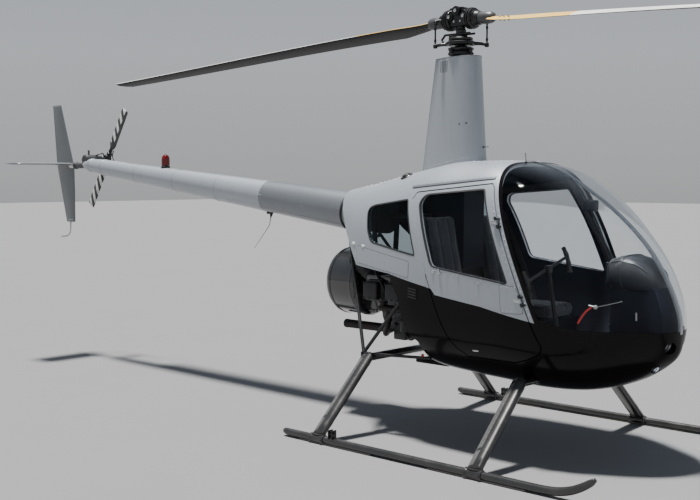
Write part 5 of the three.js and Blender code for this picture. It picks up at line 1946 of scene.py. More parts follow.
@dataclass
class MainRotor:
    """The two-bladed teetering rotor with its head and controls."""

    hub: float = 2730.0
    shaft: float = 22.0
    chord: float = 183.0
    ratio: float = 0.12
    rows: tuple[Row, ...] = ((340, 2715, 14), (700, 2701, 12.5), (1500, 2661, 10.5), (2700, 2590, 7),
                             (3835, 2527, 4))
    root: float = 238.0
    root_height: float = 2726.0
    link: tuple[float, float] = (150.0, 84.0)
    plate_z: float = 2580.0
    stations: int = 44

    def build(self) -> None:
        """Build the head, the controls and the blades."""
        self._head()
        self._controls()
        for sign, word in ((1, "front"), (-1, "rear")):
            self._blade(sign, word)

    def _head(self) -> None:
        """Build the hub between the two blade roots."""
        hub = Forge()
        hub.rod(spot(0, 0, 2420), spot(0, 0, 2712), self.shaft * MM, 36)
        hub.turned(spot(0, 0, 2640), UP, [
            (0, 0), (0, 27), (10, 34), (26, 36), (34, 30), (60, 30), (70, 38), (76, 38), (76, 0)], 40)
        for y in (-46, 34):
            hub.prism(fillet([(-100, 2708), (-86, 2694), (86, 2694), (100, 2708), (100, 2752), (58, 2812),
                              (-58, 2812), (-100, 2752)], 16), y, y + 12)
        hub.block(spot(-54, -36, 2700), spot(54, 36, 2796), 9, 3)
        hub.block(spot(-40, -44, 2788), spot(40, 44, 2816), 8, 3)
        hub.rod(spot(0, -64, 2790), spot(0, 64, 2790), 0.030, 32)
        hub.rod(spot(0, -70, 2790), spot(0, 70, 2790), 0.017, 20)
        for x in (-58, 58):
            hub.rod(spot(x, -58, 2752), spot(x, 58, 2752), 0.026, 28)
            hub.rod(spot(x, -64, 2752), spot(x, 64, 2752), 0.015, 20)
        for x in (-1, 1):
            hub.tube(route([(x * 36, -40, 2790), (x * 70, -58, 2786), (x * 104, -52, 2748)], 4), 0.004, 10)
        hub.piece("hub_yoke", [DARK_STEEL], "dark_steel", "main_rotor", ("rotor_hub",))
        caps = Forge()
        for y in (-1, 1):
            for x, z, r in ((0, 2790, 12), (-58, 2752, 12), (58, 2752, 12)):
                reach = 70 if x == 0 else 64
                caps.turned(spot(x, y * reach, z), Vector((0, y, 0)),
                            [(0, 0), (0, r), (2.5, r * 0.93), (5, r * 0.6), (6, 0)], 20)
            for x in (-26, 26):
                caps.bolt(spot(x, y * 46.5, 2722), Vector((0, y, 0)), 5, 4)
        caps.piece("hub_bolt_caps", [BRIGHT_STEEL], "dark_steel", "main_rotor")

    def _controls(self) -> None:
        """Build the turning plates, arms and pitch links under the hub."""
        plate = Forge()
        plate.turned(spot(0, 0, self.plate_z - 12), UP,
                     [(0, 27), (0, 92), (4, 98), (20, 98), (24, 92), (26, 60), (32, 60), (34, 78), (44, 80),
                      (50, 76), (52, 46), (66, 40), (68, 30), (84, 28), (84, 23), (0, 23), (0, 27)], 64)
        for sign in (-1, 1):
            x, y = sign * self.link[0], sign * self.link[1]
            plate.tube(route([(sign * 60, sign * 26, self.plate_z - 2),
                              (x * 0.75, y * 0.74, self.plate_z - 4), (x, y, self.plate_z - 14)], 4),
                       [0.013, 0.013, 0.012, 0.0115, 0.011, 0.0105, 0.010, 0.010, 0.010], 16)
            plate.turned(spot(x, y, self.plate_z - 28), UP,
                         [(0, 0), (0, 11), (4, 14), (24, 14), (28, 11), (28, 0)], 24)
            plate.rod(spot(x, y, self.plate_z - 10), spot(x, y, self.hub - 20), 0.0058, 16)
            for z in (self.plate_z + 14, self.hub - 58):
                plate.rod(spot(x, y, z), spot(x, y, z + 16), 0.0092, 6)
            plate.turned(spot(x - 12, y, self.hub - 18), AHEAD,
                         [(0, 0), (0, 9), (4, 12), (20, 12), (24, 9), (24, 0)], 24)
            for way in (-1, 1):
                plate.bolt(spot(x, y + way * 14, self.plate_z - 14), Vector((0, way, 0)), 4.5, 4)
        for c, s in around(8, 10):
            plate.bolt(spot(86 * c, 86 * s, self.plate_z + 10), UP, 4.2, 4)
        plate.block(spot(-118, -32, 2634), spot(96, -20, 2648), 4, 3)
        plate.block(spot(-118, 20, 2634), spot(96, 32, 2648), 4, 3)
        plate.tube([spot(-112, -26, 2641), spot(-128, -40, 2610), spot(-104, -58, 2590)], 0.0075, 14)
        plate.tube([spot(-112, 26, 2641), spot(-128, 40, 2610), spot(-104, 58, 2590)], 0.0075, 14)
        plate.piece("turning_plates", [DARK_STEEL], "dark_steel", "main_rotor", ("swashplate",))

    def _trend(self, column: int, place: float) -> float:
        """Return a column of the blade's rows at a distance from the shaft, on a smooth curve."""
        table = np.array(self.rows, float)
        return float(np.polyval(np.polyfit(table[:, 0], table[:, column], 3), place))

    def _on_blade(self, sign: int, place: float, along: float, lift: float) -> Vector:
        """Return a point of a blade.

        Args:
            sign: 1 for the blade that points ahead, -1 for the other.
            place: Distance from the shaft in millimetres.
            along: Distance ahead of the blade's quarter line.
            lift: Distance above the blade's middle plane.

        Returns:
            The point in metres.
        """
        ease = max(0.0, 1 - (place - self.root) / 160) ** 2
        height = self._trend(1, place) + (self.root_height - self._trend(1, self.root)) * ease
        angle = math.radians(self._trend(2, place))
        return spot(sign * place, sign * (along * math.cos(angle) - lift * math.sin(angle)),
                    height + lift * math.cos(angle) + along * math.sin(angle))

    def _blade(self, sign: int, word: str) -> None:
        """Build one blade with its bearing housing, cuff, root bolts and pitch horn.

        Args:
            sign: 1 ahead, -1 astern.
            word: the blade's name.
        """
        skin = Forge()
        rings = []
        tip = self.rows[-1][0]
        places = np.concatenate([np.linspace(self.root, tip - 14, self.stations), [tip - 5, tip]])
        for place in places:
            slim = min(1.0, 0.55 + 0.09 * (tip - place))
            narrow = min(1.0, 0.40 + 0.60 * (place - self.root) / 330)
            ring = []
            for t, y in foil_shares(20):
                c = self.chord * (0.25 - t) * (narrow if t > 0.25 else 0.55 + 0.45 * narrow)
                ring.append(self._on_blade(sign, place, c, y * self.chord * self.ratio / 2 * slim))
            rings.append(ring)
        skin.loft(rings)
        skin.piece(f"blade_{word}_skin", [MAIN_BLADE], "blade_paint", "main_rotor", (f"blade_{word}",),
                   sharp=50)
        root = Forge()
        along = Vector((sign, 0, -0.058))
        start = spot(sign * 60, 0, self.hub + 9)
        root.turned(start, along,
                    [(0, 0), (0, 52), (4, 66), (10, 70), (16, 70), (18, 64), (22, 64), (24, 71), (32, 71),
                     (34, 64), (38, 64), (40, 69), (48, 69), (52, 60), (58, 52), (60, 52), (60, 58), (66, 58),
                     (70, 50), (96, 45), (100, 0)], 48)
        for c, s in around(8, 22):
            root.bolt(start + along * 0.0585 + Vector((0, c, s)) * 0.0565, along, 4.6, 6)
        root.tube(route([(sign * 118, sign * 40, self.hub + 6), (sign * 150, sign * 70, self.hub + 2),
                         (sign * self.link[0], sign * self.link[1], self.hub - 8)], 4), 0.0125, 16)
        for place, along_blade in ((292, 2), (330, 6), (368, 12), (330, -26), (368, -34), (410, -46)):
            for way in (-1, 1):
                half = 10.2 if along_blade > 0 else 8.6
                seat = self._on_blade(sign, place, along_blade, way * half)
                above = self._on_blade(sign, place, along_blade, way * (half + 10))
                root.bolt(seat, above - seat, 5.2, 4)
        root.piece(f"blade_{word}_root", [DARK_STEEL], "dark_steel", "main_rotor")
        cuff = Forge()
        cuff.turned(spot(sign * 148, 0, self.hub + 4), Vector((sign, 0, -0.058)), [
            (0, 0), (0, 38), (6, 41), (70, 41), (96, 38), (114, 30), (124, 16), (127, 0)], 48)
        cuff.piece(f"blade_{word}_cuff", [CUFF_GREY], "blade_paint", "main_rotor")


@dataclass
class TailBoom:
    """The tapered tube that carries the tail, with its lap joints and rivet rows."""

    start: tuple[float, float, float] = (-820, 0, 1436)
    end: tuple[float, float, float] = (-4070, 0, 1784)
    radii: tuple[float, float] = (144, 72)
    joint: float = 1048
    laps: tuple[float, ...] = (1610, 2180, 2740)

    def __post_init__(self) -> None:
        """Work out the tube's line."""
        self.foot, self.tip = spot(*self.start), spot(*self.end)
        self.along = (self.tip - self.foot).normalized()
        self.length = (self.tip - self.foot).length / MM
        self.turn = basis(self.along, UP).to_3x3()

    def radius(self, s: float) -> float:
        """Return the tube's radius at a distance from its root."""
        return self.radii[0] + (self.radii[1] - self.radii[0]) * s / self.length

    def at(self, s: float, angle: float, lift: float = 0.0) -> tuple[Vector, Vector]:
        """Return a place on the tube, at an angle from its top towards port, and the way out of it."""
        out = self.turn @ Vector((math.cos(angle), math.sin(angle), 0))
        return self.foot + self.along * s * MM + out * (self.radius(s) + lift) * MM, out

    def _run(self, low: float, high: float, lip: bool) -> list[tuple[float, float]]:
        """Return the profile of one tube section with an inner wall.

        Args:
            low: where it starts along the boom.
            high: where it ends.
            lip: whether it starts with a raised lap.

        Returns:
            The profile's rows.
        """
        out = [(s, self.radius(s)) for s in np.linspace(low, high, 8)]
        if lip:
            out = [(low, self.radius(low) + 1.3), (low + 22, self.radius(low + 22) + 1.3), *out[1:]]
        inner = [(s, r - 6) for s, r in reversed(out)]
        return [*out, *inner, out[0]]

    def build(self) -> None:
        """Build both colours of tube, the laps, rivets and small fittings."""
        front, rear = Forge(), Forge()
        front.turned(self.foot, self.along, self._run(0, self.joint, False), 72)
        stops = (self.joint, *self.laps, self.length)
        for low, high in zip(stops, stops[1:]):
            rear.turned(self.foot, self.along, self._run(low, high, True), 72)
        front.piece("boom_front", [SMOKED_SILVER], "silver_paint", nodes=("tailcone",), sharp=30)
        rear.piece("boom_rear", [SILVER], "silver_paint", sharp=30)
        rivets = Forge()
        for s in (180, 560, self.joint - 12, *(lap + 11 for lap in self.laps), self.joint + 12,
                  self.length - 20):
            count = 30
            for k in range(count):
                at, out = self.at(s, 2 * math.pi * k / count, 1.4)
                rivets.dome(at, out, 2.7, 1.1, 7)
        for s in np.arange(200, self.length - 40, 34):
            at, out = self.at(s, math.pi * 0.985, 0.4)
            rivets.dome(at, out, 2.7, 1.1, 7)
        rivets.piece("boom_rivets", [SILVER], "silver_paint", outward=False)
        ring = Forge()
        ring.turned(self.foot + self.along * 0.138, self.along,
                    [(0, 142), (0, 146.5), (3, 148), (14, 147.6), (18, 141), (0, 142)], 72)
        ring.piece("boom_collar", [RUBBER], "cabin_trim")
        self._fittings()

    def _fittings(self) -> None:
        """Fit the beacon and the whip aerial with its mount."""
        s = (self.start[0] + 3190) / (self.start[0] - self.end[0]) * self.length
        top, out = self.at(s, 0.0)
        base = Forge()
        base.turned(top - out * 0.012, UP, [(0, 0), (0, 39), (6, 40), (18, 39), (21, 36), (28, 36), (30, 0)],
                    40)
        for c, s in around(4, 45):
            base.bolt(top + Vector((0.033 * c, 0.033 * s, 0.009)), UP, 2.6, 2)
        base.piece("beacon_base", [DARK_STEEL], "dark_steel", nodes=("beacon",))
        dome = Forge()
        rows = [(0, 0), (0, 35)]
        for ridge in range(7):
            rows += [(3 + ridge * 8, 35.6), (7 + ridge * 8, 36.4), (10 + ridge * 8, 35.4)]
        rows += [(66, 34), (76, 31), (84, 26), (90, 19), (94, 10), (95, 0)]
        dome.turned(top + Vector((0, 0, 0.017)), UP, rows, 48)
        dome.piece("beacon_dome", [LENS_RED], "red_lens", sharp=60)
        cap = Forge()
        cap.rod(top + Vector((0, 0, 0.111)), top + Vector((0, 0, 0.1175)), 0.0045, 16)
        cap.piece("beacon_nut", [BRIGHT_STEEL], "dark_steel")
        whip = Forge()
        under, _ = self.at(1034, math.pi)
        whip.block(under + Vector((-0.027, -0.014, -0.017)), under + Vector((0.027, 0.014, 0.002)), 5, 3)
        path = route([(-1846, 0, 1408), (-1857, 0, 1362), (-1869, 0, 1321), (-1904, 0, 1281),
                      (-1965, 0, 1216), (-2046, 0, 1132)], 5)
        radii = [(3.4 - 1.8 * i / (len(path) - 1)) * MM for i in range(len(path))]
        whip.tube(path, radii, 12)
        whip.turned(spot(-1846, 0, 1408), Vector((-0.22, 0, -1)), [
            (0, 0), (0, 11), (10, 10), (22, 6), (30, 4.4), (30, 0)], 24)
        whip.piece("whip_aerial", [RUBBER], "black_rod", nodes=("whip_antenna",))


@dataclass
class TailGroup:
    """The tail gearbox, fins, stabilizer and tail rotor."""

    boom: TailBoom
    centre: tuple[float, float, float] = (-4360, 222, 1874)
    lean: float = 33.0
    reach: float = 533.0
    chord: float = 100.0
    fin: tuple[Row, ...] = ((1270, -4590, -4730), (1560, -4586, -4812), (1820, -4590, -4885),
                            (1824, -4601, -4886), (2388, -4800, -4941))
    fin_half: float = 13.0
    level: float = 1822.0
    level_edges: tuple[float, float] = (-4604.0, -4876.0)

    def build(self) -> None:
        """Build the whole tail."""
        self._gearbox()
        self._fin()
        self._stabilizer()
        self._rotor()

    def _gearbox(self) -> None:
        """Build the end casting, gearbox, output shaft and the tube that carries the fins."""
        x, _, z = self.centre
        along = self.boom.along
        cap = Forge()
        cap.turned(self.boom.tip + along * 0.0004, along,
                   [(0, 0), (0, 72), (4, 75), (14, 75), (18, 71), (60, 70), (150, 64), (200, 61), (204, 64),
                    (216, 64), (220, 59), (268, 55), (300, 49), (330, 36), (344, 26), (345, 0)], 56)
        for c, s in around(12):
            out = self.boom.turn @ Vector((c, s, 0))
            cap.dome(self.boom.tip + along * 0.009 + out * 0.075, out, 3, 1.4)
            cap.bolt(self.boom.tip + along * 0.210 + out * 0.0635, out, 3.4, 3)
        cap.piece("tail_end_casting", [SILVER], "silver_paint", nodes=("tail_gearbox",))
        box = Forge()
        box.turned(spot(x, -44, 1858), PORT,
                   [(0, 0), (0, 36), (3, 40), (8, 40), (10, 48), (16, 50), (26, 50), (28, 46), (34, 46),
                    (36, 50), (60, 50), (62, 46), (68, 46), (70, 50), (120, 50), (128, 46), (136, 40),
                    (140, 34), (140, 0)], 44)
        box.turned(spot(x, 90, z), PORT, [(0, 0), (0, 34), (6, 34), (8, 28), (44, 26), (58, 22), (60, 0)], 36)
        box.rod(spot(x, 140, z), spot(x, 188, z), 0.012, 24)
        for c, s in around(6):
            out = Vector((c, 0, s)) * 0.041
            box.bolt(spot(x, -38, 1858) + out, STARBOARD, 4.4, 4)
            box.bolt(spot(x, 96, z) + out * 0.72, PORT, 3.4, 3)
        box.turned(spot(x, 10, 1900), UP,
                   [(0, 0), (0, 14), (6, 14), (8, 9), (40, 9), (42, 11), (48, 11), (50, 7), (50, 0)], 20)
        box.tube(route([(x + 20, 66, 1898), (x + 60, 96, 1916), (x + 30, 150, z + 44), (x, 178, z + 22)], 4),
                 0.006, 12)
        box.rod(spot(-4330, 0, 1808), spot(-4572, 0, 1808), 0.028, 32)
        box.turned(spot(-4540, 0, 1808), AFT, [(0, 0), (0, 31), (4, 34), (26, 34), (30, 30), (30, 0)], 32)
        box.piece("tail_gearbox_case", [CAST_METAL_WITH_PAINTED_SHADE], "cast_alloy")

    def _foil_ring(self, place: object, lead: float, trail: float, half: float) -> list[Vector]:
        """Return one section of a thin wing, put in place by a function of chord and thickness."""
        return [place(lead + (trail - lead) * t, half * y) for t, y in foil_shares(16)]

    def _fin(self) -> None:
        """Build the upright fin, its edge trims and the tail guard."""
        table = np.array(self.fin, float)
        heights = sorted({*table[:, 0], *np.linspace(1290, 2370, 19)})
        skin = Forge()
        rings = []
        for z in heights:
            lead, trail = (float(np.interp(z, table[:, 0], table[:, k])) for k in (1, 2))
            half = self.fin_half * (0.8 if z in (heights[0], heights[-1]) else 1.0)
            rings.append(self._foil_ring(lambda x, y, z=z: spot(x, y, z), lead, trail, half))
        skin.loft(rings)
        skin.piece("upright_fin", [FIN_GREY], "grey_paint", nodes=("vertical_fin",), sharp=40)
        trim = Forge()
        for low, high in ((1276, 1812), (1832, 2382)):
            path = []
            for z in np.linspace(low, high, 9):
                trail = float(np.interp(z, table[:, 0], table[:, 2]))
                path.append(spot(trail + 5, 0, z))
            trim.tube(path, 0.0035, 10)
        for z in (1286, 2374):
            lead, trail = (float(np.interp(z, table[:, 0], table[:, k])) for k in (1, 2))
            ring = self._foil_ring(lambda x, y, z=z: spot(x, y, z), lead - 6, trail + 6, self.fin_half + 0.8)
            other = [place + Vector((0, 0, 0.010)) for place in ring]
            trim.loft([ring, other])
        trim.piece("fin_edge_trim", [SILVER], "silver_paint")
        rivets = Forge()
        for side in (-1, 1):
            for share in (0.09, 0.32, 0.88):
                for z in np.arange(1300, 2370, 30):
                    if abs(z - self.level) < 30:
                        continue
                    lead, trail = (float(np.interp(z, table[:, 0], table[:, k])) for k in (1, 2))
                    y = self.fin_half * foil(share)
                    rivets.dome(spot(lead + (trail - lead) * share, side * (y + 0.3), z),
                                Vector((0, side, 0)), 2.3, 0.9, 6)
        rivets.piece("fin_rivets", [FIN_GREY], "grey_paint", outward=False)
        guard = Forge()
        path = route([(-4668, 0, 1284), (-4672, 0, 1190), (-4694, 0, 1150), (-4740, 0, 1130),
                      (-4830, 0, 1122)], 6)
        guard.tube(path, [0.008] * (len(path) - 1) + [0.0055], 20)
        guard.turned(spot(-4667, 0, 1272), DOWN, [(0, 0), (0, 12), (14, 12), (18, 9), (18, 0)], 20)
        guard.turned(spot(-4570, 0, 1808), AFT, [(0, 0), (0, 30), (66, 30), (74, 24), (76, 0)], 32)
        guard.piece("tail_guard", [BRIGHT_STEEL], "dark_steel")

    def _stabilizer(self) -> None:
        """Build the level stabilizer with its tip and rivets."""
        front, rear = self.level_edges
        skin = Forge()
        rings = []
        for y, lead, trail, slim in ((-14, 0, 0, 1), (-200, 0, 0, 1), (-400, 0, 0, 1), (-550, 0, 0, 1),
                                     (-566, -4, 1, 0.9), (-575, -10, 4, 0.7), (-580, -20, 8, 0.35)):
            rings.append(self._foil_ring(lambda x, t, y=y: spot(x, y, self.level + t), front + lead,
                                         rear + trail, self.fin_half * slim))
        skin.loft(rings)
        skin.piece("level_stabilizer", [SMOKED_SILVER], "silver_paint", nodes=("stabilizer",), sharp=40)
        rivets = Forge()
        for way in (-1, 1):
            for share in (0.1, 0.34, 0.86):
                for y in np.arange(-548, -30, 30):
                    z = self.level + way * (self.fin_half * foil(share) + 0.3)
                    rivets.dome(spot(front + (rear - front) * share, y, z), Vector((0, 0, way)), 2.3, 0.9, 6)
        rivets.piece("stabilizer_rivets", [SILVER], "silver_paint", outward=False)

    def _rotor(self) -> None:
        """Build the tail rotor's hub and blades."""
        x, y, z = self.centre
        lean = math.radians(self.lean)
        along = Vector((math.sin(lean), 0, math.cos(lean)))
        across = Vector((math.cos(lean), 0, -math.sin(lean)))
        middle = spot(x, y, z)
        hub = Forge()
        hub.block(middle - Vector((0.022, 0.017, 0.064)), middle + Vector((0.022, 0.017, 0.064)), 6, 3,
                  basis(along, across))
        hub.turned(spot(x, 188.3, z), PORT,
                   [(0, 0), (0, 30), (3, 33), (16, 33), (18, 28), (42, 28), (44, 32), (50, 32), (54, 26),
                    (58, 18), (59.5, 0)], 40)
        for sign in (-1, 1):
            way = along * sign
            for k in (-1, 1):
                hub.bolt(middle + way * 0.046 + Vector((0, 0.017, 0)) + across * 0.011 * k, PORT, 4.5, 5)
            hub.tube(smooth_path([middle + Vector((0, 0.048, 0)) + across * 0.030,
                                  middle + across * 0.050 + way * 0.060,
                                  middle + across * 0.040 + way * 0.112], 4), 0.0048, 12)
            hub.turned(middle + way * 0.040, way,
                       [(0, 0), (0, 17), (18, 20), (28, 20), (30, 16), (60, 16), (66, 14), (66, 0)], 28)
        hub.piece("tail_hub_and_links", [DARK_STEEL], "dark_steel", "tail_rotor", ("tail_hub",))
        for sign, word in ((1, "upper"), (-1, "lower")):
            blade = Forge()
            rings = []
            for s, chord, half in ((100, 36, 9), (118, 60, 7.5), (140, 88, 7), (160, 100, 7), (260, 100, 6.8),
                                   (380, 100, 6.5), (500, 100, 6.2), (526, 99, 5.8), (531, 97, 4.6),
                                   (533, 94, 3.0)):
                ring = []
                for t, thick in foil_shares(16):
                    ring.append(middle + along * sign * s * MM - across * chord * (t - 0.5) * MM
                                + Vector((0, half * thick * MM, 0)))
                rings.append(ring)
            blade.loft(rings)
            blade.piece(f"tail_blade_{word}_skin", [TAIL_BLADE], "blade_paint", "tail_rotor",
                        (f"tail_blade_{word}",), sharp=50)
            grip = Forge()
            grip.turned(middle + along * sign * 0.0625, along * sign, [
                (0, 0), (0, 14), (4, 17), (30, 17), (36, 14), (62, 12), (70, 8), (70, 0)], 28)
            grip.piece(f"tail_blade_{word}_grip", [DARK_STEEL], "dark_steel", "tail_rotor")


# Landing gear


@dataclass
class LandingGear:
    """Skids with their shoes, streamlined legs and cross tubes."""

    skid_y: float = 946.0
    path: tuple[Row, ...] = ((-717, 36, 13), (-650, 30, 24), (1270, 30, 24), (1360, 36, 24), (1440, 54, 24),
                             (1510, 84, 23), (1570, 121, 20), (1595, 143, 13))
    shoes: tuple[tuple[float, float], ...] = ((-560, 60), (500, 1180))
    chord: float = 100.0
    thickness: float = 48.0
    taper: float = 0.25
    legs: tuple[Row, ...] = ((804, 827, 470, 480), (-392, -404, 490, 500))

    def build(self) -> None:
        """Build both skids, the four legs and the two cross tubes."""
        for side, word in SIDES:
            self._skid(side, word)
            for (top_x, foot_x, top_y, top_z), place in zip(self.legs, ("front", "rear")):
                self._leg(side, word, place, spot(foot_x, side * self.skid_y, 52),
                          spot(top_x, side * top_y, top_z))
        for (top_x, _, top_y, top_z), place in zip(self.legs, ("front", "rear")):
            tube = Forge()
            ends = [spot(top_x, y, top_z) for y in np.linspace(-top_y + 0.3, top_y - 0.3, 9)]
            tube.loft([self._section(end, 1.0) for end in ends])
            tube.piece(f"{place}_cross_tube_skin", [TUBE_GREY], "gunmetal_tube",
                       nodes=(f"{place}_cross_tube",), sharp=40)

    def _section(self, centre: Vector, stretch: float) -> list[Vector]:
        """Return the streamlined section of a leg around a place, blunt ahead and slim behind.

        Args:
            centre: the place.
            stretch: the section's size factor.

        Returns:
            The section's points.
        """
        ring = []
        for c, s in around(36):
            half = self.thickness / 2 * stretch * (1 + self.taper * c)
            ring.append(centre + Vector((self.chord / 2 * c, 0, half * s)) * MM)
        return ring

    def _leg(self, side: int, word: str, place: str, foot: Vector, top: Vector) -> None:
        """Build one leg, its pale trailing fairing and its foot on the skid.

        Args:
            side: -1 starboard, 1 port.
            word: left or right.
            place: front or rear.
            foot: the foot's middle.
            top: the top's middle.
        """
        along = top - foot
        stretch = along.length / abs(along.y)
        leg = Forge()
        rings = []
        for share in np.linspace(0.0, 1.0, 12):
            rings.append(self._section(foot + along * share, stretch))
        leg.loft(rings)
        bmesh.ops.bisect_plane(leg.bm, geom=leg.bm.verts[:] + leg.bm.edges[:] + leg.bm.faces[:], dist=1e-6,
                               plane_co=Vector((0, 0, 0.034)), plane_no=UP, clear_inner=True)
        bmesh.ops.holes_fill(leg.bm, edges=[edge for edge in leg.bm.edges if edge.is_boundary], sides=0)
        skin = leg.piece(f"{place}_leg_{word}_skin", [TUBE_GREY, FAIRING_GREY], "gunmetal_tube",
                         nodes=(f"{place}_leg_{word}",), sharp=50)
        for face in skin.data.polygons:
            on_axis = foot + along * ((face.center - foot).dot(along) / along.length_squared)
            if face.center.x - on_axis.x < -0.012:
                face.material_index = 1
        seam = Forge()
        up = along.normalized()
        for share in (0.16, 0.93):
            ring = self._section(foot + along * share, stretch * 1.03)
            middle = (foot + along * share).x
            ring = [point + Vector(((point.x - middle) * 0.02, 0, 0)) for point in ring]
            seam.loft([ring, [point + up * 0.020 for point in ring]])
        for share in np.linspace(0.20, 0.90, 14):
            middle = foot + along * share
            out = Vector((0, side * along.z, -side * along.y)).normalized()
            out = out if out.z > 0 else -out
            seam.dome(middle + Vector((-0.014, 0, 0)) + out * 0.0228, out, 2.4, 1.0)
        seam.piece(f"{place}_leg_{word}_bands", [TUBE_GREY], "gunmetal_tube")
        self._saddle(side, f"{place}_leg_{word}_saddle", foot)

    def _saddle(self, side: int, name: str, foot: Vector) -> None:
        """Build the sleeve that holds a leg's foot to the skid, with its clamp bolts and a weld bead.

        Args:
            side: -1 starboard, 1 port.
            name: the piece's name.
            foot: the foot's middle.
        """
        saddle = Forge()
        start = Vector((foot.x - 0.062, foot.y, 0.030))
        saddle.turned(start, AHEAD,
                      [(0, 0), (0, 28), (3, 31), (20, 31.5), (24, 30), (50, 30), (74, 30), (100, 30),
                       (104, 31.5), (121, 31), (124, 28), (124, 0)], 40)
        bmesh.ops.bisect_plane(saddle.bm, geom=saddle.bm.verts[:] + saddle.bm.edges[:] + saddle.bm.faces[:],
                               dist=1e-6, plane_co=Vector((0, 0, 0.012)), plane_no=UP, clear_inner=True)
        bmesh.ops.holes_fill(saddle.bm, edges=[edge for edge in saddle.bm.edges if edge.is_boundary], sides=0)
        for x in (-0.050, 0.050):
            for y in (-1, 1):
                saddle.bolt(Vector((foot.x + x, foot.y + y * 0.030, 0.030)), Vector((0, y, 0.15)), 5.5, 5)
        for x in np.linspace(-0.052, 0.052, 22):
            for y in (-1, 1):
                wide = 0.019 * math.sqrt(max(0.0, 1 - (x / 0.054) ** 2))
                saddle.dome(Vector((foot.x + x, foot.y + y * (wide + 0.006) - side * 0.004, 0.0585)),
                            Vector((0, y, 1)), 3.6, 3, 6)
        saddle.piece(name, [TUBE_GREY], "gunmetal_tube")

    def _skid(self, side: int, word: str) -> None:
        """Build one skid tube with its caps, shoes and wheel fitting.

        Args:
            side: -1 starboard, 1 port.
            word: left or right.
        """
        y = side * self.skid_y
        rough = [spot(x, y, z) for x, z, _ in self.path]
        places = smooth_path(rough[2:], 6)
        radii = list(np.interp(np.linspace(0, len(self.path) - 3, len(places)), range(len(self.path) - 2),
                               [row[2] for row in self.path[2:]]))
        heel = [(-717, 36, 9), (-715, 35.6, 14), (-706, 34, 19), (-690, 32, 22.5), (-664, 30, 24)]
        straight = [spot(x, y, 30) for x in np.linspace(-560, 1150, 14)]
        tip = spot(1597, y, 145)
        points = [spot(x, y, z) for x, z, _ in heel] + straight + places + [tip]
        sizes = [r * MM for _, _, r in heel] + [0.024] * len(straight) + [r * MM for r in radii] + [0.006]
        tube = Forge()
        tube.tube(points, sizes, 32)
        tube.piece(f"skid_{word}_tube", [TUBE_GREY], "gunmetal_tube", nodes=(f"skid_{word}",), sharp=60)
        shoe = Forge()
        for x0, x1 in self.shoes:
            shoe.block(spot(x0, y - 15, 0), spot(x1, y + 15, 9), 2.5, 3)
            shoe.block(spot(x0 + 8, y - 12, 6), spot(x1 - 8, y + 12, 16), 2, 2)
            for x in np.linspace(x0 + 26, x1 - 26, 5):
                shoe.rod(spot(x, y, 0.2), spot(x, y, 3), 0.0065, 12)
        shoe.piece(f"skid_{word}_shoes", [SHOE_STEEL], "gunmetal_tube")
        fitting = Forge()
        fitting.block(spot(-304, y - 14, 44), spot(-258, y + 14, 56), 3, 2)
        for x in (-298, -268):
            fitting.prism(fillet([(x, 50), (x + 6, 50), (x + 6, 103), (x, 103)], 2, 2), y - 21, y + 21)
        fitting.rod(spot(-306, y, 88), spot(-256, y, 88), 0.0065, 16)
        for x, way in ((-306, -1), (-256, 1)):
            fitting.bolt(spot(x, y, 88), Vector((way, 0, 0)), 6, 5)
        for x in np.linspace(-640, 1250, 22):
            if min(abs(x - foot) for foot in (-404, 827)) > 80:
                fitting.dome(spot(x, y, 53.8), UP, 2.6, 1.2)
        fitting.turned(spot(-719, y, 36), Vector((1, 0, -0.02)), [(0, 0), (0, 7), (3, 8), (6, 7), (6, 0)], 20)
        fitting.piece(f"skid_{word}_fittings", [DARK_STEEL], "gunmetal_tube")


# Engine bay


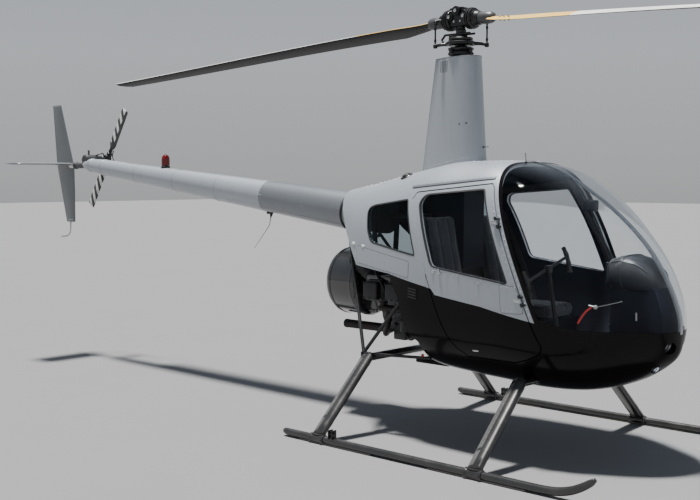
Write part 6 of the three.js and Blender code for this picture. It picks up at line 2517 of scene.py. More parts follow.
@dataclass
class EngineBay:
    """The engine, its fan housing, belt drive, exhaust, frame tubes, hoses and wires."""

    form: HullForm
    frame: dict
    crank: float = 950.0
    drive: float = 1430.0
    rear_x: float = -598.0
    scroll: tuple[float, float, float] = (240.0, -745.0, -1047.0)
    fan_sweep: float = math.degrees(0.22)
    elbow: tuple[float, float, float] = (-428, 484, 526)
    frame_front: tuple[float, float, float] = (-90, 487, 913)
    frame_rear: tuple[float, float, float] = (-905, 125, 1375)

    def build(self) -> None:
        """Build everything behind the cabin wall."""
        self._engine()
        self._scroll()
        self._belts()
        self._exhaust()
        self._tubes()
        self._plumbing()
        refine(self.frame, "firewall", BAY_METAL, "sheet_metal", bevel=1.0)
        tray = Forge()
        tray.block(spot(-185, -235, 459), spot(90, 235, 486), 8, 3)
        for x in (-150, -90, -30, 30):
            tray.block(spot(x, -215, 455.5), spot(x + 18, 215, 462), 2.5, 2)
        for y in (-205, 205):
            for x in (-170, -110, -50, 10, 70):
                tray.bolt(spot(x, y, 459), DOWN, 5, 3.5)
        tray.piece("belly_tray", [BLACK], "black_paint")

    def _engine(self) -> None:
        """Build the crankcase, the four finned cylinders, sump, intake box and accessories."""
        case = Forge()
        z0 = self.crank
        case.prism(fillet([(-598, 850), (-598, 1020), (-560, 1050), (-200, 1050), (-180, 1000), (-180, 820),
                           (-230, 700), (-300, 640), (-540, 640), (-580, 720)], 18), -118, 118)
        edges = [edge for edge in case.bm.edges if len(edge.link_faces) == 2 and edge.calc_face_angle() > 1.2]
        bmesh.ops.bevel(case.bm, geom=edges, offset=0.008, offset_type="OFFSET", segments=2, profile=0.5,
                        affect="EDGES", material=-1, clamp_overlap=True)
        for x in (-540, -470, -400, -330, -260, -210):
            for side in (-1, 1):
                case.block(spot(x - 5, side * 116 - 5, 700 if x < -220 else 760),
                           spot(x + 5, side * 116 + 5, 1040), 2)
                case.bolt(spot(x, side * 122, 1030), Vector((0, side, 0)), 6, 6)
                case.bolt(spot(x, side * 122, 868), Vector((0, side, 0)), 6, 6)
        for x in (-575, -500, -380, -260):
            for side in (-1, 1):
                case.bolt(spot(x, side * 122, 690 if x > -560 else 760), Vector((0, side, 0)), 5, 5)
        case.block(spot(-530, -62, 560), spot(-420, 62, 642), 10, 3)
        case.turned(spot(-475, 0, 644), DOWN, [(0, 0), (0, 48), (8, 48), (10, 42), (84, 42), (86, 0)], 36)
        case.turned(spot(-180, 0, 930), AHEAD,
                    [(0, 0), (0, 58), (22, 56), (26, 44), (70, 42), (78, 36), (78, 0)], 36)
        for side in (-1, 1):
            case.block(spot(-190, side * 100 - 18, 880), spot(-103, side * 100 + 18, 946), 6, 2)
            case.turned(spot(-178, side * 66, 1010), AHEAD,
                        [(0, 0), (0, 34), (30, 34), (34, 28), (62, 26), (64, 0)], 28)
            for c, s in around(4, 45):
                y, z = side * 66 + 15 * c, 1010 + 15 * s
                case.rod(spot(-116, y, z), spot(-98, y, z), 0.0052, 12)
        case.turned(spot(-520, -60, 1050), Vector((0, -0.2, 1)),
                    [(0, 0), (0, 20), (6, 20), (8, 13), (34, 12), (38, 18), (52, 18), (54, 0)], 20)
        case.rod(spot(self.rear_x + 10, 0, z0), spot(-735, 0, z0), 0.024, 28)
        case.turned(spot(self.rear_x, 0, z0), AFT, [(0, 0), (0, 66), (6, 66), (9, 48), (20, 44), (22, 0)], 36)
        case.piece("engine_case", [CAST_METAL_WITH_PAINTED_SHADE], "cast_alloy", nodes=("engine",))
        jugs, covers = Forge(), Forge()
        for x in (-480, -285):
            for side in (-1, 1):
                rows = [(0, 0), (0, 58), (14, 58), (16, 70), (20, 70), (22, 56)]
                for fin in range(15):
                    s = 28 + fin * 11.4
                    rows += [(s, 56), (s + 1.2, 78 if fin > 2 else 70), (s + 3.4, 78 if fin > 2 else 70),
                             (s + 4.6, 56)]
                rows += [(205, 60), (212, 60), (212, 0)]
                jugs.turned(spot(x, side * 110, z0 - 20), Vector((0, side, 0)), rows, 36)
                y0, y1 = sorted((side * 318, side * 372))
                covers.block(spot(x - 62, y0, z0 - 80), spot(x + 62, y1, z0 + 40), 12, 3)
                covers.block(spot(x - 66, min(side * 312, side * 322), z0 - 84),
                             spot(x + 66, max(side * 312, side * 322), z0 + 44), 3, 2)
                for dx in (-52, 0, 52):
                    for z in (z0 - 72, z0 + 32):
                        covers.bolt(spot(x + dx, side * 372, z), Vector((0, side, 0)), 5, 4)
                for s in range(7):
                    jugs.block(spot(x - 70, min(side * (322 - s * 9), side * (324.4 - s * 9)), z0 - 92),
                               spot(x + 70, max(side * (322 - s * 9), side * (324.4 - s * 9)), z0 + 50), 1, 1)
                for z in (z0 - 6, z0 - 34):
                    covers.rod(spot(x + 30, side * 120, z + 26), spot(x + 26, side * 330, z + 22), 0.009, 14)
                jugs.turned(spot(x - 40, side * 286, z0 + 18), Vector((-0.5, 0, 0.86)), [
                    (0, 0), (0, 11), (14, 11), (16, 8), (38, 7), (40, 9), (52, 9), (54, 5), (54, 0)], 16)
        jugs.piece("engine_cylinders", [CAST_METAL_WITH_PAINTED_SHADE], "cast_alloy", sharp=40)
        covers.piece("engine_rocker_covers", [BAY_METAL], "cast_alloy")

    def _scroll(self) -> None:
        """Build the fan housing with its mouth, fan and seam."""
        radius, front, rear = self.scroll
        z = self.crank - 3
        length = front - rear
        drum = Forge()
        drum.turned(spot(front, 0, z), AFT,
                    [(0, 27), (0, radius - 44), (4, radius - 30), (12, radius - 13), (22, radius - 4),
                     (36, radius), (70, radius), (length - 66, radius), (length - 40, radius - 4),
                     (length - 22, radius - 14), (length - 8, radius - 32), (length, radius - 54),
                     (length, 140), (length - 6, 131), (length - 40, 128), (length - 40, 134),
                     (length - 12, 136), (length - 7, radius - 56), (length - 30, radius - 20),
                     (length - 60, radius - 7), (34, radius - 7), (7, radius - 44), (7, 27), (0, 27)], 96)
        drum.piece("fan_housing", [SHROUD], "black_shroud", nodes=("fan_scroll",), sharp=55)
        trim = Forge()
        for s in (38, length - 70):
            trim.turned(spot(front - s, 0, z), AFT,
                        [(0, radius - 1), (0, radius + 2.2), (3, radius + 3), (15, radius + 3),
                         (18, radius + 2.2), (18, radius - 1), (0, radius - 1)], 96)
            for cosine, sine in around(20):
                out = Vector((0, cosine, sine))
                trim.dome(spot(front - s - 9, 0, z) + out * (radius + 3) * MM, out, 3, 1.3)
        trim.piece("fan_housing_bands", [SHROUD], "black_shroud")
        fan = Forge()
        fan.turned(spot(rear + 58, 0, self.crank), AFT, [
            (0, 0), (0, 168), (4, 170), (8, 168), (12, 60), (34, 52), (44, 40), (50, 20), (52, 0)], 64)
        fan.turned(spot(rear + 26, 0, self.crank), AFT, [(0, 108), (0, 122), (6, 124), (8, 112), (0, 108)],
                   64)
        base, top = spot(rear + 52, 0, self.crank), spot(rear + 20, 0, self.crank)
        for inside, outside in zip(around(24), around(24, self.fan_sweep)):
            inner, outer = Vector((0, *inside)), Vector((0, *outside))
            fan.plate([base + inner * 0.070, base + outer * 0.166, top + outer * 0.122, top + inner * 0.104],
                      inner.cross(AHEAD) * 0.0022)
        for c, s in around(6):
            fan.bolt(spot(rear + 22, 34 * c, self.crank + 34 * s), AFT, 5, 5)
        fan.piece("cooling_fan", [BAY_METAL], "cast_alloy")
        duct = Forge()
        for side in (-1, 1):
            points = route([(-800, side * 150, 1120), (-700, side * 205, 1085), (-600, side * 212, 1020)], 5)
            duct.tube(points, 0.052, 28)
            for point, other in zip(points[::2], points[1::2]):
                duct.turned(point, other - point,
                            [(0, 40), (0, 54.5), (5, 55.5), (10, 54.5), (10, 40), (0, 40)], 28)
        duct.piece("cooling_ducts", [RUBBER], "black_shroud")
        shroud = Forge()
        for side in (-1, 1):
            y0, y1 = sorted((side * 128, side * 306))
            shroud.block(spot(-560, y0, self.crank + 66), spot(-205, y1, self.crank + 82), 8, 2)
            y0, y1 = sorted((side * 300, side * 308))
            shroud.block(spot(-560, y0, self.crank + 40), spot(-205, y1, self.crank + 78), 3, 2)
        shroud.piece("cylinder_shrouds", [SHROUD], "black_shroud")

    def _belts(self) -> None:
        """Build both pulleys, the belts and the drive shaft."""
        pulley = Forge()
        for z, radius, hole in ((self.crank, 96, 24.3), (self.drive, 132, 0)):
            rows = [(0, hole), (0, radius - 22), (4, radius - 20), (8, radius - 14), (9, radius)]
            for groove in range(4):
                s = 11 + groove * 11
                rows += [(s, radius), (s + 3, radius - 10), (s + 6, radius - 10), (s + 9, radius)]
            rows += [(56, radius), (60, radius - 3), (62, radius - 14), (62, hole)]
            if hole:
                rows.append(rows[0])
            pulley.turned(spot(-625, 0, z), AFT, rows, 64)
            for c, s in around(6):
                pulley.bolt(spot(-625, 0.45 * radius * c, z + 0.45 * radius * s), AHEAD, 6, 5)
        pulley.rod(spot(-150, 0, self.drive), spot(-630, 0, self.drive), 0.020, 28)
        for x in (-190, -420, -590):
            pulley.turned(spot(x, 0, self.drive), AFT,
                          [(0, 0), (0, 44), (6, 46), (12, 46), (16, 32), (26, 30), (26, 0)], 36)
        pulley.piece("drive_pulleys", [CAST_METAL_WITH_PAINTED_SHADE], "cast_alloy", nodes=("belt_drive",))
        belt = Forge()
        for number in range(4):
            x = -638.5 - number * 11
            half = around(48)[:25]
            path = [spot(x, 127 * c, self.drive + 127 * s) for c, s in half]
            path += [spot(x, -91 * c, self.crank - 91 * s) for c, s in half]
            belt.loop_tube(path, 0.0062, 8)
        belt.piece("drive_belts", [RUBBER], "cabin_trim", sharp=60)

    def _exhaust(self) -> None:
        """Build the silencer bar, the collectors and the branch pipes."""
        bar = Forge()
        bar.turned(spot(-590, 0, 622), AFT,
                   [(0, 0), (0, 20), (6, 29), (12, 31), (430, 31), (432, 32.5), (444, 32.5), (446, 31),
                    (450, 31), (450, 27.5), (300, 27), (300, 0)], 44)
        for side in (-1, 1):
            line = [(-640, 0, 622), (-600, 18, 622), (-572, 80, 608), (-520, 152, 618), (-450, 210, 700),
                    (-430, 228, 790)]
            bar.tube(route([(x, side * y, z) for x, y, z in line]), 0.022, 26)
            rail = route([(-505, side * 226, 806), (-480, side * 226, 800), (-285, side * 226, 800),
                          (-262, side * 226, 806)], 5)
            bar.tube(rail, 0.024, 26)
            for x in (-480, -285):
                bar.rod(spot(x, side * 226, 800), spot(x, side * 226, 853.5), 0.022, 26)
                bar.turned(spot(x, side * 226, 838), UP, [(0, 0), (0, 33), (6, 34), (12, 33), (12, 0)], 26)
            bar.turned(spot(-445, side * 214, 716), Vector((0.1, side * 0.1, 0.5)),
                       [(0, 0), (0, 27), (4, 28), (18, 28), (22, 27), (22, 0)], 26)
        bar.piece("exhaust_pipes", [BURNT_STEEL], "dark_steel", nodes=("exhaust",), sharp=50)

    def _tubes(self) -> None:
        """Build the bay's frame of thin tubes, and its lugs on the rear legs."""
        tubes = Forge()
        ends = []
        for side in (-1, 1):
            elbow, front, rear = (
                spot(x, side * y, z) for x, y, z in (self.elbow, self.frame_front, self.frame_rear))
            tubes.rod(elbow, rear, 0.012, 24)
            tubes.rod(elbow, front, 0.012, 24)
            tubes.rod(elbow - Vector((0, 0, 0.006)), spot(70, side * 390, 532), 0.010, 24)
            ends.append(elbow.lerp(rear, 0.876))
            for end, other in ((rear, elbow), (front, elbow)):
                way = (other - end).normalized()
                tubes.turned(end, way, [(0, 0), (0, 13), (18, 15), (40, 15), (52, 12), (52, 0)], 24)
            lug = spot(-410, side * 484, 512)
            tubes.block(lug - Vector((0.036, 0.015, 0.018)), lug + Vector((0.038, 0.015, 0.022)), 6, 3)
            tubes.bolt(lug + Vector((-0.018, side * 0.015, 0.014)), Vector((0, side, 0)), 7, 6)
            tubes.bolt(lug + Vector((0.020, side * 0.015, 0.002)), Vector((0, side, 0)), 7, 6)
            tubes.dome(elbow, Vector((0, side, 0)), 14, 12, 16)
        tubes.rod(spot(-90, -487, 913), spot(-90, 487, 913), 0.0119, 24)
        tubes.rod(ends[0], ends[1], 0.0119, 24)
        tubes.piece("bay_frame_tubes", [DARK_STEEL], "gunmetal_tube", nodes=("engine_frame",))

    def _plumbing(self) -> None:
        """Lay the hoses, wires, oil cooler and boxes that fill the bay."""
        hoses, wires, tanks = Forge(), Forge(), Forge()
        fuel = [(-180, 60, 860), (-120, 170, 830), (-140, 290, 790), (-240, 330, 760), (-330, 300, 720),
                (-400, 180, 690)]
        sump = [(-420, -40, 600), (-330, -120, 590), (-220, -210, 620), (-120, -260, 700), (-60, -270, 800)]
        breather = [(-540, 100, 1050), (-570, 180, 1075), (-520, 270, 1060), (-420, 330, 1000),
                    (-350, 360, 930)]
        cooler = [(-200, -40, 1050), (-170, -120, 1072), (-90, -190, 1060), (0, -240, 1010), (60, -260, 960)]
        for radius, points, side in ((0.0105, fuel, -1), (0.0105, fuel, 1), (0.013, sump, 1),
                                     (0.008, breather, -1), (0.008, breather, 1), (0.016, cooler, 1)):
            path = route([(x, side * y, z) for x, y, z in points])
            hoses.tube(path, radius, 16)
            for end, other in ((path[0], path[1]), (path[-1], path[-2])):
                hoses.turned(end, other - end,
                             [(0, 0), (0, radius / MM + 3.5), (14, radius / MM + 3.5),
                              (16, radius / MM + 1.5), (26, radius / MM + 1.5), (26, 0)], 12)
        hoses.piece("bay_hoses", [RUBBER], "black_rod", sharp=50)
        for side in (-1, 1):
            for k, x in enumerate((-480, -285)):
                start = spot(x - 62, side * 286, self.crank + 60)
                middle = spot(x + 30, side * 235, self.crank + 104 + 8 * k)
                wires.tube(smooth_path([start, middle, spot(-240, side * 150, 1086 + 6 * k),
                                        spot(-118, side * 84, 1030)], 6), 0.0040, 10)
                low = spot(x + 18, side * 300, self.crank - 70)
                wires.tube(smooth_path([low, spot(x + 50, side * 250, 858), spot(-240, side * 170, 842),
                                        spot(-120, side * 82, 990)], 6), 0.0040, 10)
        wires.piece("ignition_leads", [RUBBER], "black_rod", sharp=60)
        tanks.turned(spot(-250, -250, 660), UP,
                     [(0, 0), (0, 40), (3, 44), (70, 44), (74, 46), (82, 46), (86, 40), (92, 20), (96, 14),
                      (108, 14), (108, 0)], 32)
        tanks.block(spot(-30, -330, 640), spot(18, -180, 780), 8, 3)
        for k in range(9):
            tanks.block(spot(-38, -326 + k * 17, 646), spot(-28, -318 + k * 17, 774), 1.5, 1)
        tanks.block(spot(-30, 180, 690), spot(14, 300, 800), 8, 3)
        tanks.block(spot(-120, -70, 700), spot(-60, 70, 800), 10, 3)
        tanks.turned(spot(-90, -90, 760), STARBOARD,
                     [(0, 0), (0, 26), (6, 30), (54, 30), (60, 24), (72, 16), (72, 0)], 28)
        tanks.piece("bay_boxes_and_cooler", [BAY_METAL], "sheet_metal")
        cap = Forge()
        cap.turned(spot(30, -423, 560), Vector((0, -0.3, -1)), [(0, 0), (0, 9), (16, 9), (18, 6), (18, 0)],
                   16)
        cap.piece("drain_cap", [SMALL_RED], "red_lens")


# The cabin's inside and the lamps


@dataclass
class SeatPad:
    """One stuffed seat pad: its side outline, the face that is sewn, and how far its cover swells."""

    name: str
    node: str
    outline: Outline
    face_low: tuple[float, float]
    face_high: tuple[float, float]
    rest_at: tuple[float, float]
    rest_out: tuple[float, float]
    cross_channels: tuple[float, ...]
    channels: tuple[float, float] = (236.0, 342.0)
    y_range: tuple[float, float] = (128.0, 450.0)
    swell: float = 12.0
    voxel: float = 0.008
    steps: int = 20
    pressure: float = 4.0
    depth: float = 6.0
    reach: float = 8.0

    def build(self) -> None:
        """Blow up the pad, sew its channels, pipe its edge, and give both sides' copies to the frame."""
        pad = self._blown()
        low, high = Vector(self._flat(self.face_low)), Vector(self._flat(self.face_high))
        along = (high - low).normalized()
        out = Vector((-along.y, along.x)) if along.x > 0.5 else Vector((along.y, -along.x))
        rest, away = Vector(self._flat(self.rest_at)), Vector(self.rest_out).normalized()
        corners = [Vector(self._flat(corner)) for corner in self.outline]
        middle = sum(corners, Vector((0, 0))) / len(corners)
        for vert in pad.data.vertices:
            flat = Vector((vert.co.x, vert.co.z))
            if (flat - middle).dot(out) > 0:
                s, y = (flat - low).dot(along) / MM, vert.co.y / MM
                gaps = [abs(y - line) for line in self.channels]
                gaps += [abs(s - line) for line in self.cross_channels]
                press = self.depth * MM * math.exp(-(min(gaps) / self.reach) ** 2)
                vert.co -= Vector((out.x, 0, out.y)) * press
            behind = (Vector((vert.co.x, vert.co.z)) - rest).dot(away)
            if behind < 0:
                vert.co -= Vector((away.x, 0, away.y)) * behind
        tree = BVHTree.FromPolygons([vert.co for vert in pad.data.vertices],
                                    [face.vertices[:] for face in pad.data.polygons])
        ring = self._edge_ring(tree, low, high, out)
        for side, word in SIDES:
            mesh = pad.data.copy()
            if side < 0:
                mesh.transform(Matrix.Diagonal((1, -1, 1, 1)))
                mesh.flip_normals()
            piece = hand_over(mesh, f"{self.name}_{word}", [SEAT_CLOTH],
                              nodes=(f"{self.node}_{word}",), sharp=None)
            mesh.shade_smooth()
            finer = piece.modifiers.new("smooth cover", "SUBSURF")
            finer.levels = finer.render_levels = 1
            cord = Forge()
            cord.loop_tube([Vector((point.x, side * point.y, point.z)) for point in ring], 0.0036, 10)
            cord.piece(f"{self.name}_piping_{word}", [SEAT_PIPING], "seat_cover", sharp=80)
        discard(pad)

    def _flat(self, corner: tuple[float, float]) -> tuple[float, float]:
        """Return an outline's corner as X and Z in metres in the shared frame."""
        place = spot(corner[0], 0, corner[1])
        return place.x, place.z

    def _blown(self) -> bpy.types.Object:
        """Returns:
            The cover, as a temporary object.
        """
        forge = Forge()
        forge.prism(grow(self.outline, -self.swell), self.y_range[0] + self.swell,
                    self.y_range[1] - self.swell)
        bmesh.ops.bevel(forge.bm, geom=forge.bm.edges[:], offset=0.012, offset_type="OFFSET", segments=3,
                        profile=0.5, affect="EDGES", material=-1, clamp_overlap=True)
        pad = forge.temporary()
        cells = pad.modifiers.new("even cells", "REMESH")
        cells.mode = "VOXEL"
        cells.voxel_size = self.voxel
        graph = bpy.context.evaluated_depsgraph_get()
        mesh = bpy.data.meshes.new_from_object(pad.evaluated_get(graph))
        pad.modifiers.clear()
        old, pad.data = pad.data, mesh
        bpy.data.meshes.remove(old)
        starts = [vert.co.copy() for vert in mesh.vertices]
        ends = self._simulate(pad)
        for vert, start, end in zip(mesh.vertices, starts, ends):
            step = end - start
            vert.co = start + step * min(1.0, self.swell * MM / max(step.length, 1e-9))
        return pad

    def _simulate(self, pad: bpy.types.Object) -> list[Vector]:
        """Run the cloth simulation on a pad and return where its points end.

        Args:
            pad: the pad in even cells.

        Returns:
            The points, in the mesh's order.
        """
        cloth = pad.modifiers.new("cover", "CLOTH")
        cloth.settings.use_pressure = True
        cloth.settings.uniform_pressure_force = self.pressure
        cloth.settings.effector_weights.gravity = 0.0
        cloth.point_cache.frame_start = 1
        cloth.point_cache.frame_end = self.steps
        scene = bpy.context.scene
        for step in range(1, self.steps + 1):
            scene.frame_set(step)
        cover = pad.evaluated_get(bpy.context.evaluated_depsgraph_get())
        ends = [vert.co.copy() for vert in cover.data.vertices]
        pad.modifiers.clear()
        scene.frame_set(1)
        return ends

    def _edge_ring(self, tree: BVHTree, low: Vector, high: Vector, out: Vector) -> list[Vector]:
        """Return the piping's path, laid on the cover around the sewn face.

        Args:
            tree: the cover's search tree.
            low: the lowest corner of the sewn face.
            high: its highest corner.
            out: the way that the face looks.

        Returns:
            The path's points.
        """
        y0, y1 = self.y_range[0] + 10, self.y_range[1] - 10
        length = (high - low).length / MM
        corners = fillet([(8, y0), (length - 8, y0), (length - 8, y1), (8, y1)], 40, 6)
        along = (high - low).normalized()
        path = []
        for (s0, a0), (s1, a1) in zip(corners, corners[1:] + corners[:1]):
            count = max(1, round(math.hypot(s1 - s0, a1 - a0) / 16))
            for k in range(count):
                s, y = s0 + (s1 - s0) * k / count, a0 + (a1 - a0) * k / count
                flat = low + along * s * MM + out * 0.004
                place, normal, _, _ = tree.find_nearest(Vector((flat.x, y * MM, flat.y)))
                path.append(place + normal * 0.0016)
        return path


@dataclass
class Cabin:
    """The seats, console, controls, lining and lamps."""

    frame: dict
    hood: tuple[tuple[float, float, float, float], ...] = (
        (1178, 112, 1046, 1186), (1196, 150, 1035, 1222), (1270, 165, 1025, 1243), (1370, 150, 1015, 1222),
        (1450, 115, 1005, 1150), (1480, 70, 1015, 1090))
    bow: tuple[tuple[float, float, float], ...] = ((850, 0, 1686), (1155, 0, 1172), (1215, 0, 1120))
    pedestal: tuple[float, float, float] = (1205, 1440, 105)
    stick: tuple[tuple[float, float, float], ...] = ((800, 0, 560), (790, 0, 640), (735, 0, 900),
                                                     (700, 0, 1110))

    def build(self) -> None:
        """Build the inside of the cabin, and the lamps."""
        refine(self.frame, "cabin_floor", CARPET_WITH_PAINTED_SKY, "cabin_trim", bevel=1.5)
        refine(self.frame, "gearbox_column", TRIM_WITH_PAINTED_SKY_AND_SHADE, "cabin_trim", bevel=4.0)
        refine(self.frame, "seat_base", TRIM_WITH_PAINTED_SKY_AND_SHADE, "cabin_trim", bevel=6.0)
        seat = [(138, 780), (634, 780), (640, 854), (610, 872), (138, 872)]
        SeatPad("seat_bottom_pad", "seat_cushion", seat, (138, 872), (622, 872), (138, 780.5), (0, 1),
                (170, 330)).build()
        lean = 0.207
        back = -lean * 588
        rest = [(110, 884), (194, 884), (194 + back, 1440), (170 + back, 1460), (130 + back, 1460),
                (110 + back, 1440)]
        SeatPad("seat_back_pad", "seat_back", rest, (194, 884), (194 + back, 1450), (110.5, 884), (1, lean),
                (190, 390)).build()
        self._belts()
        self._console()
        self._instruments()
        self._stick()
        self._pedals()
        self._levers()
        self._lamps()

    def _belts(self) -> None:
        """Lay a lap belt over each seat, with its buckle and anchors."""
        line = [(212, 466, 792), (224, 462, 838), (236, 452, 868), (250, 420, 884), (266, 350, 886),
                (274, 290, 885), (266, 230, 886), (250, 160, 884), (236, 128, 868), (224, 118, 838),
                (212, 114, 792)]
        for side, word in SIDES:
            path = route([(x, side * y, z) for x, y, z in line], 5)
            belt = Forge()
            length = belt.strap(path, 0.046, 0.0014, AHEAD)
            webbing = belt.piece(f"lap_belt_{word}", [WEBBING], "seat_cover")
            buckle = Forge()
            middle = spot(274, side * 290, 889)
            buckle.block(middle - Vector((0.031, 0.027, 0.004)), middle + Vector((0.031, 0.027, 0.007)), 4, 3)
            buckle.block(middle + Vector((-0.022, -0.017, 0.006)), middle + Vector((0.022, 0.017, 0.009)),
                         1.5, 2)
            for y in (114, 466):
                foot = spot(212, side * y, 786)
                buckle.block(foot - Vector((0.024, 0.003, 0.03)), foot + Vector((0.024, 0.003, 0.014)), 2.5,
                             2)
                buckle.bolt(foot + Vector((0, 0, -0.016)), Vector((0, side if y > 300 else -side, 0)), 8, 7)
            buckle.piece(f"belt_buckle_{word}", [BRIGHT_STEEL], "dark_steel")

    def _hood_ring(self, x: float, shrink: float) -> list[Vector]:
        """Return the console hood's section at a place, pulled in by a distance.

        Args:
            x: the place along the hood.
            shrink: how far it comes in.

        Returns:
            The ring's points.
        """
        table = np.array(self.hood)
        half, low, high = (float(np.interp(x, table[:, 0], table[:, k])) for k in (1, 2, 3))
        ring = []
        for c, s in around(56):
            power = 0.5 if s > 0 else 0.8
            y = (half - shrink) * math.copysign(abs(c) ** power, c)
            z = (low + high) / 2 + ((high - low) / 2 - shrink) * math.copysign(abs(s) ** 0.75, s)
            ring.append(spot(x, y, z))
        return ring

    def _console(self) -> None:
        """Build the pedestal, the hood with its piping, the bow and the compass."""
        x0, x1, half = self.pedestal
        stand = Forge()
        stand.prism(fillet([(x0, 552), (x1 - 60, 552), (x1, 640), (x1, 1060), (x0, 1060)], 24), -half, half)
        stand.prism(fillet([(x0 - 22, 560), (x0 + 6, 560), (x0 + 6, 1040), (x0 - 8, 1040)], 6), -half + 16,
                    half - 16)
        for side in (-1, 1):
            for z in (620, 760, 900, 1030):
                for x in (x0 + 14, x1 - 14):
                    stand.dome(spot(x, side * half, z), Vector((0, side, 0)), 3.4, 1.6)
        stand.piece("console_pedestal", [TRIM_WITH_PAINTED_SKY_AND_SHADE], "cabin_trim", nodes=("console",))
        hood = Forge()
        xs = [1178, 1182, 1188, 1196, 1210, 1240, 1270, 1300, 1335, 1370, 1400, 1425, 1450, 1466, 1476, 1480]
        hood.loft([self._hood_ring(x, 5.0 if x in (1178, 1480) else 0.0) for x in xs])
        bmesh.ops.smooth_vert(hood.bm, verts=hood.bm.verts[:], factor=0.35, use_axis_x=False, use_axis_y=True,
                              use_axis_z=True)
        hood.piece("console_hood", [HIDE], "cabin_trim", sharp=50)
        seams = Forge()
        for x in (1192, 1285):
            seams.loop_tube(self._hood_ring(x, -0.6), 0.0030, 8)
        for side in (-1, 1):
            places = [self._hood_ring(x, -0.5)[6 if side > 0 else 22] for x in np.linspace(1192, 1460, 12)]
            seams.tube(smooth_path(places, 4), 0.0030, 8)
        seams.piece("hood_seams", [SEAT_PIPING], "cabin_trim", sharp=80)
        frame = Forge()
        frame.tube(route(self.bow, 8), 0.0185, 26)
        for z, x in ((1400, 1020), (1250, 1108)):
            frame.turned(spot(x, 0, z), Vector((0.51, 0, -0.86)),
                         [(0, 0), (0, 20), (2, 20.5), (8, 20.5), (10, 20), (10, 0)], 26)
        frame.piece("windscreen_bow", [DARK_STEEL], "dark_steel", sharp=50)
        compass = Forge()
        compass.block(spot(962, -31, 1490), spot(1030, 31, 1556), 10, 4)
        compass.block(spot(955, -36, 1484), spot(972, 36, 1562), 6, 3)
        compass.rod(spot(985, 0, 1486), spot(1004, 0, 1452), 0.007, 16)
        compass.turned(spot(958, 0, 1523), AFT, [(0, 0), (0, 27), (2, 28), (4, 27), (5, 24), (3, 23), (3, 0)],
                       32)
        compass.piece("compass", [TRIM_WITH_PAINTED_SKY_AND_SHADE], "cabin_trim")

    def _instruments(self) -> None:
        """Fit the panel that faces the seats: round dials with plain ticks, knobs and switches."""
        panel, rims, marks = Forge(), Forge(), Forge()
        panel.block(spot(1168, -128, 1052), spot(1182, 128, 1196), 6, 3)
        panel.block(spot(1176, -86, 700), spot(1190, 86, 1030), 6, 2)
        spots = [(y, z) for z in (1156, 1092) for y in (-93, -31, 31, 93)]
        spots += [(y, z) for z in (986, 924) for y in (-45, 45)]
        for y, z in spots:
            x = 1168 if z > 1040 else 1176
            r = 26 if z > 1040 else 31
            rims.turned(spot(x + 1, y, z), AFT,
                        [(0, r - 6), (0, r), (4, r), (6, r - 1.5), (6, r - 4), (2, r - 6), (0, r - 6)], 36)
            for k in range(11):
                a = math.radians(-210 + 24 * k)
                way = Vector((0, math.cos(a), math.sin(a)))
                start, end = (r - (12 if k % 5 == 0 else 9)), (r - 6.5)
                marks.tube([spot(x - 1.2, y, z) + way * start * MM, spot(x - 1.2, y, z) + way * end * MM],
                           0.0006, 6)
            a = math.radians(35 + 61 * (y + z) % 170)
            way = Vector((0, math.cos(a), math.sin(a)))
            marks.tube([spot(x - 2.4, y, z) - way * 0.005, spot(x - 2.4, y, z) + way * (r - 10) * MM], 0.0009,
                       6)
        for k in range(7):
            y = -72 + 24 * k
            rims.turned(spot(1176, y, 862), AFT,
                        [(0, 0), (0, 6), (3, 6), (3, 2.4), (15, 3.4), (17, 2), (17, 0)], 14)
        for z in (812, 762):
            rims.block(spot(1168, -76, z - 20), spot(1180, 76, z + 20), 2.5, 2)
            for y in (-62, 62):
                rims.turned(spot(1168, y, z), AFT, [(0, 0), (0, 9), (2, 9.5), (10, 8.5), (12, 7), (12, 0)],
                            20)
            for k in range(5):
                marks.block(spot(1165.5, -36 + 16 * k, z - 5), spot(1169, -26 + 16 * k, z + 5), 0.8, 1)
        panel.piece("instrument_panel", [TRIM_WITH_PAINTED_SKY_AND_SHADE], "cabin_trim")
        rims.piece("dial_rims_and_knobs", [DARK_STEEL], "dark_steel")
        marks.piece("dial_marks", [WHITE_PLASTIC], "cabin_trim")

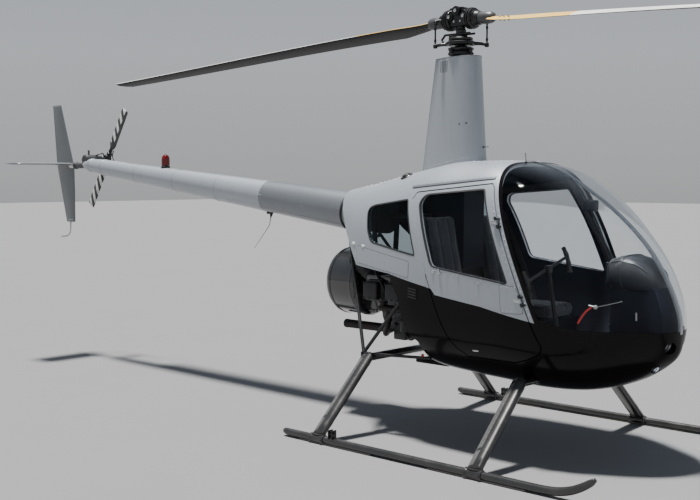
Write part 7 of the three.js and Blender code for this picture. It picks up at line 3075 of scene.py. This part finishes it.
    def _stick(self) -> None:
        """Build the cyclic stick with its boot, crossbar and grips."""
        stick = Forge()
        stick.tube(route(self.stick), 0.0140, 24)
        stick.block(spot(680, -26, 1098), spot(714, 26, 1144), 7, 3)
        stick.rod(spot(690, -225, 1056), spot(690, 225, 1186), 0.0098, 20)
        for y in (-34, 34):
            stick.bolt(spot(682, y * 0.4, 1120), AFT, 6, 5)
        stick.turned(spot(718, 0, 1000), Vector((-0.16, 0, 1)),
                     [(0, 0), (0, 17), (2, 18), (14, 18), (16, 17), (16, 0)], 24)
        stick.piece("cyclic_tube", [DARK_STEEL], "dark_steel", nodes=("cyclic_stick",))
        grips = Forge()
        for y, z in ((-228, 1056), (228, 1186)):
            points = route([(714, y, z - 96), (706, y, z - 60), (699, y, z - 26), (684, y, z + 16),
                            (662, y, z + 58)], 5)
            sizes = [0.0148 + 0.0016 * math.sin(i * 0.95) for i in range(len(points))]
            grips.tube(points, sizes, 22)
            grips.dome(spot(664, y, z + 54), Vector((-0.3, 0, 1)), 14, 9, 18)
            grips.turned(spot(672, y, z + 40), Vector((-0.8, 0, 0.5)),
                         [(0, 0), (0, 7), (14, 7), (16, 5), (19, 5), (20, 0)], 14)
            grips.turned(spot(713, y, z - 92), Vector((0.1, 0, -1)),
                         [(0, 0), (0, 15), (2, 18), (6, 18), (9, 15), (9, 0)], 20)
        grips.turned(spot(800, 0, 552), Vector((-0.06, 0, 1)),
                     [(0, 0), (0, 47), (4, 48), (9, 41), (14, 43), (19, 36), (25, 38), (30, 31), (36, 33),
                      (42, 26), (48, 27), (56, 20), (60, 14), (60, 0)], 36)
        grips.piece("cyclic_grips_and_boot", [RUBBER], "cabin_trim", sharp=50)

    def _pedals(self) -> None:
        """Build the foot pedals with their arms and ribbed pads."""
        arms, pads = Forge(), Forge()
        arms.block(spot(1038, -320, 552.3), spot(1074, 320, 572), 4, 2)
        for side in (-1, 1):
            for y in (300, 184):
                arms.tube(route([(1056, side * y, 566), (1085, side * y, 660), (1080, side * y, 735)], 5),
                          0.0078, 16)
                arms.turned(spot(1056, side * y, 560), Vector((0.1, 0, 1)),
                            [(0, 0), (0, 15), (16, 14), (22, 9), (22, 0)], 20)
                x0, x1 = 1073, 1087
                pads.block(spot(x0, side * y - 41, 701), spot(x1, side * y + 41, 769), 5, 3)
                for k in range(7):
                    pads.block(spot(x0 - 1.4, side * y - 37, 706 + k * 9),
                               spot(x0 + 2, side * y + 37, 710 + k * 9), 0.8, 1)
        arms.piece("pedal_arms", [DARK_STEEL], "dark_steel", nodes=("pedals",))
        pads.piece("pedal_pads", [RUBBER], "cabin_trim")

    def _levers(self) -> None:
        """Fit the height levers beside the seats and the handle by the column."""
        levers, grips = Forge(), Forge()
        for side in (-1, 1):
            y = 92 if side > 0 else 458
            start, end = spot(190, side * y, 792), spot(420, side * y, 892)
            levers.rod(start, end, 0.011, 18)
            way = (end - start).normalized()
            grips.turned(end - way * 0.004, way,
                         [(0, 0), (0, 15), (4, 17), (18, 15.5), (40, 17), (62, 15.5), (92, 17), (108, 17),
                          (114, 12), (114, 0)], 24)
            levers.turned(start - way * 0.010, way, [(0, 0), (0, 17), (24, 17), (28, 11), (28, 0)], 20)
        levers.piece("height_levers", [DARK_STEEL], "dark_steel")
        grips.piece("height_lever_grips", [RUBBER], "cabin_trim", sharp=50)

    def _lamps(self) -> None:
        """Build the two nose lamps and the chin lamp with their rims, reflectors and lenses."""
        for side, word in SIDES:
            rim, lens = Forge(), Forge()
            start = spot(1506, side * 78, 743)
            way = Vector((105, 0, -40)).normalized()
            rim.turned(start, way, [(0, 0), (0, 35), (44, 35.5), (47, 34), (48, 31), (40, 29.5), (34, 28),
                                    (12, 12), (8, 0)], 44)
            lens.turned(start + way * 0.036, way,
                        [(0, 0), (0, 29), (3, 29), (7, 24), (10, 16), (11.5, 8), (12, 0)], 44)
            rim.piece(f"nose_lamp_rim_{word}", [BRIGHT_STEEL], "lamp_glass", nodes=(f"nose_lamp_{word}",))
            lens.piece(f"nose_lamp_lens_{word}", [LENS_DARK], "lamp_glass", sharp=60)
        shell, lens = Forge(), Forge()
        way = Vector((0.75, -0.25, -0.6)).normalized()
        start = spot(1455, -60, 600) - way * 0.030
        shell.turned(start, way, [(0, 0), (0, 31), (50, 32), (58, 29), (60, 26), (52, 25), (48, 20), (40, 0)],
                     44)
        lens.turned(start + way * 0.050, way,
                    [(0, 0), (0, 25.6), (3, 25.6), (8, 20), (11, 12), (12.5, 5), (13, 0)], 44)
        shell.piece("chin_lamp_shell", [DARK_STEEL], "lamp_glass", nodes=("chin_lamp",))
        lens.piece("chin_lamp_lens", [LENS_BRIGHT], "lamp_glass", sharp=60)


# The studio


@dataclass
class Studio:
    """A pale floor, soft light and the camera."""

    eye: tuple[float, float, float] = (4.9693, -5.84, 1.698)
    heading: float = 132.861
    dip: float = 3.8353
    focal: float = 1088.048
    picture_width: float = 700.0
    sensor: float = 36.0
    to_sun: tuple[float, float, float] = (-0.27, -0.10, 1.78)

    def build(self) -> None:
        """Build the studio and look through its camera."""
        self._floor()
        self._light()
        self._camera()

    def _floor(self) -> None:
        """Lay the floor."""
        forge = Forge()
        bmesh.ops.create_grid(forge.bm, x_segments=8, y_segments=8, size=60.0)
        mesh = bpy.data.meshes.new("floor")
        forge.bm.to_mesh(mesh)
        forge.bm.free()
        mesh.materials.append(FLOOR.build())
        floor = bpy.data.objects.new("floor", mesh)
        bpy.context.scene.collection.objects.link(floor)

    def _light(self) -> None:
        """Set the soft surroundings and a broad lamp high above."""
        world = bpy.data.worlds.new("soft surroundings")
        bpy.context.scene.world = world
        world.use_nodes = True
        world.node_tree.nodes.clear()
        graph = Graph(world.node_tree)
        up = graph.add("SeparateXYZ", {0: graph.add("TexCoord").outputs["Generated"]}).outputs[2]
        height = graph.span(up, -0.2, 1.0)
        ramp = graph.add("ValToRGB", {0: height})
        stops = ((0.0, (0.22, 0.22, 0.22)), (0.166, (0.56, 0.57, 0.58)), (0.26, (0.64, 0.67, 0.71)),
                 (0.5, (0.40, 0.45, 0.53)), (1.0, (0.30, 0.36, 0.46)))
        ramp.color_ramp.elements.remove(ramp.color_ramp.elements[0])
        ramp.color_ramp.elements[0].position = stops[0][0]
        for place, value in stops[1:]:
            ramp.color_ramp.elements.new(place)
        for element, (_, value) in zip(ramp.color_ramp.elements, stops):
            element.color = (*value, 1.0)
        glow = graph.add("Background", {"Color": ramp.outputs[0], "Strength": 0.76})
        graph.add("OutputWorld", {0: glow.outputs[0]})
        lamp = bpy.data.lights.new("high lamp", "SUN")
        lamp.energy = 10.5
        lamp.angle = math.radians(6)
        lamp.color = (1.0, 0.985, 0.96)
        high = bpy.data.objects.new("high lamp", lamp)
        high.rotation_euler = Vector(self.to_sun).to_track_quat("Z", "Y").to_euler()
        bpy.context.scene.collection.objects.link(high)

    def _camera(self) -> None:
        """Set the camera at the picture's place and angle."""
        data = bpy.data.cameras.new("camera")
        data.sensor_width = self.sensor
        data.lens = self.focal / self.picture_width * self.sensor
        data.clip_end = 200.0
        camera = bpy.data.objects.new("camera", data)
        camera.location = self.eye
        turn, dip = math.radians(self.heading), math.radians(self.dip)
        ahead = Vector((math.cos(turn) * math.cos(dip), math.sin(turn) * math.cos(dip), -math.sin(dip)))
        camera.rotation_euler = ahead.to_track_quat("-Z", "Y").to_euler()
        bpy.context.scene.collection.objects.link(camera)
        bpy.context.scene.camera = camera


def main() -> None:
    """Build the helicopter's looks on its frame, and the studio around it."""
    logging.basicConfig(level=logging.INFO, format="%(message)s")
    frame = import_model()
    Studio().build()
    form = HullForm()
    boom = TailBoom()
    MastAndFairing(form).build()
    MainRotor().build()
    boom.build()
    TailGroup(boom).build()
    LandingGear().build()
    EngineBay(form, frame).build()
    CabinShell(form, PanelLines()).build()
    Cabin(frame).build()


if __name__ == "__main__":
    main()
